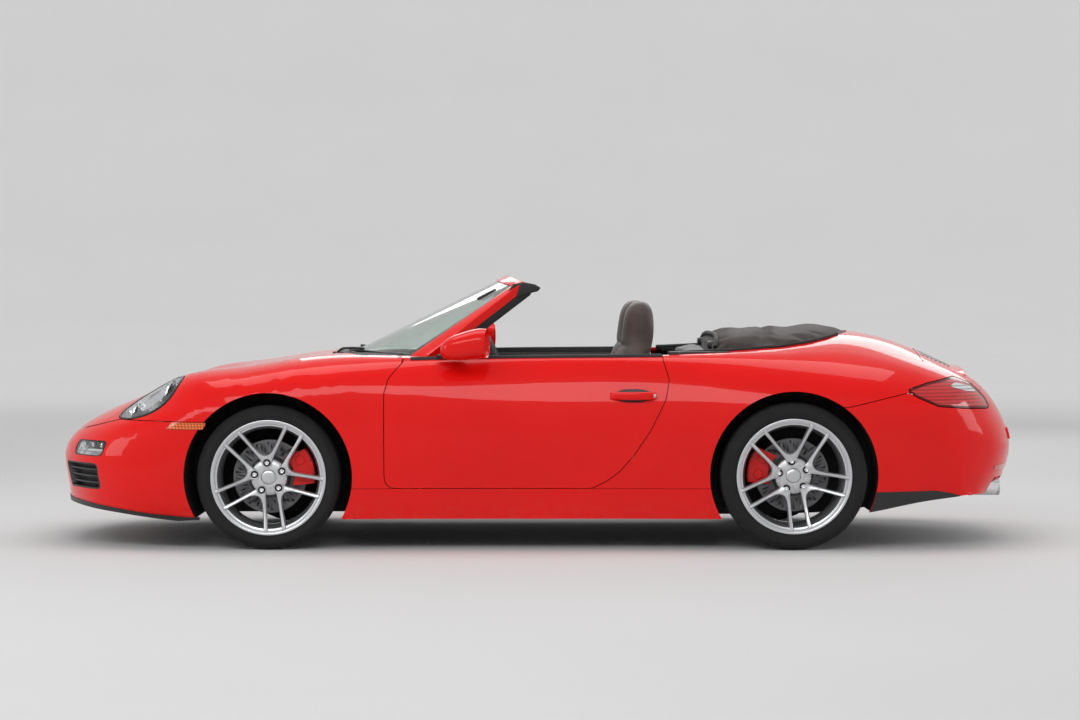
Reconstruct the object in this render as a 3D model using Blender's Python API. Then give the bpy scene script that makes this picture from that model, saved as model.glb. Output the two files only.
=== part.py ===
"""A rear-engined two-door convertible car, with its soft top folded down behind the seats.

Units are metres. The nose points to -X, +Z is up and the floor is z = 0. The origin lies on the
floor under the middle of the car's length and width. The car's own left side is -Y.
"""

import math

import bmesh
import bpy
import numpy as np
from mathutils import Matrix, Vector

# Driving dimensions of the whole car
FRONT_OVERHANG = 1.025
WHEELBASE = 2.350
REAR_OVERHANG = 1.060
BODY_WIDTH = 1.808
FRONT_TRACK = 1.486
REAR_TRACK = 1.500

# Places that follow from them
CAR_LENGTH = FRONT_OVERHANG + WHEELBASE + REAR_OVERHANG
NOSE_X = -CAR_LENGTH / 2
FRONT_AXLE_X = NOSE_X + FRONT_OVERHANG
REAR_AXLE_X = FRONT_AXLE_X + WHEELBASE
TAIL_X = CAR_LENGTH / 2

# Gaps and walls
SEAT_GAP = 0.0003
PANEL_GAP = 0.003
SKIN = 0.014

# Tyres, rims and brakes: radius and width of each
RIM_SEAT_RADIUS = 0.2413
RIM_FLANGE = 0.0165
RIM_WALL = 0.009
FRONT_TYRE_RADIUS = 0.3235
REAR_TYRE_RADIUS = 0.330
FRONT_TYRE_WIDTH = 0.235
REAR_TYRE_WIDTH = 0.285
FRONT_RIM_WIDTH = 0.218
REAR_RIM_WIDTH = 0.262
WHEEL_SIDES = 28
DISC_RADIUS = 0.165
DISC_SIDES = 20
HUB_RADIUS = 0.082
SPOKES = 5

# Wheel arches
FRONT_ARCH_RADIUS = 0.376
REAR_ARCH_RADIUS = 0.376
ARCH_SIDES = 28
LINER_GAP = 0.004
LINER_WALL = 0.010

# The body's skin is drawn on the drawing's own lengths, and stretched to the driving ones.
DRAWN_X = (-2.2175, -1.1925, 1.1575, 2.2175)
DRAWN_HALF_WIDTH = 0.904

# Each rib runs from the centre line out and down to the bottom edge of the body's side.
# Columns: centre line, middle of the lid, fender crown, shoulder, widest, lower side, bottom edge.
# Each point is (x along the car, y out from the middle, z up).
BODY_RIBS = (
    # lower edge of the front bumper
    ((-2.185, 0, .190), (-2.165, .28, .188), (-2.100, .50, .185), (-2.000, .66, .175), (-1.860, .765, .160),
     (-1.740, .805, .145), (-1.600, .815, .130)),
    # lower intakes
    ((-2.200, 0, .300), (-2.180, .28, .300), (-2.120, .50, .300), (-2.015, .67, .295), (-1.880, .785, .280),
     (-1.735, .838, .235), (-1.540, .835, .133)),
    # tip of the nose
    ((-2.2175, 0, .420), (-2.190, .28, .420), (-2.130, .50, .420), (-2.020, .675, .415), (-1.865, .800, .400),
     (-1.690, .860, .340), (-1.440, .845, .135)),
    # top of the bumper
    ((-2.130, 0, .525), (-2.108, .28, .530), (-2.055, .50, .535), (-1.950, .670, .535), (-1.780, .810, .520),
     (-1.570, .875, .460), (-1.310, .850, .137)),
    # foot of the headlights
    ((-2.000, 0, .602), (-1.980, .28, .605), (-1.925, .50, .605), (-1.830, .660, .605), (-1.660, .818, .595),
     (-1.430, .885, .540), (-1.200, .850, .138)),
    # middle of the headlights
    ((-1.820, 0, .668), (-1.805, .28, .675), (-1.765, .53, .687), (-1.700, .680, .678), (-1.550, .828, .650),
     (-1.320, .890, .580), (-1.090, .850, .138)),
    # top of the headlights
    ((-1.600, 0, .742), (-1.600, .28, .745), (-1.600, .58, .773), (-1.550, .740, .745), (-1.420, .848, .685),
     (-1.200, .892, .570), (-.990, .850, .138)),
    # front axle
    ((-1.350, 0, .808), (-1.350, .28, .802), (-1.350, .60, .811), (-1.330, .770, .775), (-1.240, .870, .690),
     (-1.060, .890, .540), (-.880, .848, .138)),
    ((-1.100, 0, .850), (-1.100, .30, .842), (-1.100, .62, .848), (-1.100, .790, .802), (-1.040, .878, .690),
     (-.920, .882, .500), (-.780, .845, .138)),
    # cowl
    ((-.880, 0, .872), (-.880, .32, .868), (-.880, .64, .866), (-.880, .795, .815), (-.860, .872, .680),
     (-.780, .868, .450), (-.690, .836, .138)),
    # doors
    ((-.600, 0, .872), (-.600, .34, .870), (-.600, .67, .864), (-.600, .790, .824), (-.600, .866, .660),
     (-.600, .856, .400), (-.580, .830, .138)),
    ((-.150, 0, .868), (-.150, .36, .868), (-.150, .69, .862), (-.150, .785, .830), (-.150, .860, .620),
     (-.150, .850, .380), (-.150, .828, .138)),
    ((.350, 0, .872), (.350, .36, .872), (.350, .69, .865), (.350, .788, .830), (.350, .862, .600),
     (.350, .853, .380), (.350, .828, .138)),
    ((.750, 0, .895), (.750, .34, .892), (.750, .67, .878), (.750, .800, .828), (.750, .880, .610),
     (.750, .872, .390), (.750, .840, .138)),
    # rear axle
    ((1.1575, 0, .940), (1.1575, .32, .932), (1.1575, .61, .900), (1.1575, .800, .822), (1.1575, .904, .630),
     (1.1575, .896, .420), (1.150, .855, .140)),
    # rear deck
    ((1.440, 0, .970), (1.440, .30, .955), (1.440, .56, .903), (1.440, .775, .812), (1.430, .893, .640),
     (1.410, .888, .440), (1.400, .853, .155)),
    ((1.700, 0, .917), (1.700, .30, .902), (1.690, .54, .856), (1.680, .735, .785), (1.620, .866, .640),
     (1.580, .870, .450), (1.560, .840, .180)),
    ((1.900, 0, .832), (1.895, .30, .820), (1.880, .54, .789), (1.840, .700, .745), (1.760, .836, .640),
     (1.700, .850, .460), (1.660, .825, .200)),
    # lip under the tail lights
    ((2.070, 0, .735), (2.060, .30, .730), (2.030, .52, .715), (1.970, .680, .690), (1.860, .800, .620),
     (1.790, .830, .470), (1.750, .800, .215)),
    ((2.165, 0, .610), (2.155, .30, .607), (2.115, .51, .600), (2.045, .660, .590), (1.940, .770, .560),
     (1.860, .810, .460), (1.830, .780, .225)),
    # middle of the rear bumper
    ((2.2175, 0, .470), (2.205, .30, .470), (2.165, .50, .470), (2.100, .640, .470), (2.000, .740, .460),
     (1.920, .785, .400), (1.900, .760, .233)),
    ((2.190, 0, .330), (2.180, .30, .330), (2.140, .50, .330), (2.080, .630, .330), (2.000, .720, .325),
     (1.940, .755, .300), (1.940, .745, .238)),
    # lower edge of the rear bumper
    ((2.130, 0, .235), (2.120, .30, .235), (2.090, .48, .235), (2.050, .600, .237), (2.010, .680, .239),
     (1.985, .710, .240), (1.970, .730, .240)),
)
# Steps of the mesh between one rib and the next, and between one column and the next
RIB_STEPS = (1, 1, 2, 2, 2, 2, 2, 2, 1, 1, 1, 1, 1, 2, 2, 2, 2, 1, 2, 2, 1, 1)
COLUMN_STEPS = (1, 1, 2, 2, 1, 1)

# Shut lines seen from the side, as (x along the car, z up), on the drawing's own lengths
DOOR_LINE = ((-.673, .2765), (-.673, .700), (-.655, .765), (-.615, .812), (-.585, .845), (-.580, .920),
             (.562, .920), (.575, .840), (.600, .760), (.582, .669), (.515, .535), (.439, .423),
             (.381, .356), (.323, .311), (.255, .2765))
BUMPER_LINE = ((-2.40, .5115), (-2.14, .5115), (-1.877, .5775), (-1.570, .5735), (-1.19, .5735))
SILL_TOP = .2735
TAIL_LINE = ((1.40, .640), (1.662, .700), (1.74, .700), (1.95, .705), (2.40, .705))
TAIL_LIGHT_LINE = ((1.662, .714), (1.760, .742), (1.905, .768), (1.985, .738), (2.050, .672), (2.074, .625),
                   (1.950, .630), (1.808, .641), (1.714, .681))
# Intakes of the nose seen from ahead, as (y across the car, z up)
SIDE_INTAKE = ((-.725, .262), (-.725, .380), (-.430, .380), (-.455, .262))
MIDDLE_INTAKE = ((-.345, .228), (-.385, .330), (.385, .330), (.345, .228))
FRONT_LAMP_BOX = ((-2.30, .550, .412), (-1.85, .742, .482))
# Shut lines seen from above, as (x along the car, y out from the middle)
LID_LINE = ((-2.30, .600), (-1.99, .600), (-1.925, .585), (-1.895, .553), (-1.865, .513), (-1.80, .473),
            (-1.72, .460), (-1.60, .482), (-1.30, .560), (-1.05, .620), (-.86, .655), (-.80, .640), (-.845, .560),
            (-.905, .400), (-.948, .200), (-.962, 0))
COWL_LINE = ((-.962, 0), (-.948, .200), (-.905, .400), (-.845, .560), (-.80, .640), (-.79, .655),
             (-.55, .655), (-.58, .620), (-.72, .500), (-.81, .350), (-.850, .180), (-.862, 0))
TOP_LINE = ((.880, .640), (1.110, .590), (1.250, .520), (1.340, .430), (1.420, .290), (1.465, .140), (1.475, 0))
DECK_LINE = ((.620, .722), (.880, .700), (1.110, .660), (1.500, .585), (1.7745, .520))
ENGINE_LID_LINE = ((1.7745, .500), (2.010, .470), (2.600, .455))

# Pack of the folded soft top: its crown over the body's line is (share from front to rear, height)
TOP_FRONT = .812
TOP_HALF = .632
TOP_REAR_GAP = .006
TOP_STEPS = 14
TOP_CROWN = ((0, .026), (.05, .055), (.12, .067), (.25, .068), (.45, .054), (.65, .039), (.85, .021), (1, .002))

# Lip at the end of the engine lid
SPOILER_X = 2.000
SPOILER_HALF = .440
SPOILER_SWEEP = .018
SPOILER_STEPS = 12
SPOILER_SECTION = ((-.060, -.004), (-.060, .001), (-.025, .009), (-.004, .0135), (0, .0095), (-.006, -.006))

# Floor of the soft top's well
WELL_FLOOR = 0.740

# Windscreen: bottom and top edges of the glass, at the middle and at the sides, as (x, y, z)
GLASS_BASE = ((-.900, 0, .855), (-.590, .650, .845))
GLASS_TOP = ((-.186, 0, 1.205), (-.105, .510, 1.180))
GLASS_THICKNESS = 0.006
GLASS_RECESS = 0.004
PILLAR_WIDTH = 0.055
PILLAR_DEPTH = 0.034

# Hinges
DOOR_HINGE_X, DOOR_HINGE_Y = -.608, .842
DOOR_INNER_Y = 0.735
DOOR_HINGE_HEIGHTS = (.400, .640)
DOOR_GAP = 0.007
MIRROR_SPOT = (-.310, -.893, .925)
MIRROR_HALF = (.090, .069)
MIRROR_SIDES = 12
MIRROR_FOOT_Z = .842
HANDLE_SPOT = (.4395, -.866, .690)
HANDLE_RADII = (.104, .026, .019)
HINGE_RADIUS = 0.009
HINGE_LENGTH = 0.050
HINGE_PLAY = 0.0005
FRONT_LID_HINGE_X = -1.065
ENGINE_LID_HINGE_X = 1.870
LID_GAP = 0.009
LID_HINGE_DEPTH = 0.024
FRONT_LID_HINGE_Y = 0.390
ENGINE_LID_HINGE_Y = 0.200
LID_HINGE_RADIUS = 0.006
LID_HINGE_WIDTH = 0.012


def along(x):
    """Move a station of the drawing to its place on the car."""
    real = (NOSE_X, FRONT_AXLE_X, REAR_AXLE_X, TAIL_X)
    return float(np.interp(x, DRAWN_X, real)) + min(x - DRAWN_X[0], 0) + max(x - DRAWN_X[-1], 0)


def across(y):
    """Move a drawn distance from the middle to its place on the car."""
    return y * BODY_WIDTH / 2 / DRAWN_HALF_WIDTH


# Rows of a mirror's housing, from its rear edge to its nose: (how far ahead of the middle, size, drop)
MIRROR_ROWS = ((-.0975, .93, 0), (-.060, 1.0, 0), (.020, .925, .014), (.080, .690, .025), (.105, .400, .030))


# Materials
def material(name, colour, roughness, metallic=0.0, alpha=1.0):
    """Make a Principled material."""
    made = bpy.data.materials.new(name)
    made.use_nodes = True
    shader = made.node_tree.nodes["Principled BSDF"]
    shader.inputs["Base Color"].default_value = (*colour, 1)
    shader.inputs["Roughness"].default_value = roughness
    shader.inputs["Metallic"].default_value = metallic
    shader.inputs["Alpha"].default_value = alpha
    return made


# Working solids
def solid(bm, name="work"):
    """Turn a bmesh into an object, with its faces outwards."""
    bmesh.ops.recalc_face_normals(bm, faces=bm.faces)
    mesh = bpy.data.meshes.new(name)
    bm.to_mesh(mesh)
    bm.free()
    made = bpy.data.objects.new(name, mesh)
    bpy.context.scene.collection.objects.link(made)
    return made


def remove(thing):
    """Take a working solid away."""
    bpy.data.objects.remove(thing)


def copy(thing):
    """Copy a working solid."""
    made = bpy.data.objects.new("work", thing.data.copy())
    bpy.context.scene.collection.objects.link(made)
    return made


def mirrored(thing):
    """Copy a working solid to the other side of the car."""
    bm = bmesh.new()
    bm.from_mesh(thing.data)
    bmesh.ops.scale(bm, vec=(1, -1, 1), verts=bm.verts)
    bmesh.ops.reverse_faces(bm, faces=bm.faces)
    return solid(bm)


def moved(thing, step):
    """Move a working solid's mesh by a step."""
    thing.data.transform(Matrix.Translation(step))
    return thing


def combine(target, tool, operation, keep=False):
    """Join, cut or trim one working solid with another."""
    modifier = target.modifiers.new("combine", "BOOLEAN")
    modifier.operation = operation
    modifier.solver = "EXACT"
    modifier.object = tool
    depsgraph = bpy.context.evaluated_depsgraph_get()
    mesh = bpy.data.meshes.new_from_object(target.evaluated_get(depsgraph))
    target.modifiers.remove(modifier)
    target.data = mesh
    if not keep:
        remove(tool)
    return target


def join(target, *tools):
    """Fuse working solids into one."""
    for tool in tools:
        combine(target, tool, "UNION")
    return target


def cut(target, tool, keep=False):
    """Take a working solid out of another."""
    return combine(target, tool, "DIFFERENCE", keep)


def trim(target, tool, keep=False):
    """Keep only what lies inside another working solid."""
    return combine(target, tool, "INTERSECT", keep)


def prism(points, axis, low, high):
    """Extrude an outline along X, Y or Z; its points give the other two coordinates in X, Y, Z order."""
    bm = bmesh.new()
    spot = "XYZ".index(axis)
    corners = [list(point[:spot]) + [low] + list(point[spot:]) for point in points]
    face = bm.faces.new([bm.verts.new(corner) for corner in corners])
    raised = bmesh.ops.extrude_face_region(bm, geom=[face])["geom"]
    step = [high - low if letter == axis else 0 for letter in "XYZ"]
    bmesh.ops.translate(bm, vec=step, verts=[item for item in raised if isinstance(item, bmesh.types.BMVert)])
    return solid(bm)


def box(low, high):
    """Make a box between two corners."""
    bm = bmesh.new()
    bmesh.ops.create_cube(bm, size=1)
    low, high = Vector(low), Vector(high)
    bmesh.ops.scale(bm, vec=high - low, verts=bm.verts)
    bmesh.ops.translate(bm, vec=(low + high) / 2, verts=bm.verts)
    return solid(bm)


def revolve(profile, sides, centre=(0, 0, 0), axis="Y"):
    """Spin a closed profile of (along the axis, radius) points about an axis through a centre."""
    bm = bmesh.new()
    turned = {"Y": lambda a, r: (r, a, 0), "Z": lambda a, r: (r, 0, a), "X": lambda a, r: (a, r, 0)}[axis]
    ring = [bm.verts.new(turned(*point)) for point in profile]
    edges = [bm.edges.new(pair) for pair in zip(ring, ring[1:] + ring[:1])]
    line = {"X": (1, 0, 0), "Y": (0, 1, 0), "Z": (0, 0, 1)}[axis]
    bmesh.ops.spin(bm, geom=ring + edges, cent=(0, 0, 0), axis=line, angle=math.tau, steps=sides,
                   use_merge=True, use_duplicate=False)
    bmesh.ops.remove_doubles(bm, verts=bm.verts, dist=1e-6)
    flat = [edge for edge in bm.edges if not edge.link_faces]
    bmesh.ops.delete(bm, geom=flat, context="EDGES")
    bmesh.ops.translate(bm, vec=centre, verts=bm.verts)
    return solid(bm)


def disc(radius, low, high, sides, centre=(0, 0, 0), axis="Y"):
    """Make a round bar along an axis."""
    bm = bmesh.new()
    bmesh.ops.create_cone(bm, cap_ends=True, segments=sides, radius1=radius, radius2=radius, depth=high - low)
    bmesh.ops.translate(bm, vec=(0, 0, (low + high) / 2), verts=bm.verts)
    turn = {"Y": Matrix.Rotation(-math.pi / 2, 4, "X"), "X": Matrix.Rotation(math.pi / 2, 4, "Y"),
            "Z": Matrix.Identity(4)}[axis]
    bmesh.ops.transform(bm, matrix=Matrix.Translation(centre) @ turn, verts=bm.verts)
    return solid(bm)


def loft(rings):
    """Skin a row of rings with equal numbers of points into a closed solid."""
    bm = bmesh.new()
    rows = [[bm.verts.new(point) for point in ring] for ring in rings]
    for first, second in zip(rows, rows[1:]):
        for i in range(len(first)):
            j = (i + 1) % len(first)
            bm.faces.new((first[i], first[j], second[j], second[i]))
    bm.faces.new(rows[0])
    bm.faces.new(rows[-1])
    return solid(bm)


# The body's skin
def second_slopes(stations, points):
    """Second derivatives of a natural cubic spline through points."""
    count = len(stations)
    steps = np.diff(stations)
    system = np.eye(count)
    rhs = np.zeros(points.shape)
    for i in range(1, count - 1):
        system[i, i - 1:i + 2] = steps[i - 1], 2 * (steps[i - 1] + steps[i]), steps[i]
        rhs[i] = 6 * ((points[i + 1] - points[i]) / steps[i] - (points[i] - points[i - 1]) / steps[i - 1])
    return np.linalg.solve(system, rhs.reshape(count, -1)).reshape(points.shape)


def spline(stations, points, wanted):
    """Read a natural cubic spline at the wanted stations."""
    bends = second_slopes(stations, points)
    left = np.clip(np.searchsorted(stations, wanted) - 1, 0, len(stations) - 2)
    shape = (-1,) + (1,) * (points.ndim - 1)
    step = (stations[left + 1] - stations[left]).reshape(shape)
    back = (stations[left + 1] - wanted).reshape(shape) / step
    on = 1 - back
    straight = back * points[left] + on * points[left + 1]
    return straight + ((back ** 3 - back) * bends[left] + (on ** 3 - on) * bends[left + 1]) * step ** 2 / 6


def chords(net, axis):
    """Mean lengths along the net, as spline stations."""
    steps = np.linalg.norm(np.diff(net, axis=axis), axis=2).mean(axis=1 - axis)
    return np.concatenate([[0], np.cumsum(steps)])


def refined(stations, counts):
    """Divide each stretch between stations into equal steps."""
    parts = [np.linspace(a, b, n, endpoint=False) for a, b, n in zip(stations, stations[1:], counts)]
    return np.concatenate(parts + [stations[-1:]])


def skin_points():
    """Points of the body's outer surface, from the left bottom edge over the top to the right one."""
    half = np.array([[(along(x), across(y), z) for x, y, z in rib] for rib in BODY_RIBS])
    other = half[:, :0:-1] * (1, -1, 1)
    net = np.concatenate([other, half], axis=1)
    down, round_ = chords(net, 0), chords(net, 1)
    rows = spline(down, net, refined(down, RIB_STEPS))
    columns = refined(round_, COLUMN_STEPS[::-1] + COLUMN_STEPS)
    return spline(round_, rows.transpose(1, 0, 2), columns).transpose(1, 0, 2)


def inward(points, depth):
    """Move the surface's points along its normals, towards the inside of the car."""
    du, dv = np.gradient(points, axis=0), np.gradient(points, axis=1)
    normals = np.cross(du, dv)
    normals /= np.linalg.norm(normals, axis=2, keepdims=True)
    return points - normals * depth


def surface_faces(bm, points, flip=False):
    """Add the surface's faces to a bmesh and return its vertices as rows."""
    rows = [[bm.verts.new(point) for point in row] for row in points]
    for first, second in zip(rows, rows[1:]):
        for i in range(len(first) - 1):
            corners = [first[i], first[i + 1], second[i + 1], second[i]]
            bm.faces.new(corners[::-1] if flip else corners)
    return rows


def border(rows):
    """The edge loop round the surface's vertices."""
    return rows[0][:-1] + [row[-1] for row in rows[:-1]] + rows[-1][:0:-1] + [row[0] for row in rows[:0:-1]]


def skin_sheet(points, depth):
    """The body's skin as one closed sheet of even thickness."""
    bm = bmesh.new()
    outer = border(surface_faces(bm, points))
    inner = border(surface_faces(bm, inward(points, depth), flip=True))
    for i in range(len(outer)):
        j = (i + 1) % len(outer)
        bm.faces.new((outer[i], inner[i], inner[j], outer[j]))
    bmesh.ops.triangulate(bm, faces=bm.faces)
    return solid(bm)


def body_volume(points):
    """Everything inside the surface, closed along the bottom of the car."""
    bm = bmesh.new()
    rows = surface_faces(bm, points)
    for first, second in zip(rows, rows[1:]):
        bm.faces.new((first[-1], first[0], second[0], second[-1]))
    bm.faces.new(rows[0])
    bm.faces.new(rows[-1])
    bmesh.ops.triangulate(bm, faces=bm.faces)
    return solid(bm)


def drawn(points, axis="Y"):
    """Move drawn (x, z) points, or (x, y) points for axis Z, to their places on the car."""
    return [(along(x), across(other) if axis == "Z" else other) for x, other in points]


def grown(points, distance):
    """Move an outline's points outwards by a distance along its corners' normals."""
    points = [Vector(point) for point in points]
    area = sum(a.x * b.y - b.x * a.y for a, b in zip(points, points[1:] + points[:1]))
    turn = 1 if area > 0 else -1
    result = []
    for before, here, after in zip(points[-1:] + points[:-1], points, points[1:] + points[:1]):
        first, second = (here - before).normalized(), (after - here).normalized()
        normal = Vector((first.y + second.y, -first.x - second.x)).normalized() * turn
        reach = distance / max(normal.dot(Vector((first.y, -first.x)) * turn), 0.5)
        result.append(tuple(here + normal * reach))
    return result


FLAT_DEG = 0.2


def finish(thing, name, look, origin=None):
    """Clean a solid and make it a node of the car."""
    bm = bmesh.new()
    bm.from_mesh(thing.data)
    bmesh.ops.remove_doubles(bm, verts=bm.verts, dist=2e-5)
    bmesh.ops.dissolve_degenerate(bm, edges=bm.edges, dist=2e-5)
    bmesh.ops.dissolve_limit(bm, angle_limit=math.radians(FLAT_DEG), verts=bm.verts, edges=bm.edges)
    bmesh.ops.triangulate(bm, faces=bm.faces)
    if origin is not None:
        bmesh.ops.translate(bm, vec=-Vector(origin), verts=bm.verts)
    bm.to_mesh(thing.data)
    bm.free()
    thing.name = name
    thing.data.name = name
    thing.data.materials.clear()
    thing.data.materials.append(look)
    if origin is not None:
        thing.location = origin
    return thing


for old in list(bpy.data.objects):
    bpy.data.objects.remove(old)

# Colours read from the photo
RED_PAINT = material("red_paint", (0.62, 0.008, 0.008), 0.22)
BLACK_PLASTIC = material("black_plastic", (0.02, 0.02, 0.02), 0.6)
BLACK_FABRIC = material("black_fabric", (0.03, 0.028, 0.028), 0.9)
LEATHER = material("brown_leather", (0.06, 0.035, 0.028), 0.55)
GLASS = material("green_glass", (0.55, 0.68, 0.62), 0.05, alpha=0.35)
CLEAR = material("clear_lamp", (0.8, 0.82, 0.84), 0.1)
RED_LAMP = material("red_lamp", (0.45, 0.01, 0.015), 0.15)
SILVER = material("silver_paint", (0.62, 0.64, 0.66), 0.3, 0.8)
STEEL = material("steel", (0.4, 0.4, 0.42), 0.45, 0.9)
CHROME = material("chrome", (0.75, 0.75, 0.76), 0.15, 1.0)
RUBBER = material("rubber", (0.025, 0.025, 0.026), 0.8)
DARK_METAL = material("dark_metal", (0.08, 0.08, 0.085), 0.6, 0.4)

FAR = 3.0
POINTS = skin_points()
SHEET = skin_sheet(POINTS, SKIN)
VOLUME = body_volume(POINTS)
CORE = body_volume(inward(POINTS, SKIN + SEAT_GAP))
SEATING = body_volume(inward(POINTS, -SEAT_GAP))

BODY_EDGE = BODY_WIDTH / 2
FRONT_HUB = (FRONT_AXLE_X, -FRONT_TRACK / 2, FRONT_TYRE_RADIUS)
REAR_HUB = (REAR_AXLE_X, -(REAR_TRACK / 2 - 0.008), REAR_TYRE_RADIUS)


def arch(hub, radius, inner, sides=ARCH_SIDES):
    """Room for a wheel at the car's left side, from the inside out."""
    return disc(radius, -BODY_EDGE - 0.2, inner, sides, (hub[0], 0, hub[2] + 0.004))


FRONT_ROOM_INNER = -(FRONT_TRACK / 2 - 0.298)
REAR_ROOM_INNER = REAR_HUB[1] + REAR_TYRE_WIDTH / 2 + 0.012


def side_panel(outline, gap, low=-BODY_EDGE - 0.2, high=-0.3):
    """The skin inside an outline seen from the side, on the car's left."""
    part = copy(SHEET)
    return trim(part, prism(grown(drawn(outline), -gap), "Y", low, high))


def top_plan(line, *corners):
    """Outline of a lid seen from above: a half line, its extra corners and their mirror images."""
    half = drawn(list(line) + list(corners), "Z")
    return half + [(x, -y) for x, y in reversed(half) if abs(y) > 1e-6]


front_arch = arch(FRONT_HUB, FRONT_ARCH_RADIUS, -0.3)
rear_arch = arch(REAR_HUB, REAR_ARCH_RADIUS, -0.3)
both_arches = [front_arch, mirrored(front_arch), rear_arch, mirrored(rear_arch)]
lid_plan = top_plan(LID_LINE)

# Bumpers
front_bumper = copy(SHEET)
below_line = [(x, z - PANEL_GAP / 2) for x, z in BUMPER_LINE]
trim(front_bumper, prism(drawn([(-2.6, .05)] + below_line + [(-1.19, .05)]), "Y", -FAR, FAR))
cut(front_bumper, both_arches[0], keep=True)
cut(front_bumper, both_arches[1], keep=True)

for intake in (SIDE_INTAKE, [(-y, z) for y, z in SIDE_INTAKE], MIDDLE_INTAKE):
    cut(front_bumper, prism([(across(y), z) for y, z in intake], "X", along(-2.6), along(-1.6)))

rear_bumper = copy(SHEET)
below_tail = [(x, z - PANEL_GAP / 2) for x, z in TAIL_LINE]
trim(rear_bumper, prism(drawn([(1.20, .05), (1.20, .640)] + below_tail + [(2.6, .05)]), "Y", -FAR, FAR))
cut(rear_bumper, both_arches[2], keep=True)
cut(rear_bumper, both_arches[3], keep=True)

# Front fenders, with the foot of the windscreen pillar
above_line = [(x, z + PANEL_GAP / 2) for x, z in BUMPER_LINE]
door_front = grown(list(DOOR_LINE), DOOR_GAP)[:5]
fender_side = above_line + [(-1.19, SILL_TOP + PANEL_GAP)] + [(door_front[0][0], SILL_TOP + PANEL_GAP)]
fender_side += [(x, z) for x, z in door_front[1:5]] + [(door_front[4][0], 1.0), (-2.40, 1.0)]
fender_room = prism(drawn(fender_side), "Y", -FAR, -0.2)
foot = box((along(-.75), across(-DOOR_INNER_Y) + DOOR_GAP, .80), (along(-.50), -0.2, .98))
join(fender_room, foot)
fender = trim(copy(SHEET), fender_room)
cut(fender, both_arches[0], keep=True)
lid_hole = prism(grown(lid_plan, LID_GAP), "Z", .40, 1.2)
cut(fender, lid_hole, keep=True)
cowl_half = drawn(list(COWL_LINE), "Z")
cowl_plan = cowl_half + [(x, -y) for x, y in reversed(cowl_half[1:-1])]
behind_cowl = top_plan([(-.962, 0), (-.948, .200), (-.905, .400), (-.845, .560), (-.79, .6575), (-.45, .6575)])
cut(fender, prism(behind_cowl, "Z", .40, 1.2))

# Front lid and cowl
front_lid = trim(copy(SHEET), prism(lid_plan, "Z", .40, 1.2))
trim(front_lid, prism(drawn(above_line + [(-.70, .5735), (-.70, 1.2), (-2.4, 1.2)]), "Y", -FAR, FAR))
cowl = trim(copy(SHEET), prism(cowl_plan, "Z", .70, 1.2))
cut(cowl, lid_hole)

# Doors
outline = drawn(DOOR_LINE)
door = trim(copy(VOLUME), prism(outline, "Y", -FAR, across(-DOOR_INNER_Y)))
inner_outline = grown(outline, -0.022)
inner_outline = [(x, min(z, .91)) for x, z in inner_outline]
recess = copy(CORE)
cut(recess, prism(inner_outline, "Y", -FAR, FAR))
trim(recess, box((-FAR, -FAR, 0), (FAR, -.5, .86)))
cut(door, recess)


def ellipsoid(centre, radii, segments=16, rings=8):
    """Make a round lump with three radii."""
    bm = bmesh.new()
    bmesh.ops.create_uvsphere(bm, u_segments=segments, v_segments=rings, radius=1)
    bmesh.ops.scale(bm, vec=radii, verts=bm.verts)
    bmesh.ops.translate(bm, vec=centre, verts=bm.verts)
    return solid(bm)


mirror_spot = (along(MIRROR_SPOT[0]), across(MIRROR_SPOT[1]), MIRROR_SPOT[2])
mirror_rings = []
for ahead, size, drop in MIRROR_ROWS:
    turns = [math.tau * (k + .5) / MIRROR_SIDES for k in range(MIRROR_SIDES)]
    mirror_rings.append([(mirror_spot[0] - ahead, mirror_spot[1] + MIRROR_HALF[0] * size * math.cos(turn),
                          mirror_spot[2] - drop + MIRROR_HALF[1] * size * math.sin(turn)) for turn in turns])
mirror = loft(mirror_rings)
foot_x = mirror_spot[0]
foot_section = [(foot_x - .045, MIRROR_FOOT_Z), (foot_x + .035, MIRROR_FOOT_Z),
                (foot_x + .022, MIRROR_FOOT_Z + .026), (foot_x - .030, MIRROR_FOOT_Z + .026)]
join(mirror, prism(foot_section, "Y", mirror_spot[1] + .02, across(-DOOR_INNER_Y) - .012))
join(door, mirror)
handle_spot = (along(HANDLE_SPOT[0]), across(HANDLE_SPOT[1]), HANDLE_SPOT[2])
join(door, ellipsoid(handle_spot, HANDLE_RADII, 12, 6))
DOOR_AXIS = (along(DOOR_HINGE_X), -across(DOOR_HINGE_Y))
for height in DOOR_HINGE_HEIGHTS:
    half = HINGE_LENGTH / 2 + HINGE_PLAY
    pocket = box((DOOR_AXIS[0] - 0.2, DOOR_AXIS[1] - HINGE_RADIUS - 0.001, height - half),
                 (DOOR_AXIS[0] + HINGE_RADIUS + 0.005, -0.5, height + half))
    cut(door, pocket)

# Sills
sill = trim(copy(SHEET), box((along(-1.2), -FAR, 0), (along(1.17), -.3, SILL_TOP)))
cut(sill, both_arches[0], keep=True)
cut(sill, both_arches[2], keep=True)

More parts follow.
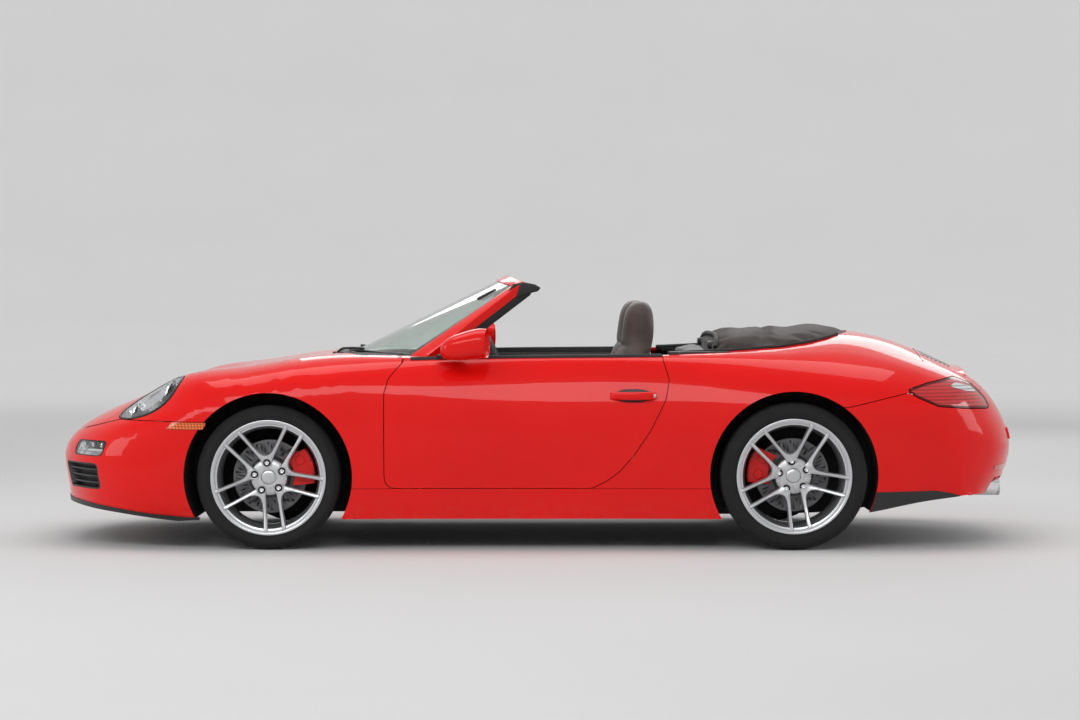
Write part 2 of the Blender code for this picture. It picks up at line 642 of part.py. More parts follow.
# Rear quarters
door_rear = grown(list(DOOR_LINE), DOOR_GAP)[6:]
quarter_side = [(door_rear[0][0], 1.2)] + door_rear[:-1] + [(door_rear[-1][0], SILL_TOP + PANEL_GAP)]
quarter_side += [(1.20, SILL_TOP + PANEL_GAP), (1.20, .640)]
quarter_side += [(x, z + PANEL_GAP / 2) for x, z in TAIL_LINE] + [(2.40, 1.2)]
quarter = trim(copy(SHEET), prism(drawn(quarter_side), "Y", -FAR, -.2))
cut(quarter, both_arches[2], keep=True)
deck_half = list(DECK_LINE)
quarter_inner = drawn([(.30, .722)] + deck_half + list(ENGINE_LID_LINE) + [(2.6, -.1), (.3, -.1)], "Z")
cut(quarter, prism([(x, -y) for x, y in grown(quarter_inner, PANEL_GAP)], "Z", .40, 1.2))

# Top cover, folded soft top and engine lid
lid_half = drawn(list(ENGINE_LID_LINE), "Z")
engine_plan = lid_half + [(x, -y) for x, y in reversed(lid_half)]
engine_hole = prism(grown(engine_plan, LID_GAP), "Z", .60, 1.2)
engine_lid = trim(copy(SHEET), prism(engine_plan, "Z", TAIL_LINE[-1][1] + LID_GAP - PANEL_GAP / 2, 1.2))
deck_outer = drawn(deck_half, "Z")
deck_outline = deck_outer + [(x, -y) for x, y in reversed(deck_outer)]
top_deck = trim(copy(SHEET), prism(deck_outline, "Z", .60, 1.2))
top_half = drawn(list(TOP_LINE), "Z")
top_outline = top_half + [(x, -y) for x, y in reversed(top_half[:-1])]
well = [(along(.45), across(.640))] + grown(top_outline, PANEL_GAP) + [(along(.45), -across(.640))]
cut(top_deck, prism(well, "Z", .40, 1.2))
cut(top_deck, engine_hole, keep=True)
cut(quarter, engine_hole)

# Lights, let into the skin
LIGHT_DEPTH = 0.060
INSIDE = body_volume(inward(POINTS, LIGHT_DEPTH))


def light(cutter, host):
    """Set a lamp in a hole of the skin, with a gap all round: returns the lamp and cuts its host."""
    lamp = trim(copy(VOLUME), cutter(0))
    cut(lamp, INSIDE, keep=True)
    cut(host, cutter(SEAT_GAP))
    return lamp


HEADLIGHT_SPOT = (-1.742, -.632, .680)
HEADLIGHT_SIZE = (.172, .128)
HEADLIGHT_TILT_DEG = 34.8


def headlight_room(gap):
    """An upright oval bar, leaning back like the fender's front."""
    bm = bmesh.new()
    bmesh.ops.create_cone(bm, cap_ends=True, segments=32, radius1=1, radius2=1, depth=.40)
    bmesh.ops.scale(bm, vec=(HEADLIGHT_SIZE[0] + gap, HEADLIGHT_SIZE[1] + gap, 1), verts=bm.verts)
    spot = (along(HEADLIGHT_SPOT[0]), across(HEADLIGHT_SPOT[1]), HEADLIGHT_SPOT[2])
    turn = Matrix.Rotation(-math.radians(HEADLIGHT_TILT_DEG), 4, "Y")
    bmesh.ops.transform(bm, matrix=Matrix.Translation(spot) @ turn, verts=bm.verts)
    return solid(bm)


def front_lamp_room(gap):
    """The strip lamp's box in the bumper's corner."""
    (x0, y0, z0), (x1, y1, z1) = FRONT_LAMP_BOX
    return box((along(x0), -across(y1) - gap, z0 - gap), (along(x1), -across(y0) + gap, z1 + gap))


def tail_light_room(gap):
    """The tail light's outline, through the rear corner."""
    return prism(grown(drawn(TAIL_LIGHT_LINE), gap), "Y", -FAR, across(-.455) + gap)


headlight = light(headlight_room, fender)
cut(front_bumper, headlight_room(SEAT_GAP))
cut(front_bumper, mirrored(headlight_room(SEAT_GAP)))
front_lamp = light(front_lamp_room, front_bumper)
cut(front_bumper, mirrored(front_lamp_room(SEAT_GAP)))
tail_light = light(tail_light_room, quarter)
cut(rear_bumper, tail_light_room(SEAT_GAP))
cut(rear_bumper, mirrored(tail_light_room(SEAT_GAP)))
cut(engine_lid, tail_light_room(LID_GAP))
cut(engine_lid, mirrored(tail_light_room(LID_GAP)))

# Windscreen: a bowed sheet between a base edge and a top edge
BOW = 2.2


def screen_point(across_share, up_share, out=0.0):
    """A point of the windscreen's sheet; shares run from -1 to 1 across and from 0 to 1 up."""
    bow = abs(across_share) ** BOW
    ends = []
    for middle, side in (GLASS_BASE, GLASS_TOP):
        ends.append(Vector((along(middle[0] + (side[0] - middle[0]) * bow), across(side[1]) * across_share,
                            middle[2] + (side[2] - middle[2]) * bow)))
    spot = ends[0].lerp(ends[1], up_share)
    slope = (ends[1] - ends[0]).normalized()
    normal = Vector((-slope.z, 0.35 * across_share, slope.x)).normalized()
    return spot + normal * out


def screen_sheet(low, high, side, front, back, columns=12, rows=3):
    """A thick piece of the windscreen's sheet, between shares of its height and either side share."""
    bm = bmesh.new()
    layers = []
    for out in (front, back):
        layers.append([[bm.verts.new(screen_point(side * (2 * i / columns - 1), low + (high - low) * j / rows, out))
                        for i in range(columns + 1)] for j in range(rows + 1)])
    for grid in layers:
        for first, second in zip(grid, grid[1:]):
            for i in range(columns):
                bm.faces.new((first[i], first[i + 1], second[i + 1], second[i]))
    outer, inner = (border(grid) for grid in layers)
    for i in range(len(outer)):
        j = (i + 1) % len(outer)
        bm.faces.new((outer[i], outer[j], inner[j], inner[i]))
    bmesh.ops.triangulate(bm, faces=bm.faces)
    return solid(bm)


SCREEN_FOOT = -.16
SCREEN_HEIGHT = (Vector(GLASS_TOP[0]) - Vector(GLASS_BASE[0])).length
FRAME_TOP = 1 + PILLAR_WIDTH / SCREEN_HEIGHT
FRAME_SIDE = 1 + PILLAR_WIDTH / across(GLASS_TOP[1][1])
windscreen_frame = screen_sheet(SCREEN_FOOT, FRAME_TOP, FRAME_SIDE, 0, -PILLAR_DEPTH)
cut(windscreen_frame, screen_sheet(SCREEN_FOOT - .1, 1, 1, .05, -.10))
cut(windscreen_frame, SEATING, keep=True)
GLASS_SIDE = 1 - SEAT_GAP / across(GLASS_TOP[1][1])
GLASS_EDGE = 1 - SEAT_GAP / SCREEN_HEIGHT
windscreen_glass = screen_sheet(SCREEN_FOOT, GLASS_EDGE, GLASS_SIDE, -GLASS_RECESS, -GLASS_RECESS - GLASS_THICKNESS)
cut(windscreen_glass, SEATING, keep=True)

# Structure under the skin, as three solids trimmed to it: front frame, floor pan and rear frame
FLOOR_LOW, FLOOR_HIGH = .140, .160
FLOOR_FRONT, FLOOR_BACK = -2.08, 1.00
FULL_SIDE = DRAWN_HALF_WIDTH + .046
DASH_WALL_X = -.640
DASH_WALL = .020
SILL_INNER, SILL_OUTER = .600, .722
SEAT_WALL_X = .960
TUNNEL_HALF, TUNNEL_TOP = .105, .360
TUNNEL_WALL = .014
TUB_SIDE = .440
TUB_WALL = .014
TUB_TOP = .660
TUB_FLOOR = .262
TUB_FRONT = -1.86
PAN_FRONT = DASH_WALL_X - DASH_WALL
FRAME_END = PAN_FRONT - SEAT_GAP
POST_BACK = .800
RAIL_INNER, RAIL_OUTER = .560, .586
RAIL_BACK = 2.000


def plate(low, high, both=False):
    """A box between drawn corners, and its mirror image where both sides have one."""
    part = box((along(low[0]), across(low[1]), low[2]), (along(high[0]), across(high[1]), high[2]))
    return [part, mirrored(part)] if both else [part]


def wheel_house(hub, radius, inner, gap=0.0):
    """A wheelhouse's outer form from the floor up, grown by a gap, and its mirror image."""
    house = arch(hub, radius + LINER_GAP + LINER_WALL + gap, inner + LINER_WALL + gap)
    trim(house, box((-FAR, -FAR, FLOOR_LOW - gap), (FAR, FAR, FAR)))
    return [house, mirrored(house)]


def wheel_room(hub, radius, inner):
    """The open room inside a wheelhouse, and its mirror image."""
    room = arch(hub, radius + LINER_GAP, inner)
    return [room, mirrored(room)]


# Front frame: nose floor, luggage tub and front wheelhouses
front_wheel = (FRONT_HUB, FRONT_ARCH_RADIUS, FRONT_ROOM_INNER)
front_frame = plate((FLOOR_FRONT, -FULL_SIDE, FLOOR_LOW), (FRAME_END, FULL_SIDE, FLOOR_HIGH))[0]
pieces = plate((TUB_FRONT, -TUB_SIDE - TUB_WALL, FLOOR_LOW), (FRAME_END, -TUB_SIDE, TUB_TOP), both=True)
pieces += plate((TUB_FRONT, -FULL_SIDE, FLOOR_LOW), (TUB_FRONT + TUB_WALL, FULL_SIDE, .50))
pieces += plate((TUB_FRONT + .004, -TUB_SIDE - .004, TUB_FLOOR - .012), (FRAME_END, TUB_SIDE + .004, TUB_FLOOR))
join(front_frame, *pieces, *wheel_house(*front_wheel))
for room in wheel_room(*front_wheel):
    cut(front_frame, room)
trim(front_frame, CORE, keep=True)

# Floor pan: cabin floor, dash wall, door posts, sills and a tunnel open below
rear_wheel = (REAR_HUB, REAR_ARCH_RADIUS, REAR_ROOM_INNER)
floor_pan = plate((PAN_FRONT, -FULL_SIDE, FLOOR_LOW), (FLOOR_BACK, FULL_SIDE, FLOOR_HIGH))[0]
pieces = plate((PAN_FRONT, -FULL_SIDE, FLOOR_LOW), (DASH_WALL_X, FULL_SIDE, .80))
pieces += plate((PAN_FRONT, -.728, .70), (-.52, -.665, .95), both=True)
pieces += plate((PAN_FRONT + .005, -SILL_OUTER, FLOOR_LOW), (-.60, -.665, .80), both=True)
pieces += plate((PAN_FRONT, -SILL_OUTER, FLOOR_LOW), (POST_BACK, -SILL_INNER, .255), both=True)
pieces += plate((.60, -SILL_OUTER, FLOOR_LOW), (POST_BACK, -SILL_INNER, .58), both=True)
join(floor_pan, *pieces)
for house in wheel_house(*rear_wheel, gap=SEAT_GAP):
    cut(floor_pan, house)
trim(floor_pan, CORE, keep=True)
join(floor_pan, plate((DASH_WALL_X - .01, -TUNNEL_HALF, FLOOR_LOW),
                      (SEAT_WALL_X - SEAT_GAP, TUNNEL_HALF, TUNNEL_TOP))[0])
cut(floor_pan, plate((DASH_WALL_X + .02, -TUNNEL_HALF + TUNNEL_WALL, 0),
                     (SEAT_WALL_X - .02, TUNNEL_HALF - TUNNEL_WALL, TUNNEL_TOP - TUNNEL_WALL))[0])

# Rear frame: seat wall, well for the soft top, rails, tail wall and rear wheelhouses
rear_frame = plate((SEAT_WALL_X, -SILL_INNER, FLOOR_HIGH + SEAT_GAP), (SEAT_WALL_X + .02, SILL_INNER, WELL_FLOOR - .005))[0]
pieces = plate((.87, -.64, WELL_FLOOR - .019), (1.50, .64, WELL_FLOOR - SEAT_GAP))
pieces += plate((1.48, -.70, .64), (1.52, .70, 1.2))
pieces += plate((.70, -RAIL_OUTER, FLOOR_LOW + .10), (RAIL_BACK, -RAIL_INNER, .72), both=True)
pieces += plate((RAIL_BACK - .02, -FULL_SIDE, .36), (RAIL_BACK, FULL_SIDE, .62))
join(rear_frame, *pieces, *wheel_house(*rear_wheel))
for room in wheel_room(*rear_wheel):
    cut(rear_frame, room)
trim(rear_frame, CORE, keep=True)

door_room = prism(grown(outline, .012), "Y", -FAR, across(-DOOR_INNER_Y) + .012)
for frame in (floor_pan, rear_frame):
    cut(frame, mirrored(door_room))
    cut(frame, copy(door_room))
remove(door_room)

for frame, room_of in ((front_frame, headlight_room), (front_frame, front_lamp_room), (rear_frame, tail_light_room)):
    cut(frame, room_of(PANEL_GAP))
    cut(frame, mirrored(room_of(PANEL_GAP)))

# Lid hinges: a lug on the lid, beside a lug on the tub or the rails
def surface_height(x, y):
    """Height of the body's outer surface over a spot, found from above."""
    hit = VOLUME.ray_cast(Vector((x, y, 2)), Vector((0, 0, -1)))
    return hit[1].z


def lug(x, z, y, top):
    """A lid's hinge lug: an eye on the axis, and a leaf up to a height."""
    half = LID_HINGE_WIDTH / 2
    leaf = box((x - LID_HINGE_RADIUS + .001, y - half + .0005, z), (x + LID_HINGE_RADIUS - .001, y + half - .0005, top))
    return join(disc(LID_HINGE_RADIUS, y - half, y + half, 12, (x, 0, z)), leaf)


def lid_hinge(lid, frame, x, lug_y, carrier_y):
    """Fit both of a lid's hinges on its frame and return the axis height."""
    x = along(x)
    z = surface_height(x, across(lug_y) + LID_HINGE_WIDTH * 1.5) - LID_HINGE_DEPTH
    for side in (-1, 1):
        y = side * across(lug_y)
        join(lid, lug(x, z, y, surface_height(x, y) - SKIN / 2))
        step = LID_HINGE_WIDTH + HINGE_PLAY
        start = y + side * step
        seat = disc(LID_HINGE_RADIUS, start - LID_HINGE_WIDTH / 2, start + LID_HINGE_WIDTH / 2, 12, (x, 0, z))
        near, far = side * (LID_HINGE_WIDTH / 2 - .0005), side * across(carrier_y) - start
        bracket = [(start - near, z), (start + near, z), (start + near, z - .180), (start + far, z - .180),
                   (start + far, z - .240), (start - near, z - .240)]
        join(frame, join(seat, prism(bracket, "X", x - LID_HINGE_RADIUS + .001, x + LID_HINGE_RADIUS - .001)))
    return z


FRONT_LID_AXIS_Z = lid_hinge(front_lid, front_frame, FRONT_LID_HINGE_X, FRONT_LID_HINGE_Y, TUB_SIDE + TUB_WALL / 2)
ENGINE_LID_AXIS_Z = lid_hinge(engine_lid, rear_frame, ENGINE_LID_HINGE_X, ENGINE_LID_HINGE_Y, (RAIL_INNER + RAIL_OUTER) / 2)

# Folded soft top: a crowned pack from the well's floor up, ending along the well's curved rear edge
rear_ys, rear_xs = [y for x, y in reversed(TOP_LINE)], [x for x, y in reversed(TOP_LINE)]
pack_rings = []
for i in range(TOP_STEPS + 1):
    share_out = 2 * i / TOP_STEPS - 1
    y = TOP_HALF * share_out
    rear = float(np.interp(abs(y), rear_ys, rear_xs)) - TOP_REAR_GAP
    ring = [(along(TOP_FRONT), across(y), WELL_FLOOR)]
    for share, crown in TOP_CROWN:
        x = along(TOP_FRONT + (rear - TOP_FRONT) * share)
        ring.append((x, across(y), surface_height(x, across(y)) + crown * (1 - abs(share_out) ** 9) - .004))
    pack_rings.append(ring + [(along(rear), across(y), WELL_FLOOR)])
folded_top = loft(pack_rings)

# Spoiler lip on the engine lid, bent along the tail; its section is (x from the lip's end, z over the skin)
lip_rings = []
for k in range(SPOILER_STEPS + 1):
    y = SPOILER_HALF * (2 * k / SPOILER_STEPS - 1)
    end = SPOILER_X - SPOILER_SWEEP * (y / SPOILER_HALF) ** 2
    rise = 1 - (y / SPOILER_HALF) ** 6
    lip_rings.append([(along(end + x), across(y), surface_height(along(end + x), across(y)) + (z * rise if z > 0 else z))
                      for x, z in SPOILER_SECTION])
join(engine_lid, loft(lip_rings))

# Door hinges: an arm from the post to a barrel on the axis
for side in (-1, 1):
    for height in DOOR_HINGE_HEIGHTS:
        x, y = DOOR_AXIS[0], side * -DOOR_AXIS[1]
        barrel = disc(HINGE_RADIUS, height - HINGE_LENGTH / 2, height + HINGE_LENGTH / 2, 12, (x, y, 0), "Z")
        inner = side * across(.69)
        arm = box((x - HINGE_RADIUS, min(y, inner), height - HINGE_LENGTH / 2),
                  (x + HINGE_RADIUS * .8, max(y, inner), height + HINGE_LENGTH / 2))
        join(floor_pan, join(barrel, arm))

# Engine, exhaust and rear axle
ENGINE_LOW, ENGINE_HIGH = (1.28, -.35, .200), (1.86, .35, .600)
MOUNT_HEIGHT = (.300, .360)
engine = plate(ENGINE_LOW, ENGINE_HIGH)[0]
mount_x = along(ENGINE_HIGH[0]) + SEAT_GAP

SILENCER_RADIUS = .085
TIP_RADIUS = .038
TIP_WALL = .004
TIP_ROOM = TIP_RADIUS + .008
TIP_Y = (.455, .545)
TIP_BACK = 2.122
TIP_HEIGHT = .262
silencer_x = mount_x + .030 + SEAT_GAP + SILENCER_RADIUS
exhaust = disc(SILENCER_RADIUS, -across(.52), across(.52), 24, (silencer_x, 0, sum(MOUNT_HEIGHT) / 2))
for side in (-1, 1):
    for tip_y in TIP_Y:
        spot = (0, side * across(tip_y), TIP_HEIGHT)
        tip = disc(TIP_RADIUS, silencer_x, along(TIP_BACK), 12, spot, "X")
        cut(tip, disc(TIP_RADIUS - TIP_WALL, silencer_x + .10, along(TIP_BACK) + .01, 12, spot, "X"))
        join(exhaust, tip)
    outer_tip, inner_tip = side * (across(TIP_Y[1]) + TIP_ROOM), side * (across(TIP_Y[0]) - TIP_ROOM)
    low_y, high_y = min(outer_tip, inner_tip), max(outer_tip, inner_tip)
    notch = box((silencer_x - .03, low_y, .05), (along(TIP_BACK) + .1, high_y, TIP_HEIGHT + TIP_ROOM))
    cut(rear_frame, notch, keep=True)
    cut(rear_bumper, notch)
cut(rear_frame, disc(SILENCER_RADIUS + .010, -across(.54), across(.54), 24, (silencer_x, 0, .330)))
join(rear_frame, box((mount_x, -across(.57), MOUNT_HEIGHT[0]), (mount_x + .030, across(.57), MOUNT_HEIGHT[1])))


# Wheels
def rim_profile(width):
    """Section of a rim as (across, radius): flanges, bead seats and a dropped centre."""
    half, seat, top, wall = width / 2, RIM_SEAT_RADIUS, RIM_SEAT_RADIUS + RIM_FLANGE, RIM_WALL
    outer = [(half, top), (half - .008, top), (half - .008, seat), (half * .35, seat - .016)]
    inner = [(half * .33, seat - .016 - wall), (half, seat - wall)]
    return outer + [(-a, r) for a, r in outer[::-1]] + [(-a, r) for a, r in inner[::-1]] + inner


def tyre_profile(width, radius, rim_width):
    """Section of a tyre as (across, radius): beads, sidewalls and tread, open towards the rim."""
    bead = rim_width / 2 - .0085
    half, seat = width / 2, RIM_SEAT_RADIUS + SEAT_GAP
    outer = [(bead, seat), (bead, seat + RIM_FLANGE + .001), (half, seat + .036), (half - .003, radius - .018),
             (half - .026, radius)]
    inner = [(half - .022, radius - .020), (bead - .012, seat)]
    return outer + [(-a, r) for a, r in outer[::-1]] + [(-a, r) for a, r in inner[::-1]] + inner


HUB_FACE = .040
PAD_THICKNESS = .036
SPOKE_TURN_DEG = 7.0
HOLE_RADIUS = .045
STUB_RADIUS = .0444


# Outline of one Y-shaped spoke, pointing up: (aside, outwards from the hub)
SPOKE_OUTLINE = ((-.022, .045), (-.028, .072), (-.1130, .2060), (-.0950, .2190), (0, .112),
                 (.0950, .2190), (.1130, .2060), (.028, .072), (.022, .045))
SPOKE_LEVELS = ((.045, .046, .0745), (.238, .070, .0945))


def spoke(turn_deg, shift):
    """A split spoke, rising outwards from the hub to the rim's outer side."""
    bar = prism(SPOKE_OUTLINE, "Y", 0, 1)
    (near, low, high), (far, low_far, high_far) = SPOKE_LEVELS
    for vert in bar.data.vertices:
        share = (math.hypot(vert.co.x, vert.co.z) - near) / (far - near)
        bottom, top = low + (low_far + shift - low) * share, high + (high_far + shift - high) * share
        vert.co.y = -(bottom + (top - bottom) * vert.co.y)
    bm = bmesh.new()
    bm.from_mesh(bar.data)
    remove(bar)
    bmesh.ops.triangulate(bm, faces=bm.faces)
    bmesh.ops.rotate(bm, cent=(0, 0, 0), matrix=Matrix.Rotation(math.radians(turn_deg), 3, "Y"), verts=bm.verts)
    return solid(bm)


def wheel(rim_width):
    """A spoked rim about its own centre, its outer side towards -Y."""
    rim = revolve(rim_profile(rim_width), WHEEL_SIDES)
    pad = disc(HUB_RADIUS, -HUB_FACE - PAD_THICKNESS, -HUB_FACE, 20)
    cap = disc(.034, -HUB_FACE - PAD_THICKNESS - .006, -HUB_FACE - .010, 12)
    join(pad, cap)
    for index in range(SPOKES):
        join(pad, spoke(index * 360 / SPOKES - SPOKE_TURN_DEG, rim_width / 2 - FRONT_RIM_WIDTH / 2))
    return join(rim, pad)


def brake_disc():
    """A brake disc with its hat, about the wheel's centre."""
    half = .0125
    profile = [(half + .002, HOLE_RADIUS), (half + .002, DISC_RADIUS), (-half, DISC_RADIUS), (-half, .092),
               (-HUB_FACE + SEAT_GAP, HUB_RADIUS), (-HUB_FACE + SEAT_GAP, HOLE_RADIUS)]
    return revolve(profile, DISC_SIDES)


DISC_INNER_FACE = .0145


def caliper(turn_deg):
    """A brake caliper astride the disc, about the wheel's centre."""
    body = revolve([(.042, .112), (.042, .203), (-.038, .203), (-.038, .112)], 24)
    trim(body, prism([(0, 0), (.3, -.105), (.3, .105)], "Y", -.1, .1))
    slot = revolve([(DISC_INNER_FACE + .005, .02), (DISC_INNER_FACE + .005, DISC_RADIUS + .006),
                    (-.0175, DISC_RADIUS + .006), (-.0175, .02)], 24)
    cut(body, slot)
    body.data.transform(Matrix.Rotation(math.radians(turn_deg), 4, "Y"))
    return body


KINGPIN_INSET = .045
CARRIER_BACK = .100
CARRIER_FACE = .052
ARM_DROP = .1355


def hub_carrier(turn_deg):
    """The hub carrier with its stub axle, brake bracket and caliper, about the wheel's centre."""
    stub = disc(STUB_RADIUS, -HUB_FACE + .006, CARRIER_BACK - .01, DISC_SIDES)
    body = box((-.050, CARRIER_FACE, -.120), (.050, CARRIER_BACK, .130))
    arm_seat = box((-.028, KINGPIN_INSET - .020, -ARM_DROP + .0005), (.028, CARRIER_BACK - .006, -.095))
    bracket = box((.02, CARRIER_FACE - .016, -.034), (.160, CARRIER_FACE + .012, .034))
    bracket.data.transform(Matrix.Rotation(math.radians(turn_deg), 4, "Y"))
    return join(stub, body, arm_seat, bracket, caliper(turn_deg))


FRONT_CALIPER_DEG = -15.0
REAR_CALIPER_DEG = 180 + 15.0
front_rim, rear_rim = wheel(FRONT_RIM_WIDTH), wheel(REAR_RIM_WIDTH)
front_tyre = revolve(tyre_profile(FRONT_TYRE_WIDTH, FRONT_TYRE_RADIUS, FRONT_RIM_WIDTH), WHEEL_SIDES)
rear_tyre = revolve(tyre_profile(REAR_TYRE_WIDTH, REAR_TYRE_RADIUS, REAR_RIM_WIDTH), WHEEL_SIDES)
rotor = brake_disc()
knuckle = hub_carrier(FRONT_CALIPER_DEG)
rear_carrier = hub_carrier(REAR_CALIPER_DEG)

# Axles: crossmembers with an arm to each hub carrier
ARM_HALF = .030
CROSS_HALF = across(TUB_SIDE) - .015
FRONT_CROSS = ((FRONT_AXLE_X - .09, -CROSS_HALF, FLOOR_HIGH + SEAT_GAP), (FRONT_AXLE_X + .09, CROSS_HALF, .235))
front_axle = box(*FRONT_CROSS)
arm_top = FRONT_HUB[2] - ARM_DROP
kingpin_y = FRONT_HUB[1] + KINGPIN_INSET
for side in (-1, 1):
    ends = sorted((side * -(kingpin_y - .010), side * (CROSS_HALF - .025)))
    arm = box((FRONT_AXLE_X - ARM_HALF, ends[0], arm_top - .022), (FRONT_AXLE_X + ARM_HALF, ends[1], arm_top))
    join(front_axle, arm)
    ends = sorted((side * (across(TUB_SIDE) - .02), side * (across(TUB_SIDE) + TUB_WALL + .02)))
    cut(front_frame, box((FRONT_AXLE_X - ARM_HALF - .006, ends[0], arm_top - .0265),
                         (FRONT_AXLE_X + ARM_HALF + .006, ends[1], arm_top + .006)))
rear_axle = box((REAR_AXLE_X - .10, -RAIL_INNER + SEAT_GAP, .200), (REAR_AXLE_X + .05, RAIL_INNER - SEAT_GAP, .300))
for side in (-1, 1):
    hub = copy(rear_carrier) if side < 0 else mirrored(rear_carrier)
    moved(hub, (REAR_HUB[0], side * -REAR_HUB[1], REAR_HUB[2]))
    ends = sorted((side * .52, side * (-REAR_HUB[1] - CARRIER_FACE - .01)))
    link = box((REAR_AXLE_X - .035, ends[0], .240), (REAR_AXLE_X + .035, ends[1], .290))
    join(rear_axle, link, hub)
    ends = sorted((side * .50, side * .66))
    cut(rear_frame, box((REAR_AXLE_X - .045, ends[0], .230), (REAR_AXLE_X + .045, ends[1], .300)))

# Interior
SEAT_SIDE_GAP = .0025
SEAT_Y = (SILL_INNER + TUNNEL_HALF) / 2
SEAT_HALF = (SILL_INNER - TUNNEL_HALF) / 2 - SEAT_SIDE_GAP
BOLSTER_WIDTH = .055
REAR_SEAT_GAP = .0175
SEAT_BASE = FLOOR_HIGH + SEAT_GAP
DASH_PROFILE = ((-.84, .800), (-.80, .838), (-.60, .850), (-.42, .868), (-.32, .862), (-.27, .820), (-.285, .740),
                (-.36, .620), (-.52, .560), (-.6397, .560), (-.6397, .8003), (-.70, .8003))
CONSOLE_HALF = .100
WHEEL_SPOT = (-.150, -.365, .780)
WHEEL_RADIUS = .180
WHEEL_GRIP = .015
COLUMN_TILT_DEG = 24.0
COLUMN_RADIUS = .030
COLUMN_GAP = .0005
BOSS_RADIUS = .060
BOSS_DEPTH = .040

dashboard = prism([(along(x), z) for x, z in DASH_PROFILE], "Y", -across(.64), across(.64))
screen_line = top_plan([(-.835, 0), (-.825, .18), (-.79, .33), (-.70, .47), (-.60, .57), (-.54, .64), (-.20, .64), (-.20, 0)])
trim(dashboard, prism(screen_line, "Z", .3, 1.2))
console_low = TUNNEL_TOP + SEAT_GAP
console_side = ((-.50, console_low), (.30, console_low), (.30, .420), (-.10, .430), (-.30, .520), (-.50, .620))
console = prism(drawn(console_side), "Y", -across(CONSOLE_HALF), across(CONSOLE_HALF))
join(dashboard, console)
column_back = Vector((-math.cos(math.radians(COLUMN_TILT_DEG)), 0, -math.sin(math.radians(COLUMN_TILT_DEG))))


def column_piece(thing):
    """Tilt something built along Z to the steering column's line, at the steering wheel."""
    turn = Vector((0, 0, -1)).rotation_difference(column_back).to_matrix().to_4x4()
    spot = (along(WHEEL_SPOT[0]), across(WHEEL_SPOT[1]), WHEEL_SPOT[2])
    thing.data.transform(Matrix.Translation(spot) @ turn)
    return thing


join(dashboard, column_piece(disc(COLUMN_RADIUS, -.30, -BOSS_DEPTH - COLUMN_GAP, 20, axis="Z")))
steering_wheel = disc(BOSS_RADIUS, -BOSS_DEPTH, .012, 20, axis="Z")
for start in (0, 90, 180):
    arm = box((0, -.020, -.010), (WHEEL_RADIUS, .020, .004))
    arm.data.transform(Matrix.Rotation(math.radians(start - 90), 4, "Z"))
    join(steering_wheel, arm)
grip = [(WHEEL_GRIP * math.cos(math.tau * k / 6), WHEEL_RADIUS + WHEEL_GRIP * math.sin(math.tau * k / 6))
        for k in range(6)]
join(steering_wheel, revolve(grip, 24, axis="Z"))
column_piece(steering_wheel)

CUSHION = ((-.10, SEAT_BASE), (.30, SEAT_BASE), (.33, .340), (-.09, .385), (-.14, .360), (-.13, .300))
BACK = ((.20, .260), (.330, .260), (.480, .700), (.530, .840), (.549, .980), (.546, 1.050), (.530, 1.090),
        (.500, 1.108), (.460, 1.104), (.425, 1.068), (.402, .980), (.385, .860))
BACK_SHAPE = ((-.3, .2), (-.3, .84), (-.190, .90), (-.135, .935), (-.128, 1.02), (-.112, 1.075), (-.075, 1.108))
BOLSTER = ((-.06, .300), (.20, .300), (.44, .880), (.37, .860), (.28, .620), (.16, .435), (-.08, .430))
seat_half = across(SEAT_HALF)
seat = prism(drawn(CUSHION), "Y", -seat_half + .01, seat_half - .01)
back = prism(drawn(BACK), "Y", -seat_half + .02, seat_half - .02)
back_shape = [(across(y), z) for y, z in BACK_SHAPE]
trim(back, prism(back_shape + [(-y, z) for y, z in reversed(back_shape)], "X", -1, 2))
join(seat, back)
for side in (-1, 1):
    ends = sorted((side * (seat_half - BOLSTER_WIDTH), side * seat_half))
    join(seat, prism(drawn(BOLSTER), "Y", *ends))
moved(seat, (0, -across(SEAT_Y), 0))

rear_half = min(across(SILL_INNER) - REAR_SEAT_GAP, -REAR_ROOM_INNER - LINER_WALL - REAR_SEAT_GAP)
rear_side = ((.61, SEAT_BASE), (SEAT_WALL_X, SEAT_BASE), (SEAT_WALL_X, .679), (.90, .679), (.86, .440), (.62, .455))
rear_outline = [(x - SEAT_GAP if x > .95 else x, z) for x, z in drawn(rear_side)]
rear_seats = prism(rear_outline, "Y", -rear_half, rear_half)
tunnel_room = across(TUNNEL_HALF) + SEAT_GAP
cut(rear_seats, box((0, -tunnel_room, 0), (2, tunnel_room, TUNNEL_TOP + SEAT_GAP)))

# Name each node and set the moving pieces' origins on their joints
for name, thing, look in (("front_bumper", front_bumper, RED_PAINT), ("rear_bumper", rear_bumper, RED_PAINT),
                          ("cowl", cowl, BLACK_PLASTIC), ("top_deck", top_deck, RED_PAINT),
                          ("folded_top", folded_top, BLACK_FABRIC), ("windscreen_frame", windscreen_frame, RED_PAINT),
                          ("windscreen_glass", windscreen_glass, GLASS), ("front_frame", front_frame, BLACK_PLASTIC),
                          ("floor_pan", floor_pan, BLACK_PLASTIC), ("rear_frame", rear_frame, BLACK_PLASTIC),
                          ("dashboard", dashboard, BLACK_PLASTIC), ("rear_seats", rear_seats, LEATHER),
                          ("engine", engine, DARK_METAL), ("exhaust", exhaust, CHROME),
                          ("front_axle", front_axle, DARK_METAL), ("rear_axle", rear_axle, DARK_METAL)):
    finish(thing, name, look)
finish(front_lid, "front_lid", RED_PAINT, (along(FRONT_LID_HINGE_X), 0, FRONT_LID_AXIS_Z))
finish(engine_lid, "engine_lid", RED_PAINT, (along(ENGINE_LID_HINGE_X), 0, ENGINE_LID_AXIS_Z))
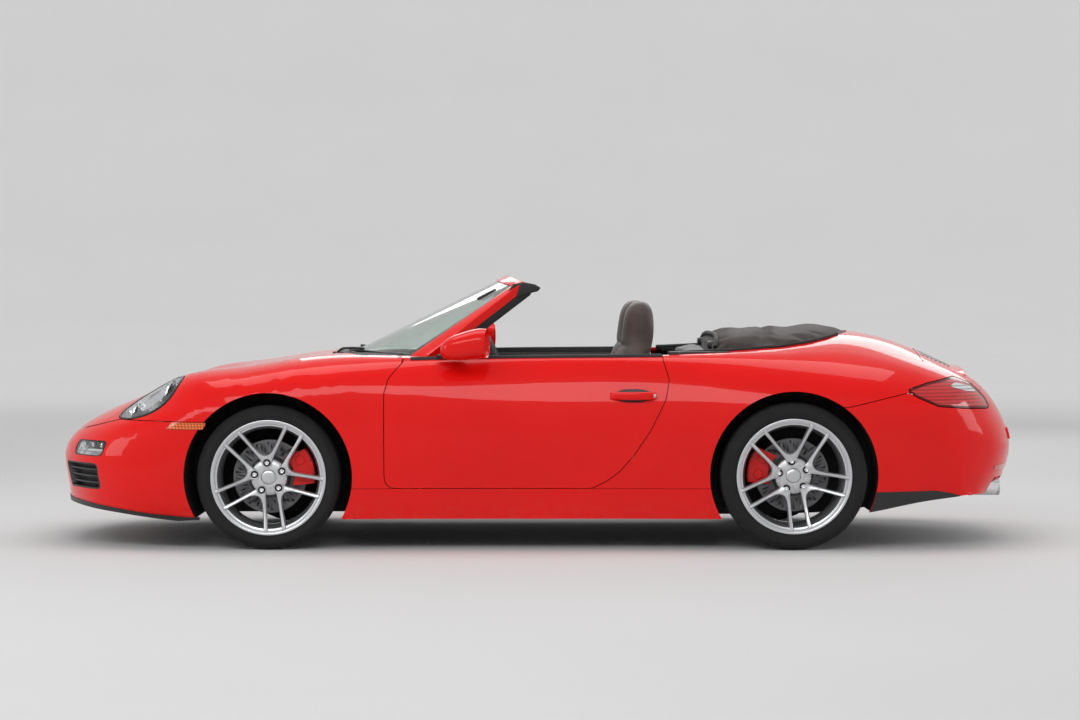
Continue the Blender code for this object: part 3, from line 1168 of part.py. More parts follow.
wheel_spot = (along(WHEEL_SPOT[0]), across(WHEEL_SPOT[1]), WHEEL_SPOT[2])
finish(steering_wheel, "steering_wheel", BLACK_PLASTIC, wheel_spot)



def sided(thing, side):
    """The left piece's copy, or its mirror image on the right."""
    return copy(thing) if side < 0 else mirrored(thing)


for side, word in ((-1, "left"), (1, "right")):
    for name, thing, look in (("front_fender", fender, RED_PAINT), ("rear_quarter", quarter, RED_PAINT),
                              ("sill", sill, RED_PAINT), ("headlight", headlight, CLEAR),
                              ("front_lamp", front_lamp, CLEAR), ("tail_light", tail_light, RED_LAMP),
                              ("seat", seat, LEATHER)):
        finish(sided(thing, side), f"{name}_{word}", look)
    finish(sided(door, side), f"door_{word}", RED_PAINT, (DOOR_AXIS[0], side * -DOOR_AXIS[1], .5))
    front_spot = (FRONT_HUB[0], side * -FRONT_HUB[1], FRONT_HUB[2])
    rear_spot = (REAR_HUB[0], side * -REAR_HUB[1], REAR_HUB[2])
    for place, spot, rim, tyre in (("front", front_spot, front_rim, front_tyre),
                                   ("rear", rear_spot, rear_rim, rear_tyre)):
        finish(sided(rim, side), f"{place}_rim_{word}", SILVER).location = spot
        finish(sided(tyre, side), f"{place}_tyre_{word}", RUBBER).location = spot
        finish(sided(rotor, side), f"{place}_disc_{word}", STEEL).location = spot
    kingpin = moved(sided(knuckle, side), (0, side * KINGPIN_INSET, 0))
    kingpin_spot = (front_spot[0], front_spot[1] - side * KINGPIN_INSET, front_spot[2])
    finish(kingpin, f"knuckle_{word}", DARK_METAL).location = kingpin_spot

# Take away the working solids
for thing in list(bpy.context.scene.collection.objects):
    if thing.name.startswith("work"):
        remove(thing)
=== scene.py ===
"""The look of a rear-engined two-door convertible car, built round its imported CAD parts.

Units are metres, in the CAD's own frame: the nose points to -X, +Z is up, the car's own left is -Y
and the floor is z = 0.
"""

import logging
import math
from dataclasses import dataclass, field
from enum import Enum
from typing import Callable, Optional, Sequence, Union

import bmesh
import bpy
import numpy as np
from mathutils import Matrix, Vector
from mathutils.bvhtree import BVHTree


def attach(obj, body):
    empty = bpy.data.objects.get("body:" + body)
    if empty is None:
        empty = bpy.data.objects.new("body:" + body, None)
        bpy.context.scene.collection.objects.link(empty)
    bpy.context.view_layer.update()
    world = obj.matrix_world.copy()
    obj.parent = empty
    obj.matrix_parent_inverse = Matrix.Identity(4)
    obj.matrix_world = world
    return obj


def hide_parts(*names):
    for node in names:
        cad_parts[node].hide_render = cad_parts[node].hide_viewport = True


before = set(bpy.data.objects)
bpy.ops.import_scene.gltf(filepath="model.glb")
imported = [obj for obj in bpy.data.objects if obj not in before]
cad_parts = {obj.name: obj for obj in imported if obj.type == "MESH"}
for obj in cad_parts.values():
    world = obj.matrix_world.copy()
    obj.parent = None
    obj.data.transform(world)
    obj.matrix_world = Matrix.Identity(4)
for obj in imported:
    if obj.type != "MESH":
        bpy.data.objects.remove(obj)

LOG = logging.getLogger("convertible")
Colour = tuple[float, float, float]
Point = tuple[float, float, float]
Flat = tuple[float, float]

# Middles of the left wheels, and outlines that both the panels and what fills them are cut by
FRONT_HUB: Point = (-1.1925, -.743, .3235)
REAR_HUB: Point = (1.1575, -.742, .330)
INTAKE_SIDE: tuple[Flat, ...] = ((-.725, .262), (-.725, .380), (-.430, .380), (-.455, .262))
INTAKE_OTHER_SIDE: tuple[Flat, ...] = tuple((-y, z) for y, z in INTAKE_SIDE)
INTAKE_MIDDLE: tuple[Flat, ...] = ((-.345, .228), (-.385, .330), (.385, .330), (.345, .228))
PLATE_BAY: tuple[Flat, ...] = ((-.275, .395), (.275, .395), (.255, .540), (-.255, .540))

# Where a bar that cuts through the nose or the tail starts and ends along the car
NOSE_REACH: Flat = (-2.6, -1.6)
TAIL_REACH: Flat = (1.95, 2.4)


class Side(Enum):
    """A side of the car, with its name and its sign along Y."""

    LEFT = ("left", -1)
    RIGHT = ("right", 1)

    @property
    def word(self) -> str:
        """The side's name, as the CAD nodes end with."""
        return self.value[0]

    @property
    def sign(self) -> int:
        """The side's direction along Y."""
        return self.value[1]


class Solver(Enum):
    """How a boolean is worked out."""

    FAST = "MANIFOLD"
    SAFE = "EXACT"


class Value:
    """A number inside a material; arithmetic on it adds Math nodes."""

    def __init__(self, shader: "Shader", socket: bpy.types.NodeSocket) -> None:
        """Wrap one output socket of a shader's tree."""
        self.shader = shader
        self.socket = socket

    def _made(self, operation: str, first: "Number", second: "Number") -> "Value":
        """Add one Math node."""
        made = self.shader.node("ShaderNodeMath", {"operation": operation}, {0: first, 1: second})
        return Value(self.shader, made.outputs[0])

    def __add__(self, other: "Number") -> "Value":
        """Sum."""
        return self._made("ADD", self, other)

    __radd__ = __add__

    def __mul__(self, other: "Number") -> "Value":
        """Product."""
        return self._made("MULTIPLY", self, other)

    __rmul__ = __mul__

    def __sub__(self, other: "Number") -> "Value":
        """Difference."""
        return self._made("SUBTRACT", self, other)

    def __rsub__(self, other: "Number") -> "Value":
        """Difference, reflected."""
        return self._made("SUBTRACT", other, self)

    def __truediv__(self, other: "Number") -> "Value":
        """Quotient."""
        return self._made("DIVIDE", self, other)

    def __gt__(self, other: "Number") -> "Value":
        """1 where this value is the greater, else 0."""
        return self._made("GREATER_THAN", self, other)

    def __lt__(self, other: "Number") -> "Value":
        """1 where this value is the smaller, else 0."""
        return self._made("LESS_THAN", self, other)

    def __abs__(self) -> "Value":
        """Size without sign."""
        return self._made("ABSOLUTE", self, 0.0)

    def sine(self) -> "Value":
        """Sine of the value in radians."""
        return self._made("SINE", self, 0.0)

    def power(self, exponent: float) -> "Value":
        """The value raised to a power."""
        return self._made("POWER", self, exponent)

    def root(self) -> "Value":
        """Square root."""
        return self._made("SQRT", self, 0.0)

    def spread(self, low: float, high: float, to_low: float = 0.0, to_high: float = 1.0) -> "Value":
        """Map a range of the value smoothly on another, held at both ends."""
        made = self.shader.node("ShaderNodeMapRange", {"interpolation_type": "SMOOTHSTEP"},
                                {"Value": self, "From Min": low, "From Max": high, "To Min": to_low,
                                 "To Max": to_high})
        return Value(self.shader, made.outputs[0])


Number = Union[Value, float]


class Shader:
    """A material's node tree, and short ways to add what the finishes need."""

    def __init__(self, name: str) -> None:
        """Start a material with one Principled shader."""
        self.material = bpy.data.materials.new(name)
        self.material.use_nodes = True
        self.tree = self.material.node_tree
        self.surface = self.tree.nodes["Principled BSDF"]
        self._spot: Optional[bpy.types.NodeSocket] = None

    def node(self, kind: str, settings: Optional[dict] = None,
             inputs: Optional[dict] = None) -> bpy.types.Node:
        """Add a node.

        Args:
            kind: The node's type.
            settings: Attributes set first; "stops" gives a ramp's (position, colour) pairs.
            inputs: Values or links of its sockets, by name or number.

        Returns:
            The new node.
        """
        made = self.tree.nodes.new(kind)
        for key, setting in (settings or {}).items():
            if key == "stops":
                ramp = made.color_ramp.elements
                while len(ramp) < len(setting):
                    ramp.new(0.5)
                for element, (position, colour) in zip(ramp, setting):
                    element.position = position
                    element.color = (*colour, 1)
            else:
                setattr(made, key, setting)
        for key, entry in (inputs or {}).items():
            self.link(entry, made.inputs[key])
        return made

    def link(self, entry: object, socket: bpy.types.NodeSocket) -> None:
        """Join a value or socket to an input, or set the input's own number."""
        if isinstance(entry, Value):
            self.tree.links.new(entry.socket, socket)
        elif isinstance(entry, bpy.types.NodeSocket):
            self.tree.links.new(entry, socket)
        elif isinstance(entry, tuple) and len(entry) == 3 and socket.type == "RGBA":
            socket.default_value = (*entry, 1)
        else:
            socket.default_value = entry

    def spot(self) -> bpy.types.NodeSocket:
        """The Object coordinates of the shaded point."""
        if self._spot is None:
            self._spot = self.node("ShaderNodeTexCoord").outputs["Object"]
        return self._spot

    def placed(self, scale: Point = (1, 1, 1), location: Point = (0, 0, 0),
               turn: Point = (0, 0, 0)) -> bpy.types.NodeSocket:
        """Object coordinates through a Mapping node."""
        made = self.node("ShaderNodeMapping", None, {"Vector": self.spot(), "Scale": scale,
                                                     "Location": location, "Rotation": turn})
        return made.outputs[0]

    def axes(self, vector: Optional[bpy.types.NodeSocket] = None) -> tuple[Value, Value, Value]:
        """The three numbers of a vector, or of the Object coordinates."""
        made = self.node("ShaderNodeSeparateXYZ", None, {0: vector or self.spot()})
        return Value(self, made.outputs[0]), Value(self, made.outputs[1]), Value(self, made.outputs[2])

    def noise(self, scale: float, detail: float = 2.0, rough: float = 0.5,
              vector: Optional[bpy.types.NodeSocket] = None) -> Value:
        """Soft noise from 0 to 1."""
        made = self.node("ShaderNodeTexNoise", None, {"Vector": vector or self.spot(), "Scale": scale,
                                                      "Detail": detail, "Roughness": rough})
        return Value(self, made.outputs[0])

    def cells(self, scale: float, feature: str = "F1",
              vector: Optional[bpy.types.NodeSocket] = None) -> Value:
        """Distance in a Voronoi pattern."""
        made = self.node("ShaderNodeTexVoronoi", {"feature": feature}, {"Vector": vector or self.spot(),
                                                                       "Scale": scale})
        return Value(self, made.outputs["Distance"])

    def mix(self, factor: Number, first: object, second: object, blend: str = "MIX") -> bpy.types.NodeSocket:
        """Mix two colours."""
        made = self.node("ShaderNodeMix", {"data_type": "RGBA", "blend_type": blend},
                         {0: factor, 6: first, 7: second})
        return made.outputs[2]

    def raised(self, height: Value, strength: float, distance: float,
               onto: Optional[bpy.types.NodeSocket] = None) -> bpy.types.NodeSocket:
        """Turn a height into a bumped normal, on top of another if given."""
        inputs = {"Height": height, "Strength": strength, "Distance": distance}
        if onto is not None:
            inputs["Normal"] = onto
        return self.node("ShaderNodeBump", None, inputs).outputs[0]

    def set(self, **inputs: object) -> None:
        """Set sockets of the Principled shader; an underscore stands for a space."""
        for key, entry in inputs.items():
            self.link(entry, self.surface.inputs[key.replace("_", " ")])


@dataclass(frozen=True)
class Finish:
    """A named finish; each kind dresses a material its own way."""

    name: str
    colour: Colour
    roughness: float = 0.5

    def material(self) -> bpy.types.Material:
        """The finish's material, made once."""
        found = bpy.data.materials.get(self.name)
        if found is None:
            shader = Shader(self.name)
            shader.material.diffuse_color = (*self.colour, 1)
            self.dress(shader)
            found = shader.material
        return found

    def shaded(self, shader: Shader, share: float, scale: float = 6.0) -> bpy.types.NodeSocket:
        """The finish's colour, drifting a little darker and lighter over the surface."""
        dark = tuple(part * (1 - share) for part in self.colour)
        light = tuple(min(part * (1 + share), 1) for part in self.colour)
        return shader.mix(shader.noise(scale, 3).spread(0.25, 0.75), dark, light)

    def dress(self, shader: Shader) -> None:
        """Fill the node tree."""
        raise NotImplementedError


@dataclass(frozen=True)
class Paint(Finish):
    """Gloss paint under clear lacquer: faint orange peel, and a breath of dust low down."""

    metal: float = 0.0
    dust_height: float = 0.26
    lacquer: float = 1.0

    def dress(self, shader: Shader) -> None:
        """Paint with lacquer."""
        _, _, height = shader.axes()
        dust = height.spread(self.dust_height, 0.10) * shader.noise(24, 5).spread(0.40, 0.80) * 0.08
        colour = shader.mix(dust, self.shaded(shader, 0.035, 2.0), (0.30, 0.25, 0.21))
        peel = shader.raised(shader.noise(260, 2), 0.030, 0.0006)
        shader.set(Base_Color=colour, Roughness=dust * 0.9 + (shader.noise(40, 3) * 0.05 + self.roughness),
                   Metallic=self.metal, Normal=peel, Coat_Weight=self.lacquer, Coat_Roughness=0.02,
                   Coat_IOR=1.33, Specular_IOR_Level=0.06)


class Grain(Enum):
    """Surface of a moulded plastic: the size of its grain in bumps per metre, and its depth in metres."""

    SMOOTH = (700.0, 0.00003)
    FINE = (900.0, 0.00010)
    COARSE = (420.0, 0.00030)


@dataclass(frozen=True)
class Plastic(Finish):
    """Moulded plastic with a pebbled grain and slightly polished high spots."""

    grain: Grain = Grain.FINE

    def dress(self, shader: Shader) -> None:
        """Grained plastic."""
        scale, depth = self.grain.value
        pebble = shader.cells(scale, "SMOOTH_F1")
        rough = shader.noise(18, 4) * 0.14 + (self.roughness - 0.07)
        normal = shader.raised(pebble, 0.7, depth * 4, shader.raised(shader.noise(30, 3), 0.05, 0.002))
        shader.set(Base_Color=self.shaded(shader, 0.18, 9.0), Roughness=rough, Normal=normal)


@dataclass(frozen=True)
class Rubber(Finish):
    """Dull rubber with a greyish bloom in patches."""

    def dress(self, shader: Shader) -> None:
        """Plain rubber."""
        bloom = shader.noise(12, 5).spread(0.45, 0.75)
        colour = shader.mix(bloom * 0.5, self.colour, tuple(part * 1.9 for part in self.colour))
        normal = shader.raised(shader.noise(500, 3), 0.35, 0.0006)
        shader.set(Base_Color=colour, Roughness=bloom * 0.12 + self.roughness, Normal=normal)


@dataclass(frozen=True)
class TyreRubber(Finish):
    """Tyre rubber: grooves and sipes on the tread, fine rings on the wall, dust near the ground."""

    centre: Point = (0, 0, 0)
    radius: float = 0.33
    blocks: int = 72

    def dress(self, shader: Shader) -> None:
        """Tread and walls about the wheel's centre."""
        x, y, z = shader.axes(shader.placed(location=(-self.centre[0], 0, -self.centre[2])))
        reach = (x * x + z * z).root()
        turn = Value(shader, shader.node("ShaderNodeMath", {"operation": "ARCTAN2"}, {0: z, 1: x}).outputs[0])
        across = abs(y) - abs(self.centre[1])
        tread = reach.spread(self.radius - 0.012, self.radius - 0.006)
        grooves = ((across * (math.tau / 0.052)).sine()).spread(0.86, 0.98)
        sipes = ((turn * self.blocks + across * 60).sine()).spread(0.90, 0.99)
        rings = (reach * (math.tau / 0.0042)).sine() * 0.5 + 0.5
        lines = reach.spread(self.radius - 0.030, self.radius - 0.028) * reach.spread(self.radius - 0.020,
                                                                                      self.radius - 0.022)
        cut = 1 - (grooves + sipes * 0.6) * tread
        wall = (1 - tread) * (rings * 0.10 + lines * 0.5)
        bloom = shader.noise(16, 5).spread(0.40, 0.80)
        dusty = shader.mix(bloom * 0.22 + tread * 0.15, self.colour, (0.050, 0.048, 0.045))
        normal = shader.raised(cut + wall, 1.0, 0.004, shader.raised(shader.noise(700, 3), 0.3, 0.0005))
        # Grooves and sipes are painted near-black: painted shade in recesses that exist only as bumps.
        shader.set(Base_Color=shader.mix(cut, (0.006, 0.006, 0.006), dusty),
                   Roughness=bloom * 0.15 + self.roughness, Normal=normal, Specular_IOR_Level=0.28)


@dataclass(frozen=True)
class Metal(Finish):
    """Bare or plated metal, with fine lines along one direction and smears in its gloss."""

    stretch: Point = (1, 1, 1)
    lines: float = 0.4
    tint: float = 0.06

    def dress(self, shader: Shader) -> None:
        """Lined metal."""
        scratch = shader.noise(900, 2, vector=shader.placed(scale=self.stretch))
        rough = shader.noise(22, 4) * 0.12 + (self.roughness - 0.04)
        shader.set(Base_Color=self.shaded(shader, self.tint, 12.0), Metallic=1.0, Roughness=rough,
                   Normal=shader.raised(scratch, self.lines * 0.3, 0.0004))


@dataclass(frozen=True)
class CastMetal(Finish):
    """Rough cast metal with a dull skin."""

    metal: float = 0.7

    def dress(self, shader: Shader) -> None:
        """Cast skin."""
        skin = shader.noise(320, 4)
        stain = shader.noise(14, 5).spread(0.35, 0.75)
        colour = shader.mix(stain, tuple(part * 0.6 for part in self.colour), self.colour)
        shader.set(Base_Color=colour, Metallic=self.metal, Roughness=stain * 0.15 + self.roughness,
                   Normal=shader.raised(skin, 0.5, 0.0012))


@dataclass(frozen=True)
class AlloyPaint(Finish):
    """Silver wheel lacquer, with brake dust towards the hub."""

    centre: Point = (0, 0, 0)

    def dress(self, shader: Shader) -> None:
        """Silver flakes, lacquer and dust."""
        x, _, z = shader.axes(shader.placed(location=(-self.centre[0], 0, -self.centre[2])))
        reach = (x * x + z * z).root()
        dust = reach.spread(0.23, 0.06) * shader.noise(45, 5).spread(0.35, 0.75) * 0.35
        flake = shader.noise(1600, 1).spread(0.30, 0.70)
        silver = shader.mix(flake, tuple(part * 0.90 for part in self.colour), self.colour)
        shader.set(Base_Color=shader.mix(dust, silver, (0.16, 0.14, 0.13)), Metallic=0.85 - dust * 0.8,
                   Roughness=dust * 0.7 + (flake * 0.05 + self.roughness), Coat_Weight=0.6,
                   Coat_Roughness=0.06, Normal=shader.raised(shader.noise(240, 2), 0.03, 0.0006))


@dataclass(frozen=True)
class DiscSteel(Finish):
    """A brake disc's face: rings left by the pads, a rusty hat edge and a dull rim."""

    centre: Point = (0, 0, 0)

    def dress(self, shader: Shader) -> None:
        """Ringed steel about the wheel's centre."""
        x, _, z = shader.axes(shader.placed(location=(-self.centre[0], 0, -self.centre[2])))
        reach = (x * x + z * z).root()
        rings = shader.noise(1, 2, vector=shader.node("ShaderNodeCombineXYZ", None,
                                                      {0: reach * 420}).outputs[0])
        worn = reach.spread(0.094, 0.097) * reach.spread(0.164, 0.162)
        rust = shader.noise(60, 5).spread(0.45, 0.70) * (1 - worn) * 0.35
        steel = shader.mix(rings.spread(0.3, 0.7), tuple(part * 0.84 for part in self.colour), self.colour)
        shader.set(Base_Color=shader.mix(rust, steel, (0.11, 0.055, 0.03)), Metallic=0.9 - rust,
                   Roughness=rings * 0.08 + (rust * 0.3 + self.roughness),
                   Normal=shader.raised(rings, 0.06, 0.0003))


@dataclass(frozen=True)
class Leather(Finish):
    """Hide: a cell grain, long soft creases, and a shine where it is rubbed."""

    grain: float = 620.0
    crease: float = 0.35

    def dress(self, shader: Shader) -> None:
        """Grained leather."""
        cells = shader.cells(self.grain, "DISTANCE_TO_EDGE").spread(0.0, 0.25)
        creases = shader.noise(34, 5, 0.65).spread(0.44, 0.58)
        rubbed = shader.noise(7, 3).spread(0.35, 0.70)
        dark = tuple(part * 0.62 for part in self.colour)
        # The grain's valleys are painted darker: painted shade in the grain.
        tone = shader.mix(cells, dark, self.shaded(shader, 0.16, 5.0))
        worn = shader.mix(rubbed * 0.22, tone, tuple(min(part * 1.7, 1) for part in self.colour))
        normal = shader.raised(cells, 0.55, 0.0006, shader.raised(creases, self.crease, 0.0015))
        shader.set(Base_Color=worn, Roughness=rubbed * -0.10 + (cells * -0.06 + self.roughness),
                   Normal=normal, Sheen_Weight=0.10, Sheen_Roughness=0.5)


@dataclass(frozen=True)
class Weave(Finish):
    """Woven fabric: crossing threads, slubs and a soft sheen."""

    threads: float = 1250.0
    relief: float = 0.0009
    sheen: float = 0.25

    def dress(self, shader: Shader) -> None:
        """Cross weave from the three directions."""
        x, y, z = shader.axes()
        step = math.tau * self.threads / 4
        warp = (x * step + shader.noise(60, 2) * 2).sine() * 0.5 + 0.5
        weft = ((y + z * 0.83) * step).sine() * 0.5 + 0.5
        cloth = warp * weft + (1 - warp) * (1 - weft)
        slub = shader.noise(34, 5, 0.7)
        tone = shader.mix(slub.spread(0.3, 0.7), tuple(part * 0.65 for part in self.colour), self.colour)
        shader.set(Base_Color=shader.mix(cloth * 0.45, tone, tuple(part * 0.5 for part in self.colour)),
                   Roughness=slub * 0.12 + (self.roughness - 0.06), Sheen_Weight=self.sheen,
                   Sheen_Roughness=0.4, Normal=shader.raised(cloth, 0.6, self.relief,
                                                             shader.raised(slub, 0.15, 0.002)))


@dataclass(frozen=True)
class Carpet(Finish):
    """Cut pile: tufts and brushed patches."""

    def dress(self, shader: Shader) -> None:
        """Tufted pile."""
        tufts = shader.cells(520)
        brushed = shader.noise(11, 4).spread(0.35, 0.70)
        tone = shader.mix(brushed, self.colour, tuple(min(part * 1.8, 1) for part in self.colour))
        # Darker between the tufts: painted shade in the gaps of the pile.
        shader.set(Base_Color=shader.mix(tufts.spread(0.2, 0.8) * 0.6, tone,
                                         tuple(part * 0.4 for part in self.colour)),
                   Roughness=0.95 - brushed * 0.05, Normal=shader.raised(tufts, 0.9, 0.004),
                   Sheen_Weight=0.3, Sheen_Roughness=0.6)


@dataclass(frozen=True)
class Glass(Finish):
    """Tinted glass with a faint film of dust on it."""

    ior: float = 1.5
    dust: float = 0.03
    ribs: float = 0.0

    def dress(self, shader: Shader) -> None:
        """Clear or ribbed glass."""
        film = shader.noise(9, 5).spread(0.35, 0.80)
        normal = shader.raised(shader.noise(3, 2), 0.02, 0.002)
        if self.ribs:
            _, y, _ = shader.axes()
            normal = shader.raised((y * self.ribs).sine() * 0.5 + 0.5, 0.5, 0.003)
        shader.set(Base_Color=shader.mix(film * 0.4, self.colour,
                                         tuple(part * 0.93 for part in self.colour)),
                   Roughness=film * self.dust + self.roughness, IOR=self.ior, Transmission_Weight=1.0,
                   Normal=normal)


@dataclass(frozen=True)
class Lens(Finish):
    """A coloured lamp lens over prisms, seen through a clear gloss skin."""

    prisms: float = 420.0
    depth: float = 0.0012
    glow: float = 0.04

    def dress(self, shader: Shader) -> None:
        """Prismed lens."""
        x, y, z = shader.axes()
        rows = (z * self.prisms).sine() * 0.5 + 0.5
        columns = ((x + y) * self.prisms).sine() * 0.5 + 0.5
        prism = rows * columns
        deep = tuple(part * 0.35 for part in self.colour)
        shader.set(Base_Color=shader.mix(prism.spread(0.0, 0.5), deep, self.colour),
                   Roughness=prism * 0.06 + self.roughness, Normal=shader.raised(prism, 0.18, self.depth),
                   Coat_Weight=0.8, Coat_Roughness=0.02, Emission_Color=self.colour,
                   Emission_Strength=self.glow)


@dataclass(frozen=True)
class Mesh(Finish):
    """A black grille of small hexagons with dark gaps."""

    pitch: float = 0.011

    def dress(self, shader: Shader) -> None:
        """Honeycomb, its openings painted near-black: painted shade behind the grille."""
        web = shader.cells(1 / self.pitch, "DISTANCE_TO_EDGE").spread(0.10, 0.16)
        shader.set(Base_Color=shader.mix(web, self.colour, (0.002, 0.002, 0.002)),
                   Roughness=web * 0.3 + self.roughness, Normal=shader.raised(1 - web, 0.8, 0.004))


@dataclass(frozen=True)
class Concrete(Finish):
    """The pale floor and the backdrop that it curves up to, which is lit from behind like a light tent."""

    lit_from: float = 5.0
    lit_to: float = 17.5
    glow: float = 0.27

    def dress(self, shader: Shader) -> None:
        """Even pale floor, and a glow that grows with the distance from the car."""
        x, y, _ = shader.axes()
        lit = shader.mix((x * x + y * y).root().spread(self.lit_from, self.lit_to), (0, 0, 0), (1, 1, 1))
        shader.set(Base_Color=self.shaded(shader, 0.010, 0.6), Roughness=self.roughness, Emission_Color=lit,
                   Emission_Strength=self.glow, Normal=shader.raised(shader.noise(25, 4), 0.03, 0.002))


class Finishes:
    """Every finish on the car."""

    PAINT = Paint("scarlet_paint", (0.74, 0.0040, 0.0030), 0.38, lacquer=0.9)
    TRIM = Plastic("black_trim", (0.016, 0.016, 0.017), 0.42, Grain.SMOOTH)
    GLOSS_BLACK = Paint("gloss_black", (0.010, 0.010, 0.011), 0.25)
    MOULDED = Plastic("moulded_black", (0.022, 0.022, 0.023), 0.62, Grain.COARSE)
    CABIN_PLASTIC = Plastic("cabin_plastic", (0.020, 0.019, 0.019), 0.58, Grain.FINE)
    LINER = Plastic("arch_liner", (0.012, 0.012, 0.012), 0.85, Grain.COARSE)
    SEAL = Rubber("rubber_seal", (0.012, 0.012, 0.012), 0.62)
    GRILLE = Mesh("grille_mesh", (0.020, 0.020, 0.021), 0.45)
    HIDE = Leather("cocoa_leather", (0.050, 0.026, 0.020), 0.48)
    DASH_HIDE = Leather("dash_leather", (0.024, 0.018, 0.017), 0.52, 760.0, 0.15)
    THREAD = Weave("red_thread", (0.30, 0.035, 0.025), 0.6, 3200.0, 0.0004)
    TOP_CLOTH = Weave("soft_top_cloth", (0.040, 0.026, 0.022), 0.88)
    CARPET = Carpet("cabin_carpet", (0.020, 0.015, 0.014), 0.95)
    CHROME = Metal("bright_chrome", (0.86, 0.87, 0.88), 0.10, lines=0.05, tint=0.02)
    SATIN = Metal("satin_metal", (0.62, 0.63, 0.65), 0.32, (1, 12, 1))
    DARK_STEEL = CastMetal("dark_steel", (0.10, 0.10, 0.105), 0.55)
    CAST_ALLOY = CastMetal("cast_alloy", (0.34, 0.34, 0.35), 0.50, 0.85)
    CALIPER = Paint("caliper_red", (0.62, 0.008, 0.006), 0.34, dust_height=0.30)
    SCREEN = Glass("screen_glass", (0.86, 0.95, 0.90), 0.01)
    CLEAR_LENS = Glass("clear_lens", (0.96, 0.97, 0.98), 0.01, 1.49)
    MIRROR = Metal("mirror_glass", (0.88, 0.89, 0.90), 0.02, lines=0.0, tint=0.01)
    REFLECTOR = Metal("lamp_reflector", (0.90, 0.91, 0.93), 0.12, lines=0.1, tint=0.02)
    RED_LENS = Lens("red_lens", (0.66, 0.008, 0.010), 0.10, glow=0.10)
    WHITE_LENS = Lens("white_lens", (0.78, 0.79, 0.80), 0.10)
    AMBER_LENS = Lens("amber_lens", (0.92, 0.16, 0.010), 0.12, 520.0)
    FLOOR = Concrete("pale_floor", (0.62, 0.62, 0.62), 0.88)


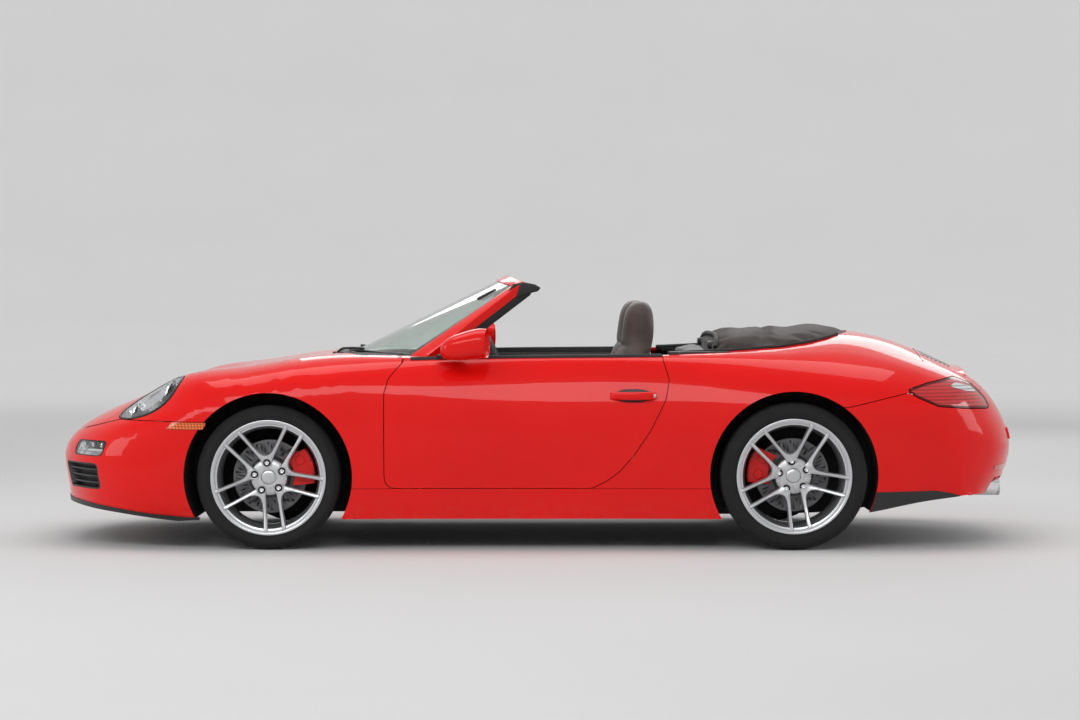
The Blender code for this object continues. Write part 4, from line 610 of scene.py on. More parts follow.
class Bench:
    """Makes meshes, cuts them, and hands pieces over to the frame."""

    @staticmethod
    def make(bm: bmesh.types.BMesh, name: str = "work", crisp_deg: float = 35.0,
             outwards: bool = True) -> bpy.types.Object:
        """Turn a bmesh into an object.

        Args:
            bm: The bmesh, freed afterwards.
            name: The object's name.
            crisp_deg: Edges that turn more than this stay sharp.
            outwards: Whether to turn the faces outwards first.

        Returns:
            The new object, in the scene.
        """
        if outwards:
            bmesh.ops.recalc_face_normals(bm, faces=bm.faces)
        Bench.crisp(bm, crisp_deg)
        mesh = bpy.data.meshes.new(name)
        bm.to_mesh(mesh)
        bm.free()
        made = bpy.data.objects.new(name, mesh)
        bpy.context.scene.collection.objects.link(made)
        return made

    @staticmethod
    def crisp(bm: bmesh.types.BMesh, crisp_deg: float) -> None:
        """Shade a bmesh smooth, but for the edges that turn more than an angle."""
        limit = math.radians(crisp_deg)
        for face in bm.faces:
            face.smooth = True
        for edge in bm.edges:
            edge.smooth = len(edge.link_faces) != 2 or edge.calc_face_angle(0.0) < limit

    @staticmethod
    def edit(thing: bpy.types.Object) -> bmesh.types.BMesh:
        """A bmesh of an object's mesh."""
        bm = bmesh.new()
        bm.from_mesh(thing.data)
        return bm

    @staticmethod
    def write(bm: bmesh.types.BMesh, thing: bpy.types.Object, crisp_deg: float = 35.0) -> bpy.types.Object:
        """Put a bmesh back in its object."""
        Bench.crisp(bm, crisp_deg)
        bm.to_mesh(thing.data)
        bm.free()
        return thing

    @staticmethod
    def copy(thing: bpy.types.Object) -> bpy.types.Object:
        """Copy an object and its mesh."""
        made = bpy.data.objects.new("work", thing.data.copy())
        bpy.context.scene.collection.objects.link(made)
        return made

    @staticmethod
    def mirrored(thing: bpy.types.Object) -> bpy.types.Object:
        """Copy an object to the other side of the car."""
        bm = Bench.edit(thing)
        bmesh.ops.scale(bm, vec=(1, -1, 1), verts=bm.verts)
        bmesh.ops.reverse_faces(bm, faces=bm.faces)
        mesh = thing.data.copy()
        bm.to_mesh(mesh)
        bm.free()
        made = bpy.data.objects.new("work", mesh)
        bpy.context.scene.collection.objects.link(made)
        return made

    @staticmethod
    def flipped(thing: bpy.types.Object) -> bpy.types.Object:
        """Move an object to the other side of the car, in place of itself."""
        made = Bench.mirrored(thing)
        Bench.drop(thing)
        return made

    @staticmethod
    def on(side: Side, thing: bpy.types.Object) -> bpy.types.Object:
        """A copy of something built for the left, on either side."""
        return Bench.copy(thing) if side is Side.LEFT else Bench.mirrored(thing)

    @staticmethod
    def drop(*things: bpy.types.Object) -> None:
        """Remove working objects."""
        for thing in things:
            mesh = thing.data
            bpy.data.objects.remove(thing)
            if mesh.users == 0:
                bpy.data.meshes.remove(mesh)

    @staticmethod
    def combine(target: bpy.types.Object, tool: bpy.types.Object, operation: str, keep: bool = False,
                solver: Solver = Solver.FAST) -> bpy.types.Object:
        """Join, cut or trim one object with another.

        Args:
            target: The object that changes.
            tool: The object that it is combined with.
            operation: UNION, DIFFERENCE or INTERSECT.
            keep: Whether the tool stays for later use.
            solver: How the boolean is worked out.

        Returns:
            The target.
        """
        modifier = target.modifiers.new("combine", "BOOLEAN")
        modifier.operation = operation
        modifier.solver = solver.value
        modifier.object = tool
        depsgraph = bpy.context.evaluated_depsgraph_get()
        mesh = bpy.data.meshes.new_from_object(target.evaluated_get(depsgraph))
        target.modifiers.remove(modifier)
        old = target.data
        target.data = mesh
        if old.users == 0:
            bpy.data.meshes.remove(old)
        if not keep:
            Bench.drop(tool)
        return target

    @staticmethod
    def cut(target: bpy.types.Object, *tools: bpy.types.Object, keep: bool = False,
            solver: Solver = Solver.FAST) -> bpy.types.Object:
        """Take tools out of an object."""
        for tool in tools:
            Bench.combine(target, tool, "DIFFERENCE", keep, solver)
        return target

    @staticmethod
    def trim(target: bpy.types.Object, tool: bpy.types.Object, keep: bool = False) -> bpy.types.Object:
        """Keep only what lies inside a tool."""
        return Bench.combine(target, tool, "INTERSECT", keep)

    @staticmethod
    def gather(things: Sequence[bpy.types.Object]) -> bpy.types.Object:
        """Put several meshes in one object, without fusing them."""
        bm = bmesh.new()
        for thing in things:
            bm.from_mesh(thing.data)
        made = things[0]
        bm.to_mesh(made.data)
        bm.free()
        Bench.drop(*things[1:])
        return made

    @staticmethod
    def prism(points: Sequence[Flat], axis: str, low: float, high: float, bevel: float = 0.0,
              segments: int = 2) -> bpy.types.Object:
        """Extrude an outline along an axis.

        Args:
            points: The outline's other two coordinates, in X, Y, Z order.
            axis: X, Y or Z.
            low: Where the prism starts.
            high: Where it ends.
            bevel: Width of a bevel on every edge, or 0.
            segments: Steps of that bevel.

        Returns:
            The prism.
        """
        bm = bmesh.new()
        spot = "XYZ".index(axis)
        corners = [list(point[:spot]) + [low] + list(point[spot:]) for point in points]
        face = bm.faces.new([bm.verts.new(corner) for corner in corners])
        raised = bmesh.ops.extrude_face_region(bm, geom=[face])["geom"]
        step = [high - low if letter == axis else 0 for letter in "XYZ"]
        bmesh.ops.translate(bm, vec=step,
                            verts=[item for item in raised if isinstance(item, bmesh.types.BMVert)])
        if bevel:
            caps = [edge for edge in bm.edges if abs(edge.verts[0].co[spot] - edge.verts[1].co[spot]) < 1e-7]
            bmesh.ops.bevel(bm, geom=caps, offset=bevel, segments=segments, profile=0.5, affect="EDGES",
                            material=-1, clamp_overlap=True)
        return Bench.make(bm)

    @staticmethod
    def box(low: Point, high: Point, bevel: float = 0.0, segments: int = 2) -> bpy.types.Object:
        """A block between two corners, with its edges rounded if asked."""
        bm = bmesh.new()
        bmesh.ops.create_cube(bm, size=1)
        first, last = Vector(low), Vector(high)
        bmesh.ops.scale(bm, vec=last - first, verts=bm.verts)
        bmesh.ops.translate(bm, vec=(first + last) / 2, verts=bm.verts)
        if bevel:
            bmesh.ops.bevel(bm, geom=bm.edges[:], offset=bevel, segments=segments, profile=0.5,
                            affect="EDGES", material=-1, clamp_overlap=True)
        return Bench.make(bm)

    @staticmethod
    def spun(profile: Sequence[Flat], steps: int, centre: Point = (0, 0, 0), direction: Point = (0, 1, 0),
             closed: bool = True, crisp_deg: float = 35.0) -> bpy.types.Object:
        """Spin a profile about an axis.

        Args:
            profile: (along the axis, radius) points.
            steps: Steps round the axis.
            centre: Where the axis starts.
            direction: Which way the axis points.
            closed: Whether the profile's last point joins its first.
            crisp_deg: Edges that turn more than this stay sharp.

        Returns:
            The turned shape.
        """
        bm = bmesh.new()
        ring = [bm.verts.new((radius, 0, reach)) for reach, radius in profile]
        pairs = list(zip(ring, ring[1:])) + ([(ring[-1], ring[0])] if closed else [])
        edges = [bm.edges.new(pair) for pair in pairs]
        bmesh.ops.spin(bm, geom=ring + edges, cent=(0, 0, 0), axis=(0, 0, 1), angle=math.tau, steps=steps,
                       use_merge=True, use_duplicate=False)
        bmesh.ops.remove_doubles(bm, verts=bm.verts, dist=1e-6)
        bmesh.ops.delete(bm, geom=[edge for edge in bm.edges if not edge.link_faces], context="EDGES")
        turn = Vector((0, 0, 1)).rotation_difference(Vector(direction)).to_matrix().to_4x4()
        bmesh.ops.transform(bm, matrix=Matrix.Translation(centre) @ turn, verts=bm.verts)
        return Bench.make(bm, crisp_deg=crisp_deg)

    @staticmethod
    def tube(path: Sequence[Point], radius: float, sides: int = 8, smooth: int = 0, closed: bool = False,
             flatten: float = 1.0) -> bpy.types.Object:
        """A round bar along a path.

        Args:
            path: Points along the middle of the bar.
            radius: Half the bar's thickness.
            sides: Sides of its section.
            smooth: Steps of a smooth curve between points, or 0 for straight ones.
            closed: Whether the path joins its start.
            flatten: Share of the bar's height that is kept.

        Returns:
            The bar, as a mesh.
        """
        data = bpy.data.curves.new("work", "CURVE")
        data.dimensions = "3D"
        data.bevel_depth = radius
        data.bevel_resolution = max(sides // 2 - 1, 0)
        data.use_fill_caps = not closed
        if smooth:
            line = data.splines.new("BEZIER")
            line.bezier_points.add(len(path) - 1)
            for bent, point in zip(line.bezier_points, path):
                bent.co = point
                bent.handle_left_type = bent.handle_right_type = "AUTO"
            data.resolution_u = smooth
        else:
            line = data.splines.new("POLY")
            line.points.add(len(path) - 1)
            for straight, point in zip(line.points, path):
                straight.co = (*point, 1)
        line.use_cyclic_u = closed
        holder = bpy.data.objects.new("work", data)
        bpy.context.scene.collection.objects.link(holder)
        depsgraph = bpy.context.evaluated_depsgraph_get()
        mesh = bpy.data.meshes.new_from_object(holder.evaluated_get(depsgraph))
        bpy.data.objects.remove(holder)
        bpy.data.curves.remove(data)
        bm = bmesh.new()
        bm.from_mesh(mesh)
        bpy.data.meshes.remove(mesh)
        bmesh.ops.remove_doubles(bm, verts=bm.verts, dist=1e-6)
        if flatten != 1.0:
            middle = sum(point[2] for point in path) / len(path)
            for vert in bm.verts:
                vert.co.z = middle + (vert.co.z - middle) * flatten
        return Bench.make(bm, crisp_deg=50.0)

    @staticmethod
    def strip(rows: Sequence[Sequence[Point]], closed: bool = False) -> bpy.types.Object:
        """A solid skinned through a row of rings with equal numbers of points.

        Args:
            rows: The rings, each a closed row of points.
            closed: Whether the last ring joins the first.

        Returns:
            The lofted solid.
        """
        bm = bmesh.new()
        loops = []
        for ring in rows:
            verts = [bm.verts.new(point) for point in ring]
            loops.append([bm.edges.new(pair) for pair in zip(verts, verts[1:] + verts[:1])])
        pairs = list(zip(loops, loops[1:])) + ([(loops[-1], loops[0])] if closed else [])
        for first, second in pairs:
            bmesh.ops.bridge_loops(bm, edges=first + second)
        if not closed:
            bmesh.ops.contextual_create(bm, geom=loops[0])
            bmesh.ops.contextual_create(bm, geom=loops[-1])
        return Bench.make(bm)

    @staticmethod
    def slab(front: Callable[[float, float], Vector], back: Callable[[float, float], Vector], columns: int,
             rows: int, crisp_deg: float = 35.0) -> bpy.types.Object:
        """A closed slab between two bent grids.

        Args:
            front: Gives a point of one face for shares from -1 to 1 across and along it.
            back: The same for the other face.
            columns: Steps across.
            rows: Steps along.
            crisp_deg: Edges that turn more than this stay sharp.

        Returns:
            The slab.
        """
        bm = bmesh.new()
        for shape in (front, back):
            for vert in bmesh.ops.create_grid(bm, x_segments=columns, y_segments=rows, size=1)["verts"]:
                vert.co = shape(vert.co.x, vert.co.y)
        bmesh.ops.bridge_loops(bm, edges=[edge for edge in bm.edges if edge.is_boundary])
        return Bench.make(bm, crisp_deg=crisp_deg)

    @staticmethod
    def placed(thing: bpy.types.Object, matrix: Matrix) -> bpy.types.Object:
        """Move or turn an object's mesh."""
        thing.data.transform(matrix)
        if matrix.is_negative:
            thing.data.flip_normals()
        return thing

    @staticmethod
    def moved(thing: bpy.types.Object, step: Point) -> bpy.types.Object:
        """Move an object's mesh by a step."""
        return Bench.placed(thing, Matrix.Translation(step))

    @staticmethod
    def turned(thing: bpy.types.Object, degrees: float, axis: str,
               centre: Point = (0, 0, 0)) -> bpy.types.Object:
        """Turn an object's mesh about a line through a centre."""
        about = Matrix.Translation(centre)
        return Bench.placed(thing, about @ Matrix.Rotation(math.radians(degrees), 4, axis) @ about.inverted())

    @staticmethod
    def bevelled(thing: bpy.types.Object, width: float, segments: int = 2, over_deg: float = 40.0,
                 crisp_deg: float = 35.0) -> bpy.types.Object:
        """Round the edges that turn more than an angle."""
        bm = Bench.edit(thing)
        bmesh.ops.remove_doubles(bm, verts=bm.verts, dist=1e-5)
        limit = math.radians(over_deg)
        edges = [edge for edge in bm.edges if len(edge.link_faces) == 2 and edge.calc_face_angle(0.0) > limit]
        bmesh.ops.bevel(bm, geom=edges, offset=width, segments=segments, profile=0.5, affect="EDGES",
                        material=-1, clamp_overlap=True)
        return Bench.write(bm, thing, crisp_deg)

    @staticmethod
    def rounded(thing: bpy.types.Object, levels: int = 2) -> bpy.types.Object:
        """Give an object a subdivision surface."""
        modifier = thing.modifiers.new("round", "SUBSURF")
        modifier.levels = modifier.render_levels = levels
        return thing

    @staticmethod
    def swollen(thing: bpy.types.Object, held: Callable[[Vector], float], cap: float = .008,
                voxel: float = .0072, pressure: float = 4.0, growth: float = 0.0,
                steps: int = 16) -> bpy.types.Object:
        """Let Blender's cloth fill out a padded cover between its seams, and apply the result.

        Args:
            thing: The closed pad, a little smaller than it ends up.
            held: How firmly the cover is sewn down at a spot, from 0 to 1.
            cap: The furthest that a point may move, in metres.
            voxel: The size of the cover's mesh, in metres; nothing is remeshed at 0.
            pressure: The stuffing's pressure.
            growth: How much more cloth there is than the shape needs, as a share.
            steps: The number of steps simulated.

        Returns:
            The pad, swollen.
        """
        if voxel:
            remesh = thing.modifiers.new("Remesh", "REMESH")
            remesh.mode = "VOXEL"
            remesh.voxel_size = voxel
            Bench.applied(thing)
        group = thing.vertex_groups.new(name="held")
        for vert in thing.data.vertices:
            weight = held(vert.co)
            if weight > 0:
                group.add([vert.index], min(weight, 1), "REPLACE")
        before = [vert.co.copy() for vert in thing.data.vertices]
        cloth = thing.modifiers.new("Cloth", "CLOTH")
        cloth.settings.quality = 4
        cloth.settings.vertex_group_mass = group.name
        cloth.settings.use_pressure = True
        cloth.settings.uniform_pressure_force = pressure
        cloth.settings.shrink_min = cloth.settings.shrink_max = -growth
        cloth.settings.effector_weights.gravity = 0
        cloth.collision_settings.use_collision = False
        cloth.point_cache.frame_start, cloth.point_cache.frame_end = 1, steps
        scene = bpy.context.scene
        for frame_number in range(1, steps + 1):
            scene.frame_set(frame_number)
        Bench.applied(thing)
        scene.frame_set(1)
        thing.vertex_groups.clear()
        for vert, old in zip(thing.data.vertices, before):
            step = vert.co - old
            if step.length > cap:
                vert.co = old + step * (cap / step.length)
        return thing

    @staticmethod
    def crisped(thing: bpy.types.Object, crisp_deg: float = 35.0) -> bpy.types.Object:
        """Shade a piece smooth between its crisp edges again."""
        return Bench.write(Bench.edit(thing), thing, crisp_deg)

    @staticmethod
    def applied(thing: bpy.types.Object) -> bpy.types.Object:
        """Bake a piece's modifiers into its mesh."""
        mesh = bpy.data.meshes.new_from_object(thing.evaluated_get(bpy.context.evaluated_depsgraph_get()))
        old = thing.data
        thing.modifiers.clear()
        thing.data = mesh
        bpy.data.meshes.remove(old)
        return thing

    @staticmethod
    def piece(thing: bpy.types.Object, name: str, finish: Union[Finish, Sequence[Finish]], body: str = "body",
              replaces: Sequence[str] = ()) -> bpy.types.Object:
        """Name a piece, dress it and let it ride on a body.

        Args:
            thing: The piece.
            name: Its name.
            finish: Its finish, or one for each material index.
            body: The body that it moves with.
            replaces: The CAD nodes that it stands for.

        Returns:
            The piece.
        """
        thing.name = thing.data.name = name
        thing.data.materials.clear()
        for each in (finish if isinstance(finish, (list, tuple)) else [finish]):
            thing.data.materials.append(each.material())
        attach(thing, body)
        if replaces:
            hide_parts(*replaces)
        LOG.info("%s: %d faces on %s", name, len(thing.data.polygons), body)
        return thing


class Outline:
    """Shapes drawn flat."""

    @staticmethod
    def rounded(points: Sequence[Flat], radius: float, closed: bool = True, steps: int = 5) -> list[Flat]:
        """Round an outline's corners.

        Args:
            points: The outline's corners.
            radius: The largest corner radius.
            closed: Whether the last point joins the first.
            steps: Steps of each round corner.

        Returns:
            The outline with its corners rounded.
        """
        corners = [Vector(point) for point in points]
        result: list[Flat] = []
        for i, here in enumerate(corners):
            if not closed and i in (0, len(corners) - 1):
                result.append(tuple(here))
                continue
            before, after = corners[i - 1] - here, corners[(i + 1) % len(corners)] - here
            half = before.angle(after) / 2
            if half > math.radians(89.5) or min(before.length, after.length) < 1e-6:
                result.append(tuple(here))
                continue
            reach = min(radius / math.tan(half), before.length * 0.499, after.length * 0.499)
            start, end = here + before.normalized() * reach, here + after.normalized() * reach
            for k in range(steps + 1):
                share = k / steps
                result.append(tuple(start.lerp(here, share).lerp(here.lerp(end, share), share)))
        return result

    @staticmethod
    def grown(points: Sequence[Flat], distance: float) -> list[Flat]:
        """Move a closed outline outwards by a distance."""
        spots = [Vector(point) for point in points]
        area = sum(a.x * b.y - b.x * a.y for a, b in zip(spots, spots[1:] + spots[:1]))
        turn = 1 if area > 0 else -1
        result = []
        for before, here, after in zip(spots[-1:] + spots[:-1], spots, spots[1:] + spots[:1]):
            first, second = (here - before).normalized(), (after - here).normalized()
            normal = Vector((first.y + second.y, -first.x - second.x)).normalized() * turn
            reach = distance / max(normal.dot(Vector((first.y, -first.x)) * turn), 0.5)
            result.append(tuple(here + normal * reach))
        return result

    @staticmethod
    def both(half: Sequence[Flat]) -> list[Flat]:
        """A closed outline from its half at +Y, as (x, y) points, and the half's mirror image."""
        return list(half) + [(x, -y) for x, y in reversed(half) if abs(y) > 1e-6]

    @staticmethod
    def oval(spot: Flat, size: Flat, count: int = 48, power: float = 2.0) -> list[Flat]:
        """An oval, squarer with a higher power."""
        result = []
        for k in range(count):
            c, s = math.cos(math.tau * k / count), math.sin(math.tau * k / count)
            result.append((spot[0] + size[0] * math.copysign(abs(c) ** (2 / power), c),
                           spot[1] + size[1] * math.copysign(abs(s) ** (2 / power), s)))
        return result


class Skin:
    """The body's outer surface: a spline net through its ribs, read finely."""

    RIBS = (
        # lower edge of the front bumper
        ((-2.185, 0, .190), (-2.165, .28, .188), (-2.100, .50, .185), (-2.000, .66, .175),
         (-1.860, .765, .160), (-1.740, .805, .145), (-1.600, .815, .130)),
        # lower intakes
        ((-2.200, 0, .300), (-2.180, .28, .300), (-2.120, .50, .300), (-2.015, .67, .295),
         (-1.880, .785, .280), (-1.735, .838, .235), (-1.540, .835, .133)),
        # tip of the nose
        ((-2.2175, 0, .420), (-2.190, .28, .420), (-2.130, .50, .420), (-2.020, .675, .415),
         (-1.865, .800, .400), (-1.690, .860, .340), (-1.440, .845, .135)),
        # top of the bumper
        ((-2.130, 0, .525), (-2.108, .28, .530), (-2.055, .50, .535), (-1.950, .670, .535),
         (-1.780, .810, .520), (-1.570, .875, .460), (-1.310, .850, .137)),
        # foot of the headlights
        ((-2.000, 0, .602), (-1.980, .28, .605), (-1.925, .50, .605), (-1.830, .660, .605),
         (-1.660, .818, .595), (-1.430, .885, .540), (-1.200, .850, .138)),
        # middle of the headlights
        ((-1.820, 0, .668), (-1.805, .28, .675), (-1.765, .53, .687), (-1.700, .680, .678),
         (-1.550, .828, .650), (-1.320, .890, .580), (-1.090, .850, .138)),
        # top of the headlights
        ((-1.600, 0, .742), (-1.600, .28, .745), (-1.600, .58, .773), (-1.550, .740, .745),
         (-1.420, .848, .685), (-1.200, .892, .570), (-.990, .850, .138)),
        # front axle
        ((-1.350, 0, .808), (-1.350, .28, .802), (-1.350, .60, .811), (-1.330, .770, .775),
         (-1.240, .870, .690), (-1.060, .890, .540), (-.880, .848, .138)),
        ((-1.100, 0, .850), (-1.100, .30, .842), (-1.100, .62, .848), (-1.100, .790, .802),
         (-1.040, .878, .690), (-.920, .882, .500), (-.780, .845, .138)),
        # cowl
        ((-.880, 0, .872), (-.880, .32, .868), (-.880, .64, .866), (-.880, .795, .815), (-.860, .872, .680),
         (-.780, .868, .450), (-.690, .836, .138)),
        # doors
        ((-.600, 0, .872), (-.600, .34, .870), (-.600, .67, .864), (-.600, .790, .824), (-.600, .866, .660),
         (-.600, .856, .400), (-.580, .830, .138)),
        ((-.150, 0, .868), (-.150, .36, .868), (-.150, .69, .862), (-.150, .785, .830), (-.150, .860, .620),
         (-.150, .850, .380), (-.150, .828, .138)),
        ((.350, 0, .872), (.350, .36, .872), (.350, .69, .865), (.350, .788, .830), (.350, .862, .600),
         (.350, .853, .380), (.350, .828, .138)),
        ((.750, 0, .895), (.750, .34, .892), (.750, .67, .878), (.750, .800, .828), (.750, .880, .610),
         (.750, .872, .390), (.750, .840, .138)),
        # rear axle
        ((1.1575, 0, .940), (1.1575, .32, .932), (1.1575, .61, .900), (1.1575, .800, .822),
         (1.1575, .904, .630), (1.1575, .896, .420), (1.150, .855, .140)),
        # rear deck
        ((1.440, 0, .970), (1.440, .30, .955), (1.440, .56, .903), (1.440, .775, .812), (1.430, .893, .640),
         (1.410, .888, .440), (1.400, .853, .155)),
        ((1.700, 0, .917), (1.700, .30, .902), (1.690, .54, .856), (1.680, .735, .785), (1.620, .866, .640),
         (1.580, .870, .450), (1.560, .840, .180)),
        ((1.900, 0, .832), (1.895, .30, .820), (1.880, .54, .789), (1.840, .700, .745), (1.760, .836, .640),
         (1.700, .850, .460), (1.660, .825, .200)),
        # lip under the tail lights
        ((2.070, 0, .735), (2.060, .30, .730), (2.030, .52, .715), (1.970, .680, .690), (1.860, .800, .620),
         (1.790, .830, .470), (1.750, .800, .215)),
        ((2.165, 0, .610), (2.155, .30, .607), (2.115, .51, .600), (2.045, .660, .590), (1.940, .770, .560),
         (1.860, .810, .460), (1.830, .780, .225)),
        # middle of the rear bumper
        ((2.2175, 0, .470), (2.205, .30, .470), (2.165, .50, .470), (2.100, .640, .470), (2.000, .740, .460),
         (1.920, .785, .400), (1.900, .760, .233)),
        ((2.190, 0, .330), (2.180, .30, .330), (2.140, .50, .330), (2.080, .630, .330), (2.000, .720, .325),
         (1.940, .755, .300), (1.940, .745, .238)),
        # lower edge of the rear bumper
        ((2.130, 0, .235), (2.120, .30, .235), (2.090, .48, .235), (2.050, .600, .237), (2.010, .680, .239),
         (1.985, .710, .240), (1.970, .730, .240)),
    )

    def __init__(self, rib_steps: int = 6, column_steps: int = 6) -> None:
        """Read the net with so many steps between ribs and between columns."""
        half = np.array(self.RIBS)
        net = np.concatenate([half[:, :0:-1] * (1, -1, 1), half], axis=1)
        down, over = self._chords(net, 0), self._chords(net, 1)
        rows = self.spline(down, net, self._refined(down, rib_steps))
        columns = self._refined(over, column_steps)
        self.points = self.spline(over, rows.transpose(1, 0, 2), columns).transpose(1, 0, 2)
        normals = np.cross(np.gradient(self.points, axis=0), np.gradient(self.points, axis=1))
        self.normals = normals / np.linalg.norm(normals, axis=2, keepdims=True)
        count = self.points.shape[1]
        self.corners = [(j * count + i, j * count + i + 1, (j + 1) * count + i + 1, (j + 1) * count + i)
                        for j in range(self.points.shape[0] - 1) for i in range(count - 1)]
        self.flat_points = [Vector(point) for point in self.points.reshape(-1, 3)]
        self.flat_normals = [Vector(normal) for normal in self.normals.reshape(-1, 3)]
        self.tree = BVHTree.FromPolygons(self.flat_points, self.corners)
        self._solids: dict[tuple[str, float, float], bpy.types.Object] = {}

    @staticmethod
    def _chords(net: np.ndarray, axis: int) -> np.ndarray:
        """Mean lengths along the net."""
        steps = np.linalg.norm(np.diff(net, axis=axis), axis=2).mean(axis=1 - axis)
        return np.concatenate([[0], np.cumsum(steps)])

    @staticmethod
    def _refined(stations: np.ndarray, count: int) -> np.ndarray:
        """Divide each stretch in equal steps."""
        parts = [np.linspace(a, b, count, endpoint=False) for a, b in zip(stations, stations[1:])]
        return np.concatenate(parts + [stations[-1:]])

    @staticmethod
    def spline(stations: np.ndarray, points: np.ndarray, wanted: np.ndarray) -> np.ndarray:
        """Read a natural cubic spline through points at the wanted stations."""
        count = len(stations)
        steps = np.diff(stations)
        system = np.eye(count)
        rhs = np.zeros(points.shape)
        for i in range(1, count - 1):
            system[i, i - 1:i + 2] = steps[i - 1], 2 * (steps[i - 1] + steps[i]), steps[i]
            rhs[i] = 6 * ((points[i + 1] - points[i]) / steps[i] - (points[i] - points[i - 1]) / steps[i - 1])
        bends = np.linalg.solve(system, rhs.reshape(count, -1)).reshape(points.shape)
        left = np.clip(np.searchsorted(stations, wanted) - 1, 0, count - 2)
        shape = (-1,) + (1,) * (points.ndim - 1)
        step = (stations[left + 1] - stations[left]).reshape(shape)
        back = (stations[left + 1] - wanted).reshape(shape) / step
        on = 1 - back
        straight = back * points[left] + on * points[left + 1]
        curved = (back ** 3 - back) * bends[left] + (on ** 3 - on) * bends[left + 1]
        return straight + curved * step ** 2 / 6

    def _layer(self, bm: bmesh.types.BMesh, depth: float) -> list[list[bmesh.types.BMVert]]:
        """Add the surface, at a depth under itself, as a grid."""
        rows, columns = self.points.shape[:2]
        spots = self.points - self.normals * depth
        before = set(bm.verts)
        bmesh.ops.create_grid(bm, x_segments=columns - 1, y_segments=rows - 1, size=1)
        grid: list[list] = [[None] * columns for _ in range(rows)]
        for vert in bm.verts:
            if vert not in before:
                i = round((vert.co.x + 1) / 2 * (columns - 1))
                j = round((vert.co.y + 1) / 2 * (rows - 1))
                vert.co = spots[j, i]
                grid[j][i] = vert
        return grid

    def sheet(self, outer: float = 0.0, inner: float = 0.014) -> bpy.types.Object:
        """A closed sheet between two depths under the surface, to be copied."""
        key = ("sheet", outer, inner)
        if key not in self._solids:
            bm = bmesh.new()
            self._layer(bm, outer)
            self._layer(bm, inner)
            rim = [edge for edge in bm.edges if edge.is_boundary]
            bmesh.ops.bridge_loops(bm, edges=rim)
            bmesh.ops.triangulate(bm, faces=bm.faces)
            self._solids[key] = Bench.make(bm, "work")
        return Bench.copy(self._solids[key])

    def volume(self, depth: float = 0.0) -> bpy.types.Object:
        """Everything under the surface, closed along the car's bottom, to be copied."""
        key = ("volume", depth, 0.0)
        if key not in self._solids:
            bm = bmesh.new()
            grid = self._layer(bm, depth)
            for first, second in zip(grid, grid[1:]):
                bm.faces.new((first[-1], first[0], second[0], second[-1]))
            bm.faces.new(grid[0])
            bm.faces.new(grid[-1])
            bmesh.ops.triangulate(bm, faces=bm.faces)
            self._solids[key] = Bench.make(bm, "work")
        return Bench.copy(self._solids[key])

    def clear(self) -> None:
        """Remove the solids kept for copying."""
        Bench.drop(*self._solids.values())
        self._solids = {}

    def normal_at(self, spot: Vector, reach: float = 0.2) -> Optional[tuple[Vector, Vector]]:
        """The nearest point of the surface, and the surface's smooth normal there."""
        near, _, index, _ = self.tree.find_nearest(spot, reach)
        if near is None:
            return None
        first, second, _, fourth = (self.flat_points[corner] for corner in self.corners[index])
        one, two = second - first, fourth - first
        u = min(max((near - first).dot(one) / one.length_squared, 0), 1)
        v = min(max((near - first).dot(two) / two.length_squared, 0), 1)
        low, next_, far, high = (self.flat_normals[corner] for corner in self.corners[index])
        normal = low.lerp(next_, u).lerp(high.lerp(far, u), v)
        return near, normal.normalized()

    def shade(self, thing: bpy.types.Object, loose: float = 0.02) -> bpy.types.Object:
        """Give an object cut from the surface the surface's own smooth normals.

        Args:
            thing: The object.
            loose: How far from the surface a face may lie and still follow it.

        Returns:
            The object.
        """
        mesh = thing.data
        found: dict[int, Optional[tuple[Vector, Vector]]] = {}
        normals = []
        for polygon in mesh.polygons:
            polygon.use_smooth = True
            for index in polygon.vertices:
                if index not in found:
                    found[index] = self.normal_at(mesh.vertices[index].co, loose)
                hit = found[index]
                if hit and abs(hit[1].dot(polygon.normal)) > 0.80:
                    normals.append(hit[1] if hit[1].dot(polygon.normal) > 0 else -hit[1])
                else:
                    normals.append(polygon.normal.copy())
        mesh.normals_split_custom_set(normals)
        return thing

    def over(self, x: float, y: float) -> Vector:
        """The surface's point over a spot seen from above."""
        return self.tree.ray_cast(Vector((x, y, 2)), Vector((0, 0, -1)))[0]

    def beside(self, x: float, z: float, side: Side = Side.LEFT) -> Vector:
        """The surface's point at a spot seen from a side."""
        return self.tree.ray_cast(Vector((x, side.sign * 2, z)), Vector((0, -side.sign, 0)))[0]

    def ahead(self, y: float, z: float) -> Vector:
        """The surface's point at a spot seen from the front."""
        return self.tree.ray_cast(Vector((-4, y, z)), Vector((1, 0, 0)))[0]

    def behind(self, y: float, z: float) -> Vector:
        """The surface's point at a spot seen from the back."""
        return self.tree.ray_cast(Vector((4, y, z)), Vector((-1, 0, 0)))[0]


